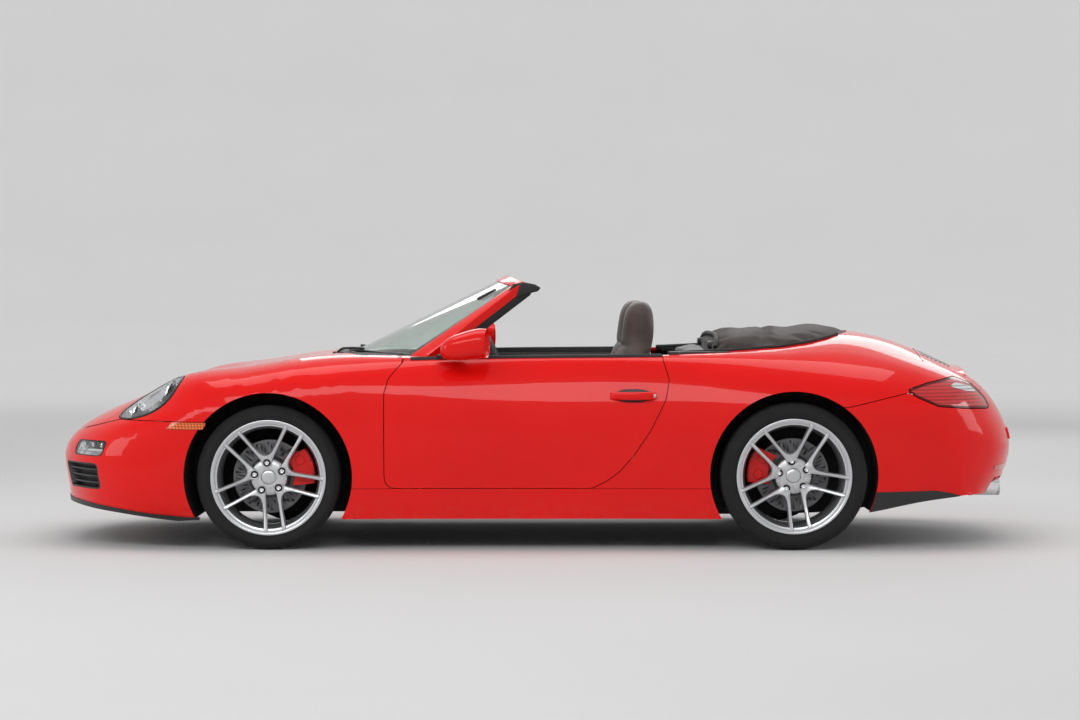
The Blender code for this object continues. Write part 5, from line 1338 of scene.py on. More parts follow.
@dataclass
class BodyShell:
    """The painted panels, the bumpers and what is let into them."""

    skin: Skin
    gap: float = 0.0035
    lid_gap: float = 0.0045
    arch_radius: float = 0.376
    front_arch: Flat = (-1.1925, 0.3275)
    rear_arch: Flat = (1.1575, 0.334)
    sill_top: float = 0.2735
    deep: float = 3.0
    door_line: tuple[Flat, ...] = ((-.673, .2765), (-.673, .700), (-.655, .765), (-.615, .812), (-.585, .845),
                                   (-.580, .960), (.560, .960), (.575, .840), (.600, .760), (.582, .669),
                                   (.515, .535), (.439, .423), (.381, .356), (.323, .311), (.255, .2765))
    bumper_line: tuple[Flat, ...] = ((-2.40, .5115), (-2.14, .5115), (-1.877, .5775), (-1.570, .5735),
                                     (-1.00, .5735))
    tail_line: tuple[Flat, ...] = ((1.30, .640), (1.40, .640), (1.662, .700), (1.74, .700), (1.95, .705),
                                   (2.40, .705))
    tail_light_line: tuple[Flat, ...] = ((1.662, .714), (1.760, .742), (1.905, .768), (1.985, .738),
                                         (2.050, .672), (2.074, .625), (1.950, .630), (1.808, .641),
                                         (1.714, .681))
    cowl_seam: tuple[Flat, ...] = ((-.962, 0), (-.948, .200), (-.905, .400), (-.845, .560))
    lid_line: tuple[Flat, ...] = ((-2.30, .600), (-1.99, .600), (-1.925, .585), (-1.895, .553),
                                  (-1.865, .513), (-1.80, .473), (-1.72, .460), (-1.60, .482),
                                  (-1.30, .560), (-1.05, .620), (-.86, .655), (-.80, .640),
                                  *cowl_seam[::-1])
    cowl_line: tuple[Flat, ...] = (*cowl_seam, (-.80, .640), (-.79, .655), (-.55, .655), (-.58, .620),
                                   (-.72, .500), (-.81, .350), (-.850, .180), (-.862, 0))
    top_line: tuple[Flat, ...] = ((.880, .640), (1.110, .590), (1.250, .520), (1.340, .430), (1.420, .290),
                                  (1.465, .140), (1.475, 0))
    deck_line: tuple[Flat, ...] = ((.620, .722), (.880, .700), (1.110, .660), (1.500, .585), (1.7745, .520))
    engine_line: tuple[Flat, ...] = ((1.7745, .500), (2.010, .470), (2.600, .455))
    headlight_spot: Point = (-1.742, -.632, .680)
    headlight_size: Flat = (.172, .128)
    headlight_tilt: float = 34.8
    lamp_low: Point = (-2.30, -.742, .412)
    lamp_high: Point = (-1.85, -.550, .482)
    door_inner: float = .735
    # Corners of the box where the rear bumper's inner layer would fold through its lower edge
    fold: tuple[Point, Point] = ((1.945, -.76, .10), (2.0, -.69, .2364))
    made: dict[str, bpy.types.Object] = field(default_factory=dict)

    def headlight_room(self, gap: float = 0.0) -> bpy.types.Object:
        """An oval bar through the fender, as large as the headlight and a gap."""
        size = (self.headlight_size[0] + gap, self.headlight_size[1] + gap)
        bar = Bench.prism(Outline.oval((0, 0), size, 64), "Z", -.2, .2)
        turn = Matrix.Rotation(-math.radians(self.headlight_tilt), 4, "Y")
        return Bench.placed(bar, Matrix.Translation(self.headlight_spot) @ turn)

    def lamp_room(self, gap: float = 0.0) -> bpy.types.Object:
        """A round-ended slot through the bumper's corner, as large as the strip lamp and a gap."""
        (x0, y0, z0), (x1, y1, z1) = self.lamp_low, self.lamp_high
        corners = [(y0 - gap, z0 - gap), (y1 + gap, z0 - gap), (y1 + gap, z1 + gap), (y0 - gap, z1 + gap)]
        return Bench.prism(Outline.rounded(corners, .022 + gap), "X", x0, x1)

    def tail_room(self, gap: float = 0.0, inner: float = -.455) -> bpy.types.Object:
        """The tail light's outline through the rear corner."""
        line = Outline.grown(Outline.rounded(self.tail_light_line, .030), gap)
        return Bench.prism(line, "Y", -self.deep, inner + gap)

    def arch(self, spot: Flat, grow: float = 0.0) -> bpy.types.Object:
        """Room for both wheels of an axle."""
        hole = Bench.prism(Outline.oval(spot, (self.arch_radius + grow,) * 2, 96), "Y", -1.2, -.3)
        return Bench.gather(self.twins(hole))

    def door_shape(self, gap: float = 0.0) -> list[Flat]:
        """The door's outline from the side, with round corners."""
        return Outline.grown(Outline.rounded(self.door_line, .055), gap)

    def side_shape(self, points: Sequence[Flat], low: float = -3.0, high: float = 3.0) -> bpy.types.Object:
        """A side outline as a cutting bar."""
        return Bench.prism(points, "Y", low, high)

    def top_shape(self, half: Sequence[Flat], gap: float = 0.0, low: float = .40, high: float = 1.3,
                  radius: float = 0.05) -> bpy.types.Object:
        """A lid outline as a cutting bar."""
        return Bench.prism(Outline.grown(Outline.rounded(Outline.both(half), radius), gap), "Z", low, high)

    @staticmethod
    def twins(room: bpy.types.Object) -> list[bpy.types.Object]:
        """A cutting bar and its mirror image."""
        return [room, Bench.mirrored(room)]

    def build(self) -> None:
        """Cut every panel from the skin."""
        self.nose()
        self.flanks()
        self.rear()

    def nose(self) -> None:
        """Cut the front bumper, the fender, the front lid and the cowl."""
        half = self.gap / 2
        line = Outline.rounded(self.bumper_line, .15, closed=False)
        above = [(x, z + half) for x, z in line]
        below = [(x, z - half) for x, z in line]
        arch = self.arch(self.front_arch)
        lights = self.twins(self.headlight_room(self.gap))
        lamps = self.twins(self.lamp_room())
        lid_hole = self.top_shape(self.lid_line, half)

        bumper = Bench.trim(self.skin.sheet(), self.side_shape([(-2.6, .05)] + below + [(-1.00, .05)]))
        Bench.cut(bumper, arch, *lights, *lamps, keep=True)
        Bench.cut(bumper, Bench.box((-1.19, -2, 0), (0, 2, 1)))
        self.front_openings(bumper)

        fender_side = above + [(-1.00, self.sill_top + half), (-.60, self.sill_top + half),
                               (-.60, 1.1), (-2.4, 1.1)]
        fender = Bench.trim(self.skin.sheet(), self.side_shape(fender_side, -3, -.2))
        Bench.cut(fender, self.side_shape(self.door_shape(self.gap)))
        Bench.cut(fender, arch, lights[0], lid_hole, keep=True)
        behind = Outline.both([*self.cowl_seam, (-.79, .6575), (-.45, .6575), (-.45, 0)])
        Bench.cut(fender, Bench.prism(behind, "Z", .4, 1.2))
        foot = Bench.trim(self.skin.sheet(), Bench.box((-.62, -.733, .80), (-.50, -.6585, .98)))

        hood = Bench.trim(self.skin.sheet(), self.top_shape(self.lid_line, -half))
        Bench.trim(hood, self.side_shape(above + [(-.70, .5735), (-.70, 1.2), (-2.4, 1.2)]))
        Bench.cut(hood, *lights, keep=True)
        cowl = Bench.trim(self.skin.sheet(), Bench.prism(Outline.both(self.cowl_line)[:-1], "Z", .7, 1.2))
        Bench.cut(cowl, lid_hole, keep=True)
        self.made |= {"front_bumper": bumper, "front_fender": fender, "fender_foot": foot,
                      "front_lid": hood, "cowl": cowl}
        Bench.drop(arch, lid_hole, *lights, *lamps)

    def flanks(self) -> None:
        """Cut the door and the sill."""
        door = Bench.trim(self.skin.volume(), self.side_shape(self.door_shape(), -3, -self.door_inner - .012))
        sill = Bench.trim(self.skin.sheet(), Bench.box((-1.2, -3, 0), (1.17, -.3, self.sill_top)))
        Bench.cut(sill, self.arch(self.front_arch), self.arch(self.rear_arch))
        self.made |= {"door": door, "sill": sill}

    def rear(self) -> None:
        """Cut the rear quarter, the engine lid, the deck round the folded top and the rear bumper."""
        half = self.gap / 2
        line = Outline.rounded(self.tail_line, .15, closed=False)
        arch = self.arch(self.rear_arch)
        lights = self.twins(self.tail_room(self.gap))
        engine_shape = Outline.rounded(Outline.both(self.engine_line), .03)
        engine_hole = Bench.prism(Outline.grown(engine_shape, self.lid_gap), "Z", .6, 1.2)

        quarter_side = [(.20, 1.2), (.20, self.sill_top + half), (1.20, self.sill_top + half), (1.20, .640)]
        quarter_side += [(x, z + half) for x, z in line[1:]] + [(2.40, 1.2)]
        quarter = Bench.trim(self.skin.sheet(), self.side_shape(quarter_side, -3, -.2))
        Bench.cut(quarter, self.side_shape(self.door_shape(self.gap)))
        Bench.cut(quarter, arch, keep=True)
        seam = [(.10, .722)] + list(self.deck_line) + list(self.engine_line) + [(2.6, -.1), (.1, -.1)]
        inner = [(x, -y) for x, y in Outline.grown(seam, half)]
        Bench.cut(quarter, Bench.prism(inner, "Z", .4, 1.2))
        Bench.cut(quarter, lights[0], engine_hole, keep=True)

        lid_foot = self.tail_line[-1][1] + self.lid_gap - half
        engine_lid = Bench.trim(self.skin.sheet(), Bench.prism(engine_shape, "Z", lid_foot, 1.2))
        Bench.cut(engine_lid, *lights, keep=True)
        deck = Bench.trim(self.skin.sheet(), Bench.prism(Outline.both(self.deck_line), "Z", .6, 1.2))
        well = Outline.rounded(Outline.both([(.45, .640)] + list(self.top_line)), .10)
        Bench.cut(deck, Bench.prism(Outline.grown(well, .003), "Z", .4, 1.2))
        Bench.cut(deck, engine_hole, keep=True)

        tail = Bench.trim(self.skin.sheet(), self.side_shape(
            [(1.20, .05), (1.20, .640)] + [(x, z - half) for x, z in line] + [(2.6, .05)]))
        Bench.cut(tail, arch, *lights, keep=True)
        Bench.cut(tail, *self.twins(Bench.box(*self.fold)))
        self.tail_openings(tail)
        self.made |= {"rear_quarter": quarter, "engine_lid": engine_lid, "top_deck": deck,
                      "rear_bumper": tail}
        Bench.drop(arch, *lights, engine_hole)

    def front_openings(self, bumper: bpy.types.Object) -> None:
        """Cut the air intakes in the front bumper."""
        for shape in (INTAKE_SIDE, INTAKE_OTHER_SIDE, INTAKE_MIDDLE):
            Bench.cut(bumper, Bench.prism(Outline.rounded(shape, .025), "X", -2.6, -1.70))

    def tail_openings(self, tail: bpy.types.Object) -> None:
        """Cut the exhaust outlets and the plate's bay in the rear bumper."""
        for sign in (-1, 1):
            ends = sorted((sign * .405, sign * .595))
            slot = [(ends[0], .05), (ends[1], .05), (ends[1], .308), (ends[0], .308)]
            Bench.cut(tail, Bench.prism(Outline.rounded(slot, .035), "X", *TAIL_REACH))
        Bench.cut(tail, Bench.prism(Outline.rounded(PLATE_BAY, .02), "X", *TAIL_REACH))

    def dress(self) -> None:
        """Shade the panels, and hand each over in place of its CAD node."""
        single = {"front_bumper": Finishes.PAINT, "front_lid": Finishes.PAINT, "cowl": Finishes.MOULDED,
                  "engine_lid": Finishes.PAINT, "top_deck": Finishes.PAINT, "rear_bumper": Finishes.PAINT}
        for name, finish in single.items():
            body = name if name in ("front_lid", "engine_lid") else "body"
            Bench.piece(self.skin.shade(self.made[name]), f"{name}_skin", finish, body, [name])
        for side in Side:
            for name in ("front_fender", "rear_quarter", "sill", "door", "fender_foot"):
                part = self.skin.shade(Bench.on(side, self.made[name]))
                body = f"door_{side.word}" if name == "door" else "body"
                stands = [] if name == "fender_foot" else [f"{name}_{side.word}"]
                Bench.piece(part, f"{name}_skin_{side.word}", Finishes.PAINT, body, stands)
        for name in ("front_fender", "rear_quarter", "sill", "door", "fender_foot"):
            Bench.drop(self.made[name])


@dataclass
class Wheel:
    """One wheel: its rim, tyre, disc, bolts and cap, built for the car's left side."""

    place: str
    side: Side
    centre: Point
    tyre_radius: float
    tyre_width: float
    rim_width: float
    seat: float = 0.2413
    flange: float = 0.0165
    spokes: int = 5
    turn_deg: float = 7.0
    bolt_circle: float = 0.065

    @property
    def body(self) -> str:
        """The CAD body that it spins with."""
        return f"{self.place}_wheel_{self.side.word}"

    @property
    def lift(self) -> float:
        """How much further out the spokes' ends stand than on the narrow rim."""
        return self.rim_width / 2 - 0.109

    def build(self) -> None:
        """Make and dress every piece of the wheel."""
        named = f"{self.place}_{self.side.word}"
        silver = AlloyPaint(f"wheel_silver_{named}", (0.66, 0.67, 0.69), 0.30, self.centre)
        rubber = TyreRubber(f"tyre_rubber_{named}", (0.013, 0.013, 0.014), 0.78, self.centre,
                            self.tyre_radius)
        # The disc's grey is darker than bare steel: painted shade for the shadow inside the wheel.
        steel = DiscSteel(f"disc_steel_{named}", (0.17, 0.17, 0.175), 0.50, self.centre)
        for thing, name, finish, node in (
                (self.rim(), "rim", silver, "rim"),
                (self.tyre(), "tyre", rubber, "tyre"),
                (self.rotor(), "disc", steel, "disc"),
                # The gloss-black bolt-hole floors are painted shade.
                (self.bolts(), "bolts", Finishes.GLOSS_BLACK, ""),
                (self.bolt_heads(), "bolt_heads", Finishes.CHROME, ""),
                (self.cap(), "cap", Finishes.SATIN, "")):
            if self.side is Side.RIGHT:
                thing = Bench.flipped(thing)
            placed = Bench.moved(thing, self.centre)
            stands = [f"{self.place}_{node}_{self.side.word}"] if node else []
            Bench.piece(placed, f"{self.place}_{name}_look_{self.side.word}", finish, self.body, stands)

    def rim(self) -> bpy.types.Object:
        """The barrel, the hub and the split spokes."""
        half, seat, top = self.rim_width / 2, self.seat, self.seat + self.flange
        outer = [(half, top), (half - .006, top), (half - .008, seat), (half * .35, seat - .014)]
        profile = [(-a, r) for a, r in outer]
        lip = [(-half - .001, top - .003), (-half - .0005, top - .008), (-half + .003, top - .0125),
               (-half + .014, top - .0138), (-half + .016, seat - .0005), (-half + .0145, seat - .003),
               (-half + .0170, seat - .0105), (-half + .032, seat - .0140), (-half * .33, seat - .024),
               (half * .33, seat - .025), (half, seat - .009)]
        barrel = profile + [(half * .35, seat - .014), (half - .008, seat), (half - .006, top), (half, top)]
        ring = Bench.spun(barrel + lip[::-1], 72)
        parts = [ring, self.hub()]
        for index in range(self.spokes):
            parts += self.spoke(index * 360 / self.spokes - self.turn_deg)
        return Bench.gather(parts)

    def hub(self) -> bpy.types.Object:
        """The hub: a shallow dish with a socket for the cap."""
        profile = [(-.040, .0445), (-.040, .080), (-.052, .083), (-.066, .080), (-.0725, .071),
                   (-.0745, .058), (-.0765, .045), (-.0770, .036), (-.0765, .0345), (-.069, .0335),
                   (-.069, .020), (-.060, .020)]
        return Bench.spun([(a, r) for a, r in profile] + [(-.050, .0445)], 60)

    def spoke(self, turn: float) -> list[bpy.types.Object]:
        """One Y-shaped spoke: a stem that carries the bolt, and two arms out to the rim."""
        outline = [(-.0195, .046), (-.0250, .062), (-.0275, .078), (-.0395, .098), (-.0625, .1345),
                   (-.0885, .1740), (-.1155, .2120), (-.1160, .2200), (-.1040, .2270), (-.0955, .2170),
                   (-.0740, .1830), (-.0510, .1470), (-.0290, .1160), (-.0140, .1035), (0, .1000)]
        half = Outline.rounded(outline, .012, closed=False, steps=3)
        shape = half + [(-x, z) for x, z in half[:-1][::-1]]
        bm = bmesh.new()
        face = bm.faces.new([bm.verts.new((x, 0, z)) for x, z in shape])
        raised = bmesh.ops.extrude_face_region(bm, geom=[face])["geom"]
        front = [item for item in raised if isinstance(item, bmesh.types.BMVert)]
        bmesh.ops.translate(bm, vec=(0, -1, 0), verts=front)
        top = [item for item in raised if isinstance(item, bmesh.types.BMFace)][0]
        bmesh.ops.inset_region(bm, faces=[top], thickness=.0042, depth=0, use_even_offset=True)
        near, far = .045, .238
        for vert in bm.verts:
            reach = math.hypot(vert.co.x, vert.co.z)
            share = min(max((reach - near) / (far - near), 0), 1)
            bow = .010 * math.sin(math.pi * share)
            low = -.046 - (.024 + self.lift) * share + bow
            high = -.0725 - (.0285 + self.lift) * share ** 1.15 + bow * .6
            crown = .0052 if vert in top.verts else 0
            vert.co.y = high - crown + .0012 if vert.co.y < -.5 else low
        bmesh.ops.triangulate(bm, faces=[each for each in bm.faces if len(each.verts) > 4])
        bmesh.ops.rotate(bm, cent=(0, 0, 0), matrix=Matrix.Rotation(math.radians(turn), 3, "Y"),
                         verts=bm.verts)
        arm = Bench.make(bm, crisp_deg=50)
        seat = Bench.spun([(-.0725, .0210), (-.0790, .0207), (-.0808, .0195), (-.0803, .0182), (-.070, .0176),
                           (-.060, .0176), (-.060, .0210)], 28, (0, 0, 0))
        angle = math.radians(turn)
        spot = (self.bolt_circle * math.sin(angle), 0, self.bolt_circle * math.cos(angle))
        return [arm, Bench.moved(seat, spot)]

    def around(self, make: Callable[[], bpy.types.Object]) -> bpy.types.Object:
        """Repeat a piece at each bolt."""
        parts = []
        for index in range(self.spokes):
            angle = math.radians(index * 360 / self.spokes - self.turn_deg)
            parts.append(Bench.moved(make(), (self.bolt_circle * math.sin(angle), 0,
                                              self.bolt_circle * math.cos(angle))))
        return Bench.gather(parts)

    def bolts(self) -> bpy.types.Object:
        """Gloss-black floors in the bolt holes, round the bolts: painted shade for the holes' dark depth."""
        profile = [(-.064, .0), (-.0786, .0), (-.0788, .0170), (-.064, .0178)]
        return self.around(lambda: Bench.spun(profile, 24))

    def bolt_heads(self) -> bpy.types.Object:
        """The bolts' round heads."""
        profile = [(-.0700, 0), (-.0820, 0), (-.0822, .0044), (-.0862, .0054), (-.0865, .0078),
                   (-.0850, .0094), (-.0780, .0098), (-.0700, .0098)]
        return self.around(lambda: Bench.spun(profile, 20))

    def cap(self) -> bpy.types.Object:
        """The bare centre cap, gently domed."""
        return Bench.spun([(-.060, 0), (-.0805, 0), (-.0803, .012), (-.0795, .022), (-.0775, .029),
                           (-.0745, .0325), (-.062, .0330)], 40)

    def tyre(self) -> bpy.types.Object:
        """The tyre, with a bulged wall and round shoulders, in few faces."""
        bead, seat = self.rim_width / 2 - .0085, self.seat + .0003
        half, top = self.tyre_width / 2, self.tyre_radius
        wall = [(bead, seat), (bead + .004, seat + self.flange + .004), (half - .002, seat + .034),
                (half - .001, (seat + top) / 2 + .012), (half - .010, top - .012), (half - .024, top - .0025),
                (half - .060, top)]
        inner = [(half - .030, top - .022), (bead - .012, seat)]
        profile = wall + [(-a, r) for a, r in wall[::-1]] + [(-a, r) for a, r in inner[::-1]] + inner
        return Bench.spun(profile, 40, crisp_deg=60)

    def rotor(self) -> bpy.types.Object:
        """The drilled and vented brake disc with its hat."""
        profile = [(.0145, .0455), (.0145, .160), (.0135, .165), (.0035, .165), (.0035, .150),
                   (-.0015, .150), (-.0015, .165), (-.0115, .165), (-.0125, .160), (-.0125, .094),
                   (-.036, .085), (-.0397, .081), (-.0397, .0455)]
        disc = Bench.spun(profile, 60)
        bm = bmesh.new()
        holes = 18
        for radius, shift in ((.112, 0.0), (.132, .33), (.150, .66)):
            for index in range(holes):
                angle = math.tau * (index + shift) / holes
                spot = Vector((radius * math.cos(angle), 0, radius * math.sin(angle)))
                made = bmesh.ops.create_cone(bm, cap_ends=True, segments=8, radius1=.0032,
                                             radius2=.0032, depth=.04)
                turn = Matrix.Translation(spot) @ Matrix.Rotation(math.pi / 2, 4, "X")
                bmesh.ops.transform(bm, matrix=turn, verts=made["verts"])
        return Bench.cut(disc, Bench.make(bm))


@dataclass
class Brakes:
    """The red calipers, which ride on the hub carriers."""

    front: Point = FRONT_HUB
    rear: Point = REAR_HUB

    def caliper(self, turn: float) -> bpy.types.Object:
        """A four-piston caliper astride the disc, its pistons' domes outwards, facing +X before its turn."""
        body = Bench.spun([(.0435, .1105), (.0435, .200), (.036, .2050), (-.032, .2050), (-.0405, .198),
                           (-.0405, .1105)], 72)
        wedge = Outline.rounded([(.06, -.060), (.3, -.100), (.3, .100), (.06, .060)], .02)
        Bench.trim(body, Bench.prism(wedge, "Y", -.1, .1))
        Bench.bevelled(body, .004, 3, 30)
        gap = Bench.spun([(.0190, .02), (.0190, .1700), (-.0170, .1700), (-.0170, .02)], 72)
        Bench.cut(body, gap)
        extras = []
        for z in (-.036, .036):
            dome = Bench.spun([(-.030, 0), (-.0470, 0), (-.0465, .012), (-.0445, .020), (-.0395, .0225),
                               (-.030, .0225)], 28, (.150, 0, z))
            extras.append(dome)
        rib = Bench.box((.186, -.0435, -.016), (.2035, .0, .016), .003)
        whole = Bench.gather([body, *extras, rib])
        return Bench.turned(whole, turn, "Y")

    def build(self) -> None:
        """Make the four calipers."""
        for side in Side:
            for place, spot, turn, body in (("front", self.front, -15.0, f"steer_{side.word}"),
                                            ("rear", self.rear, 195.0, "body")):
                part = Bench.moved(self.caliper(turn), spot)
                if side is Side.RIGHT:
                    part = Bench.flipped(part)
                Bench.piece(part, f"{place}_caliper_look_{side.word}", Finishes.CALIPER, body)


@dataclass
class Lamps:
    """Headlights, bumper lamps, side markers and tail lights."""

    skin: Skin
    shell: BodyShell
    marker: tuple[Flat, ...] = ((-1.645, .5400), (-1.482, .5400), (-1.463, .5705), (-1.625, .5705))
    clear_patch: tuple[Flat, ...] = ((1.870, .728), (1.905, .744), (1.975, .728), (2.010, .700),
                                     (1.950, .706))
    # Each headlight's projectors: place seen from above and depth under the skin along the line inwards
    projectors: tuple[Point, ...] = ((-1.665, -.640, .040), (-1.815, -.620, .036))
    inwards: Point = (-.57, 0, .82)
    beam: Point = (-.80, -.12, .45)

    def slice(self, outer: float, inner: float, room: bpy.types.Object,
              hole: Optional[bpy.types.Object] = None) -> bpy.types.Object:
        """The part of the skin's layer between two depths that lies in a room, less a hole."""
        made = Bench.trim(self.skin.sheet(outer, inner), room)
        if hole:
            Bench.cut(made, hole)
        return self.skin.shade(made, max(inner, .02) + .002)

    def build(self) -> None:
        """Make the lamps for both sides."""
        room, lamp, tail = self.shell.headlight_room, self.shell.lamp_room, self.shell.tail_room
        bar = Bench.prism([(-.738, .418), (-.555, .418), (-.555, .444), (-.738, .444)], "X", -2.3, -1.85)
        marker = Bench.prism(Outline.rounded(self.marker, .008), "Y", -1.2, -.5)
        parts: list[tuple[bpy.types.Object, str, Finish, str]] = [
            (self.slice(.0010, .0045, room(-.010)), "headlight_lens", Finishes.CLEAR_LENS, "headlight"),
            (self.slice(-.0012, .016, room(-.0005), room(-.0095)), "headlight_rim",
             Finishes.GLOSS_BLACK, ""),
            (self.slice(.0065, .056, room(-.0100), room(-.0130)), "headlight_wall", Finishes.REFLECTOR, ""),
            (self.slice(.052, .056, room(-.0128)), "headlight_back", Finishes.TRIM, ""),
            (self.slice(.0010, .0040, lamp(-.004)), "front_lamp_lens", Finishes.CLEAR_LENS, "front_lamp"),
            (self.slice(-.0010, .012, lamp(-.0005), lamp(-.0038)), "front_lamp_rim",
             Finishes.GLOSS_BLACK, ""),
            (self.slice(.012, .046, lamp(-.0010), lamp(-.0050)), "front_lamp_wall", Finishes.REFLECTOR, ""),
            (self.slice(.044, .048, lamp(-.0048)), "front_lamp_back", Finishes.TRIM, ""),
            (self.slice(.010, .026, bar), "front_lamp_bar", Finishes.WHITE_LENS, ""),
            (self.slice(-.0008, .014, tail(-.0085)), "tail_light_lens", Finishes.RED_LENS, "tail_light"),
            (self.slice(.0002, .018, tail(-.0004), tail(-.0080)), "tail_light_rim",
             Paint("tail_rim", (0.10, 0.002, 0.003), 0.3), ""),
            (self.slice(-.0022, .010, self.patch()), "tail_light_clear", Finishes.WHITE_LENS, ""),
            (self.slice(-.0035, .003, marker), "side_marker", Finishes.AMBER_LENS, ""),
            (self.bowls(), "headlight_bowls", Finishes.REFLECTOR, ""),
            (self.balls(), "headlight_balls", Finishes.CLEAR_LENS, ""),
            (self.bulbs(), "front_lamp_bulbs", Finishes.CHROME, "")]
        for thing, name, finish, node in parts:
            for side in Side:
                stands = [f"{node}_{side.word}"] if node else []
                Bench.piece(Bench.on(side, thing), f"{name}_look_{side.word}", finish, "body", stands)
            Bench.drop(thing)

    def patch(self) -> bpy.types.Object:
        """The clear window in the tail light."""
        return Bench.prism(Outline.rounded(self.clear_patch, .02), "Y", -1.2, -.455)

    def projector(self, place: Point) -> Vector:
        """Where a projector sits, from its place seen from above and its depth under the skin."""
        x, y, depth = place
        return self.skin.over(x, y) - Vector(self.inwards) * depth

    def bowls(self) -> bpy.types.Object:
        """Two round reflectors in the headlight, one over the other, each with its ring."""
        parts = []
        for place, radius in zip(self.projectors, (.058, .040)):
            spot = self.projector(place)
            profile = [(-.004, 0), (.004, .012), (.014, radius * .75), (.030, radius), (.033, radius + .003),
                       (.030, radius + .006), (.012, radius * .8), (-.008, .012), (-.010, 0)]
            parts.append(Bench.spun(profile, 40, tuple(spot), self.beam, closed=False))
        return Bench.gather(parts)

    def balls(self) -> bpy.types.Object:
        """The projector lenses."""
        parts = []
        for place, radius in zip(self.projectors, (.030, .022)):
            spot = self.projector(place)
            profile = [(.004, 0), (.004, radius), (.010, radius), (.018, radius * .80),
                       (.0235, radius * .45), (.025, 0)]
            parts.append(Bench.spun(profile, 32, tuple(spot), self.beam, closed=False))
        return Bench.gather(parts)

    def bulbs(self) -> bpy.types.Object:
        """Three bright bulbs in the upper half of the strip lamp."""
        parts = []
        for y in (-.590, -.655, -.705):
            spot = self.skin.ahead(y, .461) + Vector((.022, 0, 0))
            parts.append(Bench.spun([(0, 0), (0, .014), (.004, .0145), (.009, .010), (.011, 0)], 24,
                                    tuple(spot), (-.9, -.4, 0), closed=False))
        return Bench.gather(parts)


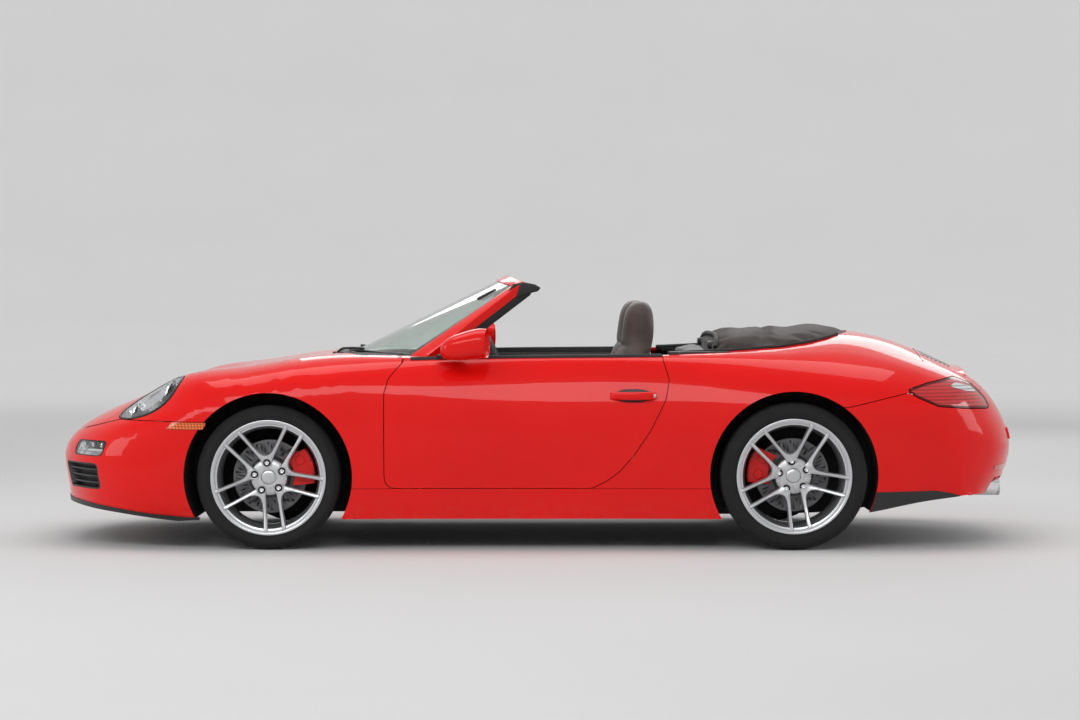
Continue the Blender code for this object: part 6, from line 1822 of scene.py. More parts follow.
@dataclass
class Windscreen:
    """The raked screen: its glass, red frame, black seals, wipers and inside mirror."""

    base: tuple[Point, Point] = ((-.900, 0, .855), (-.590, .650, .845))
    top: tuple[Point, Point] = ((-.186, 0, 1.205), (-.105, .510, 1.180))
    bow: float = 2.2
    foot: float = -.16
    pillar: float = 0.055
    depth: float = 0.034

    def point(self, across: float, up: float, out: float = 0.0) -> Vector:
        """A point of the screen's sheet, by its shares across and up, and its distance outwards."""
        bow = abs(across) ** self.bow
        ends = [Vector((middle[0] + (side[0] - middle[0]) * bow, side[1] * across,
                        middle[2] + (side[2] - middle[2]) * bow))
                for middle, side in (self.base, self.top)]
        slope = (ends[1] - ends[0]).normalized()
        normal = Vector((-slope.z, 0.35 * across, slope.x)).normalized()
        return ends[0].lerp(ends[1], up) + normal * out

    def slab(self, side: float, low: float, high: float, front: float, back: float, columns: int = 56,
             rows: int = 14) -> bpy.types.Object:
        """A layer of the screen between two shares of its height and two distances outwards."""
        def at(out: float) -> Callable[[float, float], Vector]:
            """The layer's face at one distance."""
            return lambda u, v: self.point(u * side, low + (high - low) * (v + 1) / 2, out)
        return Bench.slab(at(front), at(back), columns, rows)

    def build(self, skin: Skin) -> None:
        """Make and dress the windscreen."""
        height = (Vector(self.top[0]) - Vector(self.base[0])).length
        reach, wide = 1 + self.pillar / height, 1 + self.pillar / self.top[1][1]
        body = skin.volume(-.0005)
        frame_ring = self.slab(wide, self.foot, reach, .002, -self.depth)
        Bench.cut(frame_ring, self.slab(1, self.foot - .1, 1, .05, -.12), solver=Solver.SAFE)
        Bench.cut(frame_ring, body, keep=True)
        Bench.bevelled(frame_ring, .009, 3, 50)
        Bench.piece(frame_ring, "windscreen_frame_look", Finishes.PAINT, "body", ["windscreen_frame"])
        seal = self.slab(wide - .012, self.foot, reach - .012, -self.depth - .0005, -self.depth - .040)
        Bench.cut(seal, self.slab(wide - .075, self.foot - .1, 1.015, .05, -.20), solver=Solver.SAFE)
        Bench.cut(seal, body, keep=True)
        Bench.bevelled(seal, .007, 2, 50)
        Bench.piece(seal, "windscreen_seal", Finishes.SEAL)
        for side in Side:
            ends = sorted((side.sign * .505, side.sign * .560))
            tip = Outline.rounded(((-.100, 1.188), (-.055, 1.196), (-.004, 1.186), (.026, 1.170),
                                   (.012, 1.155), (-.050, 1.140), (-.135, 1.108), (-.150, 1.118)), .006)
            Bench.piece(Bench.prism(tip, "Y", ends[0], ends[1], .005, 2), f"header_seal_{side.word}",
                        Finishes.SEAL)
        glass = self.slab(.9994, self.foot, .9992, -.0035, -.0085)
        Bench.cut(glass, body, keep=True)
        Bench.piece(glass, "windscreen_glass_look", Finishes.SCREEN, "body", ["windscreen_glass"])
        band = self.slab(.996, self.foot, .996, -.0090, -.0096)
        Bench.cut(band, self.slab(.955, .045, .930, .05, -.10), solver=Solver.SAFE)
        Bench.cut(band, body, keep=True)
        Bench.piece(band, "windscreen_band", Finishes.TRIM)
        Bench.drop(body)
        self.mirror()
        self.wipers()
        self.visors()

    def mirror(self) -> None:
        """The inside mirror on its stalk."""
        top = self.point(0, .93, -.012)
        stalk = Bench.tube([tuple(top), tuple(top + Vector((.030, 0, -.012))),
                            tuple(top + Vector((.055, 0, -.030)))], .008, 10, 4)
        housing = Bench.prism(Outline.oval((0, 0), (.122, .034), 48, 3.2), "X", 0, .034, .011, 3)
        Bench.turned(housing, 6, "Z")
        Bench.moved(housing, tuple(top + Vector((.040, 0, -.052))))
        Bench.piece(Bench.gather([stalk, housing]), "inside_mirror", Finishes.CABIN_PLASTIC)
        face = Bench.prism(Outline.oval((0, 0), (.116, .028), 48, 3.2), "X", .0338, .0352)
        Bench.turned(face, 6, "Z")
        Bench.piece(Bench.moved(face, tuple(top + Vector((.040, 0, -.052)))), "inside_mirror_glass",
                    Finishes.MIRROR)

    def wipers(self) -> None:
        """Two wipers lying along the foot of the screen."""
        parts = []
        for start, end in ((-.08, -.62), (.50, -.04)):
            path = []
            for k in range(9):
                y = start + (end - start) * k / 8
                across = y / self.base[1][1]
                path.append(tuple(self.point(across, .035 + .012 * math.sin(math.pi * k / 8), .012)))
            blade = Bench.tube(path, .0045, 6, 3)
            arm_start = Vector(path[1]) + Vector((-.075, .02, -.030))
            middle = Vector(path[4]) + Vector((0, 0, .010))
            elbow = (arm_start + middle) / 2 + Vector((0, 0, .020))
            route = (arm_start, arm_start + Vector((.02, -.03, .028)), elbow, middle)
            arm = Bench.tube([tuple(spot) for spot in route], .0058, 6, 4)
            knob = Bench.spun([(0, 0), (0, .017), (.014, .017), (.020, .012), (.021, 0)], 24,
                              tuple(arm_start + Vector((0, 0, -.014))), (0, 0, 1), closed=False)
            parts += [blade, arm, knob]
        Bench.piece(Bench.gather(parts), "wipers", Finishes.TRIM)

    def visors(self) -> None:
        """Sun visors folded against the header."""
        for side in Side:
            middle = self.point(side.sign * .48, .90, -.030)
            pad = Bench.box((-.050, -.160, -.008), (.050, .160, .008), .0075, 3)
            Bench.turned(pad, -27, "Y")
            Bench.piece(Bench.moved(pad, tuple(middle)), f"sun_visor_{side.word}", Finishes.DASH_HIDE)


@dataclass
class DoorFittings:
    """What is fixed to the doors: handles, belt seals, inner trims and mirrors."""

    skin: Skin
    handle: tuple[float, float] = (.335, .544)
    handle_height: float = .690
    mirror_spot: Point = (-.310, -.893, .925)

    def build(self) -> None:
        """Fit both doors."""
        for part, name, finish in ((self.pull(), "handle", Finishes.PAINT),
                                   (self.cup(), "handle_cup", Finishes.TRIM),
                                   (self.lock(), "lock", Finishes.SATIN),
                                   (self.belt(), "belt_seal", Finishes.SEAL),
                                   (self.trim_panel(), "door_trim", Finishes.DASH_HIDE),
                                   (self.armrest(), "armrest", Finishes.HIDE),
                                   (self.inner_handle(), "inner_handle", Finishes.SATIN),
                                   (self.pocket(), "door_pocket", Finishes.CABIN_PLASTIC),
                                   (self.speaker(), "door_speaker", Finishes.GRILLE),
                                   (self.mirror_shell(), "mirror_shell", Finishes.PAINT),
                                   (self.mirror_foot(), "mirror_foot", Finishes.TRIM),
                                   (self.mirror_glass(), "mirror_glass", Finishes.MIRROR)):
            for side in Side:
                made = Bench.piece(Bench.on(side, part), f"{name}_{side.word}", finish, f"door_{side.word}")
                name == "armrest"
            Bench.drop(part)

    def pull(self) -> bpy.types.Object:
        """The body-coloured pull, bowed off the door."""
        first, last = self.handle
        rings = []
        for k in range(17):
            share = k / 16
            x = first + (last - first) * share
            out = .030 * math.sin(math.pi * share) ** .45
            size = .0155 + .003 * math.sin(math.pi * share)
            spot = self.skin.beside(x, self.handle_height)
            rings.append([(x, spot.y - out + .012 * math.cos(math.tau * i / 16) * .62,
                           self.handle_height + size * math.sin(math.tau * i / 16)) for i in range(16)])
        return Bench.strip(rings)

    def cup(self) -> bpy.types.Object:
        """The dark dished recess behind the pull, as a shallow cup in the skin."""
        middle = (sum(self.handle) / 2, self.handle_height)
        room = Bench.prism(Outline.oval(middle, (.078, .030), 40, 2.6), "Y", -1.2, -.5)
        return self.skin.shade(Bench.trim(self.skin.sheet(-.0006, .004), room))

    def lock(self) -> bpy.types.Object:
        """The key lock at the handle's rear end."""
        spot = self.skin.beside(self.handle[1] - .012, self.handle_height)
        return Bench.spun([(0, 0), (0, .0085), (.024, .0085), (.0262, .0065), (.0262, .002), (.0240, .0018),
                           (.0240, 0)], 24, tuple(spot + Vector((0, .004, 0))), (0, -1, 0), closed=False)

    def belt(self) -> bpy.types.Object:
        """The black seal along the top of the door."""
        rings = []
        section = ((-.7600, -.004), (-.7600, .004), (-.7570, .0085), (-.7450, .0105), (-.7330, .0085),
                   (-.7310, .002), (-.7310, -.02))
        for k in range(25):
            x = -.560 + 1.130 * k / 24
            z = self.skin.over(x, -.748).z
            rings.append([(x, y, z + h) for y, h in section])
        return Bench.strip(rings)

    def trim_panel(self) -> bpy.types.Object:
        """The leather-covered inner panel."""
        corners = ((-.645, .300), (-.645, .700), (-.610, .800), (-.575, .848), (.545, .848), (.570, .760),
                   (.545, .650), (.430, .450), (.330, .335), (.240, .300))
        line = Outline.grown(Outline.rounded(corners, .05), -.004)
        panel = Bench.prism(line, "Y", -.7475, -.7250, .008, 3)
        crease = ((-.60, .690), (-.30, .672), (.05, .668), (.40, .690), (.55, .715))
        groove = Bench.tube([(x, -.7250, z) for x, z in crease], .004, 6, 6)
        return Bench.cut(panel, groove)

    def armrest(self) -> bpy.types.Object:
        """The padded armrest with its grab handle."""
        section = ((0, -.040), (.55, -.036), (.95, -.018), (1.0, .000), (.92, .016), (.55, .024),
                   (0, .026), (-.15, 0))
        rings = []
        for k in range(19):
            share = k / 18
            x = -.42 + .80 * share
            wide = .058 * math.sin(math.pi * min(share * 1.1 + .06, 1)) ** .4
            rings.append([(x, -.726 + wide * y, .585 + .030 * share + z) for y, z in section])
        return Bench.rounded(Bench.strip(rings), 1)

    def inner_handle(self) -> bpy.types.Object:
        """The door release on the trim."""
        return Bench.tube([(-.36, -.722, .715), (-.33, -.700, .715), (-.26, -.698, .717),
                           (-.225, -.722, .720)], .008, 8, 5, flatten=1.3)

    def pocket(self) -> bpy.types.Object:
        """The storage bin along the bottom of the door."""
        shape = Outline.rounded(((-.600, .320), (-.600, .420), (.300, .420), (.360, .400), (.300, .320)), .03)
        return Bench.prism(shape, "Y", -.7255, -.690, .012, 3)

    def speaker(self) -> bpy.types.Object:
        """The round speaker grille."""
        return Bench.spun([(0, 0), (.004, 0), (.005, .05), (.004, .066), (.0, .070)], 40,
                          (-.500, -.7255, .540), (0, 1, 0), closed=False)

    def mirror_rings(self) -> list[list[Point]]:
        """Rings of the mirror's housing, from its rounded rear edge forward to its low nose."""
        rows = ((.0885, .86), (.0960, .93), (.0975, .97), (.0900, 1.0), (.0600, 1.01), (.0200, .985),
                (-.0200, .925), (-.0550, .820), (-.0800, .690), (-.0960, .540), (-.1050, .360),
                (-.1085, .120))
        cx, cy, cz = self.mirror_spot
        rings = []
        for x, size in rows:
            ring = []
            for i in range(32):
                angle = math.tau * i / 32
                c, s = math.cos(angle), math.sin(angle)
                drop = .030 * max(.06 - x, 0) / .165
                ring.append((cx + x + .012 * c * size, cy + .086 * size * math.copysign(abs(c) ** .8, c),
                             cz - drop + .0665 * size * math.copysign(abs(s) ** .86, s)))
            rings.append(ring)
        return rings

    def mirror_shell(self) -> bpy.types.Object:
        """The red housing, open at the back for the glass."""
        cx, cy, cz = self.mirror_spot
        shell = Bench.strip(self.mirror_rings())
        room = Bench.prism(Outline.oval((cy, cz - .001), (.0745, .0560), 40, 2.6), "X", cx + .070, cx + .2)
        return Bench.cut(shell, room)

    def mirror_foot(self) -> bpy.types.Object:
        """The black arm from the door's front corner to the housing."""
        cx, cy, cz = self.mirror_spot
        rings = []
        for share in (0, .25, .5, .75, 1):
            spot = Vector((-.385, -.772, .866)).lerp(Vector((cx - .010, cy + .050, cz - .052)), share)
            wide, high = .062 - .022 * share, .014 + .006 * share
            rings.append([(spot.x + wide * math.cos(math.tau * i / 16), spot.y,
                           spot.z + high * math.sin(math.tau * i / 16))
                          for i in range(16)])
        return Bench.rounded(Bench.strip(rings), 1)

    def mirror_glass(self) -> bpy.types.Object:
        """The mirror's glass, just inside the housing's rear face."""
        cx, cy, cz = self.mirror_spot
        face = Outline.oval((cy, cz - .001), (.0728, .0543), 40, 2.6)
        return Bench.prism(face, "X", cx + .066, cx + .0765, .002, 2)


@dataclass
class Front:
    """The nose's intakes, lips and cowl louvres."""

    skin: Skin

    def build(self) -> None:
        """Fit the front trims."""
        lip_room = Bench.prism([(-2.4, .05), (-2.4, .212), (-2.185, .212), (-2.06, .204), (-1.90, .184),
                                (-1.72, .160), (-1.565, .1465), (-1.50, .1465), (-1.50, .05)], "Y", -3, 3)
        lip = Bench.trim(self.skin.sheet(-.0035, .010), lip_room)
        Bench.piece(self.skin.shade(lip), "front_lip", Finishes.TRIM)
        grilles, frames, slats = [], [], []
        for shape in (INTAKE_SIDE, INTAKE_OTHER_SIDE, INTAKE_MIDDLE):
            line = Outline.rounded(shape, .025)
            grilles.append(Bench.trim(self.skin.sheet(.036, .041),
                                      Bench.prism(Outline.grown(line, .004), "X", *NOSE_REACH)))
            ring = Bench.trim(self.skin.sheet(.0012, .041),
                              Bench.prism(Outline.grown(line, -.0004), "X", *NOSE_REACH))
            frames.append(Bench.cut(ring, Bench.prism(Outline.grown(line, -.0075), "X", -2.7, -1.5)))
            low, high = min(z for _, z in shape), max(z for _, z in shape)
            for k in range(1, 4):
                z = low + (high - low) * k / 4
                bar = Bench.trim(self.skin.sheet(.010, .032),
                                 Bench.box((-2.6, -2, z - .0035), (-1.6, 2, z + .0035)))
                slats.append(Bench.trim(bar, Bench.prism(Outline.grown(line, -.004), "X", *NOSE_REACH)))
        Bench.piece(self.skin.shade(Bench.gather(grilles), .05), "intake_grilles", Finishes.GRILLE)
        Bench.piece(self.skin.shade(Bench.gather(frames), .05), "intake_frames", Finishes.TRIM)
        Bench.piece(self.skin.shade(Bench.gather(slats), .05), "intake_slats", Finishes.TRIM)
        louvres = []
        for k in range(22):
            y = -.46 + .92 * k / 21
            x = -.905 + .10 * abs(y) ** 1.6
            spot = self.skin.over(x, y)
            blade = Bench.turned(Bench.box((-.016, -.012, -.001), (.016, .012, .0018), .001), 14, "Y")
            louvres.append(Bench.moved(blade, tuple(spot)))
        Bench.piece(Bench.gather(louvres), "cowl_louvres", Finishes.TRIM)


@dataclass
class Tail:
    """The engine lid's grille and spoiler, the third brake light, the plate bay and the tail pipes."""

    skin: Skin
    tip_y: tuple[float, float] = (.455, .545)
    tip_height: float = .265

    def build(self) -> None:
        """Fit the rear trims."""
        self.grille()
        self.spoiler()
        self.plate()
        self.bumper_trims()
        self.valances()
        self.pipes()

    def grille(self) -> None:
        """The slats in front of the engine lid."""
        slats = []
        for k in range(9):
            x = 1.800 + .020 * k
            rings = []
            for i in range(25):
                y = (-.330 + .660 * i / 24) * (1 - .006 * k)
                spot = self.skin.over(x, y)
                rings.append([(x - .0075, y, spot.z - .004), (x - .006, y, spot.z + .0025),
                              (x + .006, y, spot.z + .0005), (x + .0075, y, spot.z - .005)])
            slats.append(Bench.strip(rings))
        Bench.piece(Bench.gather(slats), "engine_grille", Finishes.TRIM, "engine_lid")

    def spoiler(self) -> None:
        """The lip along the engine lid's rear edge, and the third brake light."""
        rings = []
        for i in range(49):
            y = -.452 + .904 * i / 48
            drop = abs(y / .452) ** 6 * .018
            x = 1.988 - .018 * abs(y / .45) ** 2
            base = self.skin.over(x - .030, y).z
            rings.append([(x - .060, y, self.skin.over(x - .060, y).z - .004),
                          (x - .045, y, self.skin.over(x - .045, y).z + .003),
                          (x - .015, y, base + .0015 - drop * .4), (x + .010, y, base + .0010 - drop),
                          (x + .017, y, base - .0035 - drop), (x + .013, y, base - .014 - drop),
                          (x - .005, y, base - .020), (x - .040, y, base - .012)])
        Bench.piece(Bench.rounded(Bench.strip(rings), 1), "spoiler_lip", Finishes.PAINT, "engine_lid")
        light = Bench.box((1.7790, -.110, .8770), (1.7930, .110, .8850), .003)
        Bench.turned(light, 24, "Y", (1.786, 0, .8810))
        Bench.piece(light, "third_brake_light", Finishes.RED_LENS, "engine_lid")

    def plate(self) -> None:
        """The plate's bay, and a blank plate in it."""
        bay_room = Bench.prism(Outline.grown(PLATE_BAY, .01), "X", *TAIL_REACH)
        bay = Bench.trim(self.skin.sheet(.018, .024), bay_room)
        Bench.piece(self.skin.shade(bay, .03), "plate_bay", Finishes.TRIM)
        plate_x = self.skin.behind(.158, .46).x - .014
        plate = Bench.box((plate_x - .003, -.158, .408), (plate_x, .158, .512), .003)
        Bench.piece(plate, "blank_plate", Plastic("plate_white", (.62, .62, .60), .4, Grain.SMOOTH))

    def bumper_trims(self) -> None:
        """The raised pads beside the plate and the reflectors under them."""
        pads, reflectors = [], []
        for sign in (-1, 1):
            corners = [(sign * .345, .475), (sign * .445, .475), (sign * .445, .530), (sign * .345, .530)]
            room = Bench.prism(Outline.rounded(corners, .016), "X", *TAIL_REACH)
            pad = Bench.trim(self.skin.sheet(-.0070, .004), room)
            pads.append(Bench.bevelled(pad, .003, 2, 50))
            corners = [(sign * .50, .345), (sign * .64, .345), (sign * .64, .366), (sign * .50, .366)]
            room = Bench.prism(Outline.rounded(corners, .008), "X", 1.90, 2.4)
            reflectors.append(Bench.trim(self.skin.sheet(-.003, .003), room))
        Bench.piece(self.skin.shade(Bench.gather(pads), .03), "bumper_pads", Finishes.PAINT)
        # The reflectors share the red lens's glow: a painted glow, as they hold no lamp.
        Bench.piece(self.skin.shade(Bench.gather(reflectors), .03), "rear_reflectors", Finishes.RED_LENS)

    def valances(self) -> None:
        """The black foot of the rear bumper, behind the wheels and between the tail pipes."""
        room = Bench.prism([(1.45, .05), (1.45, .258), (1.80, .262), (1.860, .252), (1.915, .2375),
                            (1.916, .05)], "Y", -3, -.56)
        valance = Bench.trim(self.skin.sheet(-.0025, .010), Bench.gather([room, Bench.mirrored(room)]))
        rim = (BodyShell.arch_radius + .001,) * 2
        Bench.cut(valance, Bench.prism(Outline.oval(BodyShell.rear_arch, rim, 96), "Y", -1.2, 1.2))
        Bench.piece(self.skin.shade(valance), "rear_side_valance", Finishes.TRIM)
        middle = Bench.trim(self.skin.sheet(-.002, .010), Bench.prism(
            Outline.rounded(((-.400, .05), (-.400, .290), (-.360, .318), (.360, .318), (.400, .290),
                             (.400, .05)), .02), "X", 1.98, 2.4))
        Bench.piece(self.skin.shade(middle), "rear_valance", Finishes.TRIM)

    def pipes(self) -> None:
        """Two chromed tail pipes on each side, cut slanting."""
        tips = []
        for sign in (-1, 1):
            for y in self.tip_y:
                profile = [(-.10, .0365), (-.10, .0410), (.078, .0410), (.083, .0400), (.0845, .0382),
                           (.083, .0372), (.05, .0368)]
                tip = Bench.spun(profile, 40, (2.030, sign * y, self.tip_height), (1, 0, 0))
                for vert in tip.data.vertices:
                    vert.co.x += (vert.co.z - self.tip_height) * .22
                tips.append(tip)
        Bench.piece(Bench.gather(tips), "tail_pipes", Finishes.CHROME)


@dataclass
class SoftTop:
    """The folded fabric top behind the seats, its tucked folds and its black trims."""

    skin: Skin
    line: tuple[Flat, ...] = BodyShell.top_line
    front: float = .812
    half: float = .632
    last_x: float = 1.46
    seam_x: float = 1.085
    seam_bow: float = .060

    def half_width(self, x: float) -> float:
        """How far the stack reaches from the middle at a station."""
        xs, ys = [point[0] for point in self.line], [point[1] for point in self.line]
        return float(np.interp(x, [.5] + xs, [.645] + ys))

    def rear_at(self, y: float) -> float:
        """Where the stack ends at a distance from the middle."""
        ys, xs = [point[1] for point in self.line][::-1], [point[0] for point in self.line][::-1]
        return float(np.interp(abs(y), ys, xs))

    def surface(self, u: float, v: float) -> Vector:
        """A point of the stack's top: u across from -1 to 1, v from the front to the back."""
        y = u * self.half
        rear = self.rear_at(y) - .006
        share = (v + 1) / 2
        x = self.front + (rear - self.front) * share
        edge = self.skin.over(min(x, self.last_x), y).z
        side = 1 - abs(u) ** 9
        middle = float(np.interp(share, (0, .04, .10, .20, .35, .55, .75, .90, 1),
                                 (.024, .046, .060, .064, .054, .040, .026, .013, .002)))
        pleat = .0055 * math.sin(30 * x + 4.5 * u * u) * side * (share * (1 - share) * 4) ** .5
        gather = .0035 * math.sin(48 * y + 3 * math.sin(9 * x)) * abs(u) ** 3 * side
        seam = -.011 * math.exp(-((x - self.seam_x + self.seam_bow * u * u) / .0080) ** 2)
        crown = middle * side
        return Vector((x, y, edge - .0035 + crown + pleat + gather + seam * side))

    def held(self, spot: Vector) -> float:
        """How firmly the cloth is fixed at a spot: below, along its edges and along its cross seam."""
        rear = self.rear_at(spot.y) - .006
        share = (spot.x - self.front) / (rear - self.front)
        aside = abs(spot.y) / self.half
        seam = math.exp(-((spot.x - self.seam_x + self.seam_bow * aside * aside) / .012) ** 2)
        low = 1 if spot.z < self.skin.over(min(spot.x, self.last_x), spot.y).z - .012 else 0
        return max(seam, low, 1 if aside > .97 or share > .965 or share < .02 else 0)

    def side_trims(self) -> None:
        """Panels beside the rear seats that line the quarter panels behind the doors."""
        line = ((.290, .170), (.290, .285), (.335, .312), (.393, .360), (.450, .425), (.526, .533),
                (.594, .668), (.612, .760), (.590, .835), (.720, .900), (.760, .285), (.760, .170))
        room = Bench.prism(Outline.rounded(line, .02), "Y", -3, -.60)
        panel = Bench.trim(self.skin.sheet(.0155, .0200), room)
        for side in Side:
            lining = self.skin.shade(Bench.on(side, panel), .03)
            Bench.piece(lining, f"rear_side_trim_{side.word}", Finishes.DASH_HIDE)
        Bench.drop(panel)

    def build(self) -> None:
        """Make the fabric and its trims."""
        self.side_trims()

        def under(u: float, v: float) -> Vector:
            """The stack's flat underside."""
            top = self.surface(u, v)
            return Vector((top.x, top.y, .742))

        cloth = Bench.slab(self.surface, under, 96, 72, crisp_deg=60)
        Bench.swollen(cloth, self.held, cap=.009, voxel=0, pressure=2.5, growth=.02)
        Bench.crisped(cloth, 60)
        Bench.piece(cloth, "soft_top_cloth", Finishes.TOP_CLOTH, "body", ["folded_top"])
        ridge = []
        for k in range(33):
            y = -.605 + 1.21 * k / 32
            spot = self.surface(y / self.half, -.90)
            ridge.append((spot.x - .004, y, spot.z + .004))
        Bench.piece(Bench.tube(ridge, .011, 10, 2), "soft_top_front_bead", Finishes.SEAL)
        for side in Side:
            sign = side.sign
            rail = [(x, sign * (self.half_width(x) + .004),
                     self.skin.over(min(x, self.last_x), sign * (self.half_width(x) - .01)).z + .002)
                    for x in np.linspace(.60, 1.40, 26)]
            Bench.piece(Bench.tube(rail, .0085, 8, 2), f"top_well_seal_{side.word}", Finishes.SEAL)
            corner = [(.604, .640), (.604, .7195), (.646, .7195), (.662, .700), (.880, .690), (.880, .640)]
            outline = Outline.rounded([(x, sign * y) for x, y in corner], .012)
            cover = Bench.prism(outline, "Z", .858, .884, .006, 3)
            Bench.piece(cover, f"belt_corner_{side.word}", Finishes.TRIM)
            latch = Bench.box((.795, -.05, .890), (.850, .05, .925), .010, 3)
            Bench.piece(Bench.moved(latch, (0, sign * .42, 0)), f"top_link_{side.word}", Finishes.TRIM)
        shelf = Bench.slab(lambda u, v: Vector((.735 + .045 * v, u * .640,
                                                .868 + .022 * (v + 1) / 2 + .010 * (1 - u * u))),
                           lambda u, v: Vector((.735 + .045 * v, u * .640, .80)), 48, 6)
        Bench.piece(Bench.rounded(shelf, 1), "top_front_flap", Finishes.DASH_HIDE)


@dataclass
class Seat:
    """One front seat: cushion, back with built-in headrest, bolsters and stitched seams."""

    side: Side
    middle: float = .3525
    back_seam: float = .60
    back_pitch: float = .088
    cushion_seam: float = .64
    cushion_pitch: float = .085
    neck: float = .905

    # Rows of the back, from its foot to the top of its headrest: height, front, rear, half width
    back_rows: tuple[tuple[float, ...], ...] = (
        (.300, .200, .300, .205), (.330, .182, .318, .226), (.420, .190, .345, .234),
        (.520, .222, .385, .236), (.620, .262, .425, .236), (.720, .305, .470, .234),
        (.790, .340, .500, .228), (.840, .366, .520, .212), (.880, .384, .534, .184),
        (.915, .394, .542, .157), (.950, .400, .547, .142), (.990, .405, .549, .136),
        (1.030, .411, .547, .131), (1.062, .420, .542, .122), (1.085, .433, .532, .106),
        (1.100, .450, .518, .082), (1.108, .470, .500, .040))
    # Rows of the cushion, from its front edge to its rear: place along the car, foot, top, half width
    cushion_rows: tuple[tuple[float, ...], ...] = (
        (-.139, .310, .345, .196), (-.134, .272, .368, .216), (-.118, .235, .383, .228),
        (-.080, .208, .389, .233), (-.020, .204, .388, .235), (.050, .204, .381, .235),
        (.120, .204, .371, .235), (.190, .204, .361, .234), (.250, .206, .352, .230),
        (.295, .218, .342, .220), (.318, .245, .322, .200))

    def rows(self, table: tuple[tuple[float, ...], ...], count: int) -> np.ndarray:
        """A table's rows, blended smoothly to more of them."""
        table = np.array(table)
        steps = np.linspace(0, len(table) - 1, len(table))
        wanted = np.linspace(0, len(table) - 1, count)
        return Skin.spline(steps, table, wanted)

    def back_rings(self) -> list[list[Point]]:
        """Rings of the seat's back and headrest, with bolsters, seams and cross stitching pressed in."""
        rings = []
        for z, front, rear, half in self.rows(self.back_rows, 92):
            middle, depth = (front + rear) / 2, (rear - front) / 2
            ring = []
            for i in range(72):
                angle = math.tau * i / 72
                c, s = math.cos(angle), math.sin(angle)
                power = .72 if z < .90 else .86
                y = half * math.copysign(abs(s) ** power, s)
                x = middle + depth * math.copysign(abs(c) ** .80, c)
                if c < 0:
                    share = abs(y) / half
                    bolster = .046 * max(share - .62, 0) / .38 * min(max((.86 - z) / .10, 0), 1)
                    bolster *= min((z - .29) / .08, 1)
                    seam = math.exp(-((share - self.back_seam) / .035) ** 2)
                    dip = .007 * seam * min(max((.90 - z) / .06, 0), 1)
                    if share < .58 and .40 < z < .84:
                        dip += .0050 * max(0, math.cos((z - .40) * math.tau / self.back_pitch)) ** 16
                    dip += .009 * math.exp(-((z - self.neck) / .010) ** 2) * (1 - share ** 4)
                    x += dip - bolster * (1 - .35 * max(share - .9, 0) / .1)
                ring.append((x, y, z))
            rings.append(ring)
        return rings

    def back_held(self, spot: Vector) -> float:
        """How firmly the back's cover is sewn down at a spot: along its seams and its channels."""
        half = float(np.interp(spot.z, [row[0] for row in self.back_rows],
                               [row[3] for row in self.back_rows]))
        share = abs(spot.y) / half
        seam = math.exp(-((share - self.back_seam) / .022) ** 2) if spot.z < .90 else 0
        neck = math.exp(-((spot.z - self.neck) / .008) ** 2)
        sewn = share < .58 and .40 < spot.z < .84
        channel = max(0, math.cos((spot.z - .40) * math.tau / self.back_pitch)) ** 24 if sewn else 0
        return max(seam, neck, channel, 1 if spot.z < .32 else 0)

    def cushion_held(self, spot: Vector) -> float:
        """How firmly the cushion's cover is sewn down at a spot: along its seams, channels and foot."""
        half = float(np.interp(spot.x, [row[0] for row in self.cushion_rows],
                               [row[3] for row in self.cushion_rows]))
        share = abs(spot.y) / half
        seam = math.exp(-((share - self.cushion_seam) / .022) ** 2)
        sewn = share < .62 and -.09 < spot.x < .27
        channel = max(0, math.cos((spot.x + .09) * math.tau / self.cushion_pitch)) ** 24 if sewn else 0
        return max(seam, channel, 1 if spot.z < .25 else 0)

    def cushion_rings(self) -> list[list[Point]]:
        """Rings of the cushion, with side bolsters, seams and cross stitching pressed in."""
        rings = []
        for x, low, high, half in self.rows(self.cushion_rows, 64):
            middle, depth = (low + high) / 2, (high - low) / 2
            ring = []
            for i in range(72):
                angle = math.tau * i / 72
                c, s = math.cos(angle), math.sin(angle)
                y = half * math.copysign(abs(c) ** .45, c)
                z = middle + depth * math.copysign(abs(s) ** .62, s)
                if s > 0:
                    share = abs(y) / half
                    z += .040 * max(share - .66, 0) / .34 * s ** .8 * min(max((x + .12) / .08, 0), 1)
                    z -= .007 * math.exp(-((share - self.cushion_seam) / .030) ** 2)
                    if share < .62 and -.09 < x < .27:
                        z -= .0045 * max(0, math.cos((x + .09) * math.tau / self.cushion_pitch)) ** 16
                ring.append((x, y, z))
            rings.append(ring)
        return rings

    def pads(self) -> dict[str, bpy.types.Object]:
        """The seat's two pads, swollen between their seams; every seat gets a copy."""
        return {"seat_cushion": Bench.swollen(Bench.strip(self.cushion_rings()), self.cushion_held),
                "seat_back": Bench.swollen(Bench.strip(self.back_rings()), self.back_held)}

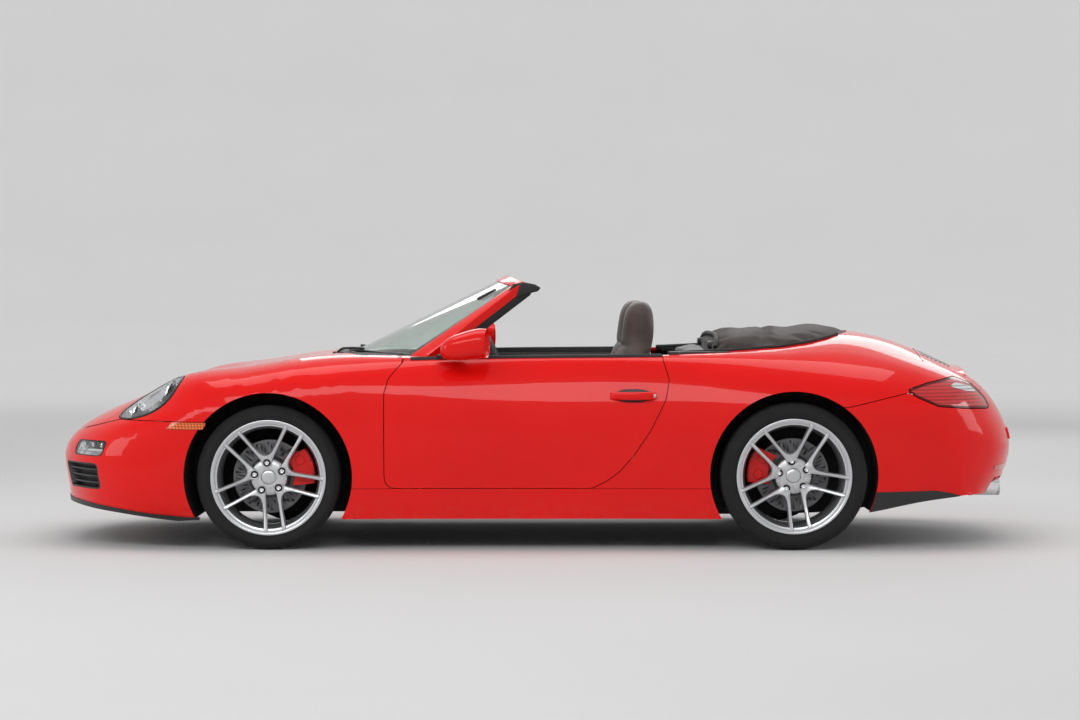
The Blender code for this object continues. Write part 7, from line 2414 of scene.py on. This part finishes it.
    def build(self, pads: dict[str, bpy.types.Object]) -> None:
        """Make and dress the seat from copies of the pads."""
        step = (0, self.side.sign * self.middle, 0)
        word = self.side.word
        for name, pad in pads.items():
            thing = Bench.rounded(Bench.copy(pad), 1)
            stands = [f"seat_{word}"] if name == "seat_cushion" else []
            Bench.piece(Bench.moved(thing, step), f"{name}_{word}", Finishes.HIDE, "body", stands)
        seams = []
        for share in (-self.back_seam, self.back_seam):
            path = [(front + .0035, share * half, z)
                    for z, front, _, half in self.rows(self.back_rows, 60) if .36 < z < .87]
            seams.append(Bench.tube(path, .0018, 6, 1))
            path = [(x, share * 1.06 * half, high - .0035)
                    for x, _, high, half in self.rows(self.cushion_rows, 60) if -.11 < x < .27]
            seams.append(Bench.tube(path, .0018, 6, 1))
        Bench.piece(Bench.moved(Bench.gather(seams), step), f"seat_stitching_{word}", Finishes.THREAD)
        plinth = Bench.box((-.06, -.20, .1605), (.30, .20, .215), .012, 2)
        rails = [Bench.box((-.12, y - .016, .1605), (.34, y + .016, .190), .004) for y in (-.17, .17)]
        Bench.piece(Bench.moved(Bench.gather([plinth, *rails]), step), f"seat_plinth_{word}",
                    Finishes.CABIN_PLASTIC)


@dataclass
class Cabin:
    """The dashboard, console, steering wheel, rear seats, carpets and small fittings."""

    tilt_deg: float = 24.0
    wheel_spot: Point = (-.150, -.365, .780)
    floor: float = .160
    tunnel_half: float = .108
    dash_wall: float = -.636
    seat_wall: float = .955
    # Share of a rear seat's sheet, from its front edge, where the cushion meets the back
    rear_fold: float = .45
    # The cluster's dials: place across the car and radius, with where they stand and which way they face
    dials: tuple[Flat, ...] = ((-.365, .052), (-.445, .040), (-.285, .040), (-.512, .030), (-.218, .030))
    dial_x: float = -.2935
    dial_z: float = .8035
    dial_facing: Point = (.94, 0, .34)

    def on_column(self, thing: bpy.types.Object) -> bpy.types.Object:
        """Tilt something built along Z to the steering column."""
        angle = math.radians(self.tilt_deg)
        back = Vector((-math.cos(angle), 0, -math.sin(angle)))
        turn = Vector((0, 0, -1)).rotation_difference(back).to_matrix().to_4x4()
        return Bench.placed(thing, Matrix.Translation(self.wheel_spot) @ turn)

    def steering_wheel(self) -> None:
        """A three-spoked leather wheel with a padded boss."""
        ring = Bench.spun([(.0145 * math.cos(math.tau * k / 14), .180 + .0145 * math.sin(math.tau * k / 14))
                           for k in range(14)], 72, direction=(0, 0, 1))
        Bench.piece(self.on_column(ring), "steering_wheel_rim", Finishes.DASH_HIDE, "steering_wheel",
                    ["steering_wheel"])
        boss = Bench.spun([(-.040, 0), (-.040, .050), (-.020, .062), (.004, .064), (.012, .058),
                           (.016, .045), (.018, .0)], 48, direction=(0, 0, 1), closed=False)
        section = ((-1, 0), (-.7, .8), (0, 1), (.7, .8), (1, 0), (.7, -.8), (0, -1), (-.7, -.8))
        parts = []
        for turn in (0, 90, 180):
            rings = []
            for k in range(9):
                share = k / 8
                reach, wide, high = .045 + .128 * share, .026 - .008 * math.sin(math.pi * share), .006
                lift = -.004 * share
                rings.append([(reach, wide * c, lift + high * s) for c, s in section])
            parts.append(Bench.turned(Bench.strip(rings), turn - 90, "Z"))
        Bench.piece(self.on_column(Bench.gather(parts)), "steering_wheel_spokes", Finishes.SATIN,
                    "steering_wheel")
        Bench.piece(self.on_column(boss), "steering_wheel_boss", Finishes.CABIN_PLASTIC, "steering_wheel")
        stalks = []
        for sign in (-1, 1):
            stalks.append(Bench.tube([(0, 0, -.065), (.01, sign * .07, -.062), (.014, sign * .150, -.056)],
                                     .006, 8, 4))
        shroud = Bench.spun([(-.30, .030), (-.30, .045), (-.12, .055), (-.055, .048), (-.0445, .040),
                             (-.0445, .0)], 32, direction=(0, 0, 1), closed=False)
        Bench.piece(self.on_column(Bench.gather([shroud, *stalks])), "column_shroud", Finishes.CABIN_PLASTIC)

    def dash(self) -> None:
        """The dashboard's padded body, with a hood over the cluster."""
        def edge(y: float) -> float:
            """How far forward the dashboard reaches at a distance from the middle."""
            return float(np.interp(abs(y), (0, .18, .33, .47, .57, .64),
                                   (-.835, -.825, -.79, -.70, -.60, -.54)))

        rings = []
        for k in range(41):
            y = -.636 + 1.272 * k / 40
            nose = edge(y) + .012
            hood = .030 * math.exp(-((y - self.wheel_spot[1]) / .150) ** 4)
            section = [(nose, .800), (min(nose + .03, -.5), .836),
                       (-.60 if nose < -.62 else nose + .04, .848), (-.47, .860 + hood * .5),
                       (-.36, .862 + hood), (-.30, .850 + hood), (-.278, .815 + hood * .4), (-.285, .760),
                       (-.315, .700), (-.355, .640), (-.43, .590), (-.52, .572),
                       (-.60 if nose < -.62 else nose + .03, .600)]
            rings.append([(x, y, z) for x, z in section])
        dash = Bench.rounded(Bench.strip(rings), 1)
        Bench.piece(dash, "dash_body", Finishes.DASH_HIDE, "body", ["dashboard"])

    def cluster(self) -> None:
        """The dials with their rims, and the vents."""
        dials, rims = [], []
        for y, radius in self.dials:
            profile = [(0, 0), (.004, 0), (.004, radius - .003), (.010, radius - .002), (.012, radius),
                       (0, radius + .001)]
            spot = (self.dial_x, y, self.dial_z)
            dials.append(Bench.spun(profile, 36, spot, self.dial_facing, closed=False))
            edging = [(.009, radius), (.013, radius + .001), (.013, radius + .003), (.008, radius + .003)]
            rims.append(Bench.spun(edging, 36, spot, self.dial_facing))
        Bench.piece(Bench.gather(dials), "dials", Finishes.GLOSS_BLACK)
        vents = []
        for y in (-.585, -.115, .115, .585):
            for k in range(4):
                vents.append(Bench.box((-.292, y - .036, .765 + .011 * k),
                                       (-.276, y + .036, .769 + .011 * k), .001))
        Bench.piece(Bench.gather(rims), "dial_rims", Finishes.CHROME)
        Bench.piece(Bench.gather(vents), "vents", Finishes.SATIN)

    def console(self) -> None:
        """The centre stack: its screen and knobs, the gear lever, the hand brake and the armrest."""
        stack = Bench.prism(Outline.rounded(((-.50, .362), (.300, .362), (.300, .425), (.100, .440),
                                             (-.08, .450), (-.20, .500), (-.300, .640), (-.320, .730),
                                             (-.42, .730), (-.50, .600)), .03), "Y", -.098, .098, .010, 3)
        Bench.piece(stack, "console", Finishes.CABIN_PLASTIC)
        screen = Bench.box((-.3065, -.078, .652), (-.2995, .078, .722), .003)
        Bench.turned(screen, -14, "Y", (-.303, 0, .69))
        Bench.piece(screen, "console_screen", Finishes.GLOSS_BLACK)
        knobs = []
        for y, z in ((-.055, .600), (0, .600), (.055, .600), (-.055, .560), (.055, .560)):
            x = -.300 + (.640 - z) * .70
            knobs.append(Bench.spun([(0, 0), (0, .014), (.014, .0125), (.016, .0105), (.016, 0)], 24,
                                    (x, y, z), (.80, 0, .60), closed=False))
        Bench.piece(Bench.gather(knobs), "console_knobs", Finishes.SATIN)
        boot = Bench.spun([(.0, .050), (.012, .046), (.030, .032), (.050, .020), (.066, .012), (.066, 0)],
                          32, (-.02, 0, .444), (0, 0, 1), closed=False)
        Bench.piece(boot, "gear_boot", Finishes.HIDE)
        lever = Bench.spun([(0, 0), (0, .007), (.055, .007), (.060, .016), (.072, .023), (.088, .024),
                            (.100, .018), (.106, 0)], 32, (-.02, 0, .505), (-.05, 0, 1), closed=False)
        Bench.piece(lever, "gear_knob", Finishes.SATIN)
        brake = Bench.tube([(.22, .060, .440), (.12, .060, .462), (-.02, .060, .480)], .014, 12, 5)
        Bench.piece(brake, "hand_brake", Finishes.HIDE)
        rest = Bench.box((.100, -.085, .440), (.300, .085, .478), .016, 4)
        Bench.piece(rest, "console_armrest", Finishes.HIDE)

    def rear(self) -> None:
        """Two small rear seats and the parcel wall."""
        for side in Side:
            middle = side.sign * .300

            def front(u: float, v: float) -> Vector:
                """Cushion and back of a rear seat in one bent sheet."""
                share = (v + 1) / 2
                if share < self.rear_fold:
                    along = share / self.rear_fold
                    x, z = .625 + .235 * along, .450 - .022 * along
                else:
                    up = (share - self.rear_fold) / (1 - self.rear_fold)
                    x, z = .860 + .055 * up, .430 + .250 * up
                dish = .016 * (1 - u * u)
                corner = math.exp(-((share - self.rear_fold) / .09) ** 2) * .018
                edge = max(abs(u) - .88, 0) / .12 * .018 + max(abs(share - .5) - .46, 0) / .04 * .012
                roll = .004 * max(0, math.cos(u * 9)) ** 12
                return Vector((x - (dish * .5 - corner - edge) * (share > self.rear_fold), middle + u * .192,
                               z + (dish * .3 + corner - edge) * (share <= self.rear_fold) - roll))

            pad = Bench.slab(front, lambda u, v: front(u, v) + Vector((.035, 0, -.060)), 32, 48, crisp_deg=80)
            Bench.rounded(pad, 1)
            stands = ["rear_seats"] if side is Side.LEFT else []
            Bench.piece(pad, f"rear_seat_{side.word}", Finishes.HIDE, "body", stands)
        wall = Bench.box((.9300, -.600, .170), (.9580, .600, .7340), .006)
        Bench.piece(wall, "rear_bulkhead_trim", Finishes.CARPET)

    def carpets(self) -> None:
        """Carpet over the floor, the tunnel and the sills' inner sides."""
        pieces = []
        for side in Side:
            ends = sorted((side.sign * self.tunnel_half, side.sign * .596))
            pieces.append(Bench.box((self.dash_wall, ends[0], .1608), (self.seat_wall, ends[1], .1690), .003))
            kick = sorted((side.sign * self.tunnel_half, side.sign * .640))
            pad = Bench.box((self.dash_wall, kick[0], self.floor), (-.628, kick[1], .560), .003)
            pieces.append(Bench.turned(pad, 6, "Y", (-.632, 0, self.floor)))
        cover = Bench.box((-.630, -self.tunnel_half, .170), (self.seat_wall, self.tunnel_half, .3640), .012,
                          3)
        Bench.piece(Bench.gather([*pieces, cover]), "carpets", Finishes.CARPET)

    def pedals(self) -> None:
        """Three pedals, each a plate on its arm."""
        pedals = []
        for y in (-.250, -.345, -.440):
            plate = Bench.box((-.525, y - .027, .235), (-.515, y + .027, .305), .004)
            pedals.append(Bench.turned(plate, 24, "Y", (-.52, y, .27)))
            pedals.append(Bench.tube([(-.535, y, .300), (-.585, y, .420), (-.600, y, .520)], .006, 8, 3))
        Bench.piece(Bench.gather(pedals), "pedals", Finishes.SATIN)

    def build(self) -> None:
        """Fit out the cabin."""
        self.steering_wheel()
        self.dash()
        self.cluster()
        self.console()
        self.rear()
        self.carpets()
        self.pedals()
        pads = Seat(Side.LEFT).pads()
        for side in Side:
            Seat(side).build(pads)
        Bench.drop(*pads.values())


@dataclass
class Underside:
    """The CAD nodes that keep their own shape: each gets its finish."""

    finishes: tuple[tuple[str, Finish], ...] = (
        ("front_frame", Finishes.LINER), ("floor_pan", Finishes.LINER), ("rear_frame", Finishes.LINER),
        ("engine", Finishes.CAST_ALLOY), ("exhaust", Finishes.SATIN),
        ("front_axle", Finishes.DARK_STEEL), ("rear_axle", Finishes.DARK_STEEL),
        ("knuckle_left", Finishes.DARK_STEEL), ("knuckle_right", Finishes.DARK_STEEL))

    def build(self) -> None:
        """Dress each node's own material slots."""
        for name, finish in self.finishes:
            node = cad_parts[name]
            node.data.materials.clear()
            node.data.materials.append(finish.material())


@dataclass
class Studio:
    """The floor, the backdrop, the lamps and the camera."""

    camera_spot: Point = (0.0224, -13.47, 1.207)
    lens: float = 94.3
    pitch_deg: float = 1.62

    def build(self) -> None:
        """Set up everything that isn't the car."""
        self.floor()
        self.lights()
        self.camera()

    def floor(self) -> None:
        """A pale floor that curves up to a pale backdrop all round."""
        profile = [(0.0, 0.0), (0.0, 34.0), (0.4, 39.0), (2.0, 44.0), (5.5, 48.0), (12.0, 51.0), (45.0, 52.0)]
        cove = Bench.spun(profile, 96, closed=False, direction=(0, 0, 1))
        cove.name = "cove"
        cove.data.materials.append(Finishes.FLOOR.material())

    def lights(self) -> None:
        """Large soft lamps over and beside the car, and an even pale world."""
        for name, spot, aim, size, power in (
                ("key", (-2.5, -7.5, 5.2), (0, 0, .5), (9.0, 2.2), 250),
                ("top", (0, 0.5, 6.5), (0, 0, .5), (8.0, 3.5), 200),
                ("nose", (-9.0, -3.0, 3.0), (-1.5, 0, .5), (3.0, 3.0), 90),
                ("tail", (9.0, -1.5, 3.0), (1.5, 0, .5), (3.0, 3.0), 90),
                ("far", (1.5, 8.5, 4.5), (0, 0, .5), (8.0, 2.5), 150)):
            data = bpy.data.lights.new(name, "AREA")
            data.shape = "RECTANGLE"
            data.size, data.size_y = size
            data.energy = power
            lamp = bpy.data.objects.new(name, data)
            bpy.context.scene.collection.objects.link(lamp)
            lamp.location = spot
            lamp.rotation_euler = (Vector(aim) - Vector(spot)).to_track_quat("-Z", "Y").to_euler()
        world = bpy.data.worlds.new("studio")
        bpy.context.scene.world = world
        world.use_nodes = True
        world.node_tree.nodes["Background"].inputs["Color"].default_value = (1, 1, 1, 1)
        world.node_tree.nodes["Background"].inputs["Strength"].default_value = 0.45

    def camera(self) -> None:
        """The photograph's viewpoint."""
        data = bpy.data.cameras.new("camera")
        data.lens = self.lens
        data.sensor_width = 36
        data.clip_end = 200
        camera = bpy.data.objects.new("camera", data)
        camera.location = self.camera_spot
        camera.rotation_euler = (math.radians(90 - self.pitch_deg), 0, 0)
        bpy.context.scene.collection.objects.link(camera)
        bpy.context.scene.camera = camera
        bpy.context.scene.view_settings.view_transform = "Standard"


def main() -> None:
    """Build the car's look piece by piece, and log each piece's faces as it is made."""
    logging.basicConfig(level=logging.INFO, format="%(message)s")
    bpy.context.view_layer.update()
    skin = Skin()
    shell = BodyShell(skin)
    shell.build()
    shell.dress()
    for side in Side:
        for place, hub, tyre_width, rim_width in (("front", FRONT_HUB, .235, .218),
                                                  ("rear", REAR_HUB, .285, .262)):
            centre = (hub[0], -side.sign * hub[1], hub[2])
            Wheel(place, side, centre, tyre_radius=hub[2], tyre_width=tyre_width, rim_width=rim_width).build()
    Brakes().build()
    Lamps(skin, shell).build()
    Windscreen().build(skin)
    DoorFittings(skin).build()
    Front(skin).build()
    Tail(skin).build()
    SoftTop(skin).build()
    Cabin().build()
    Underside().build()
    skin.clear()
    Studio().build()


if __name__ == "__main__":
    main()
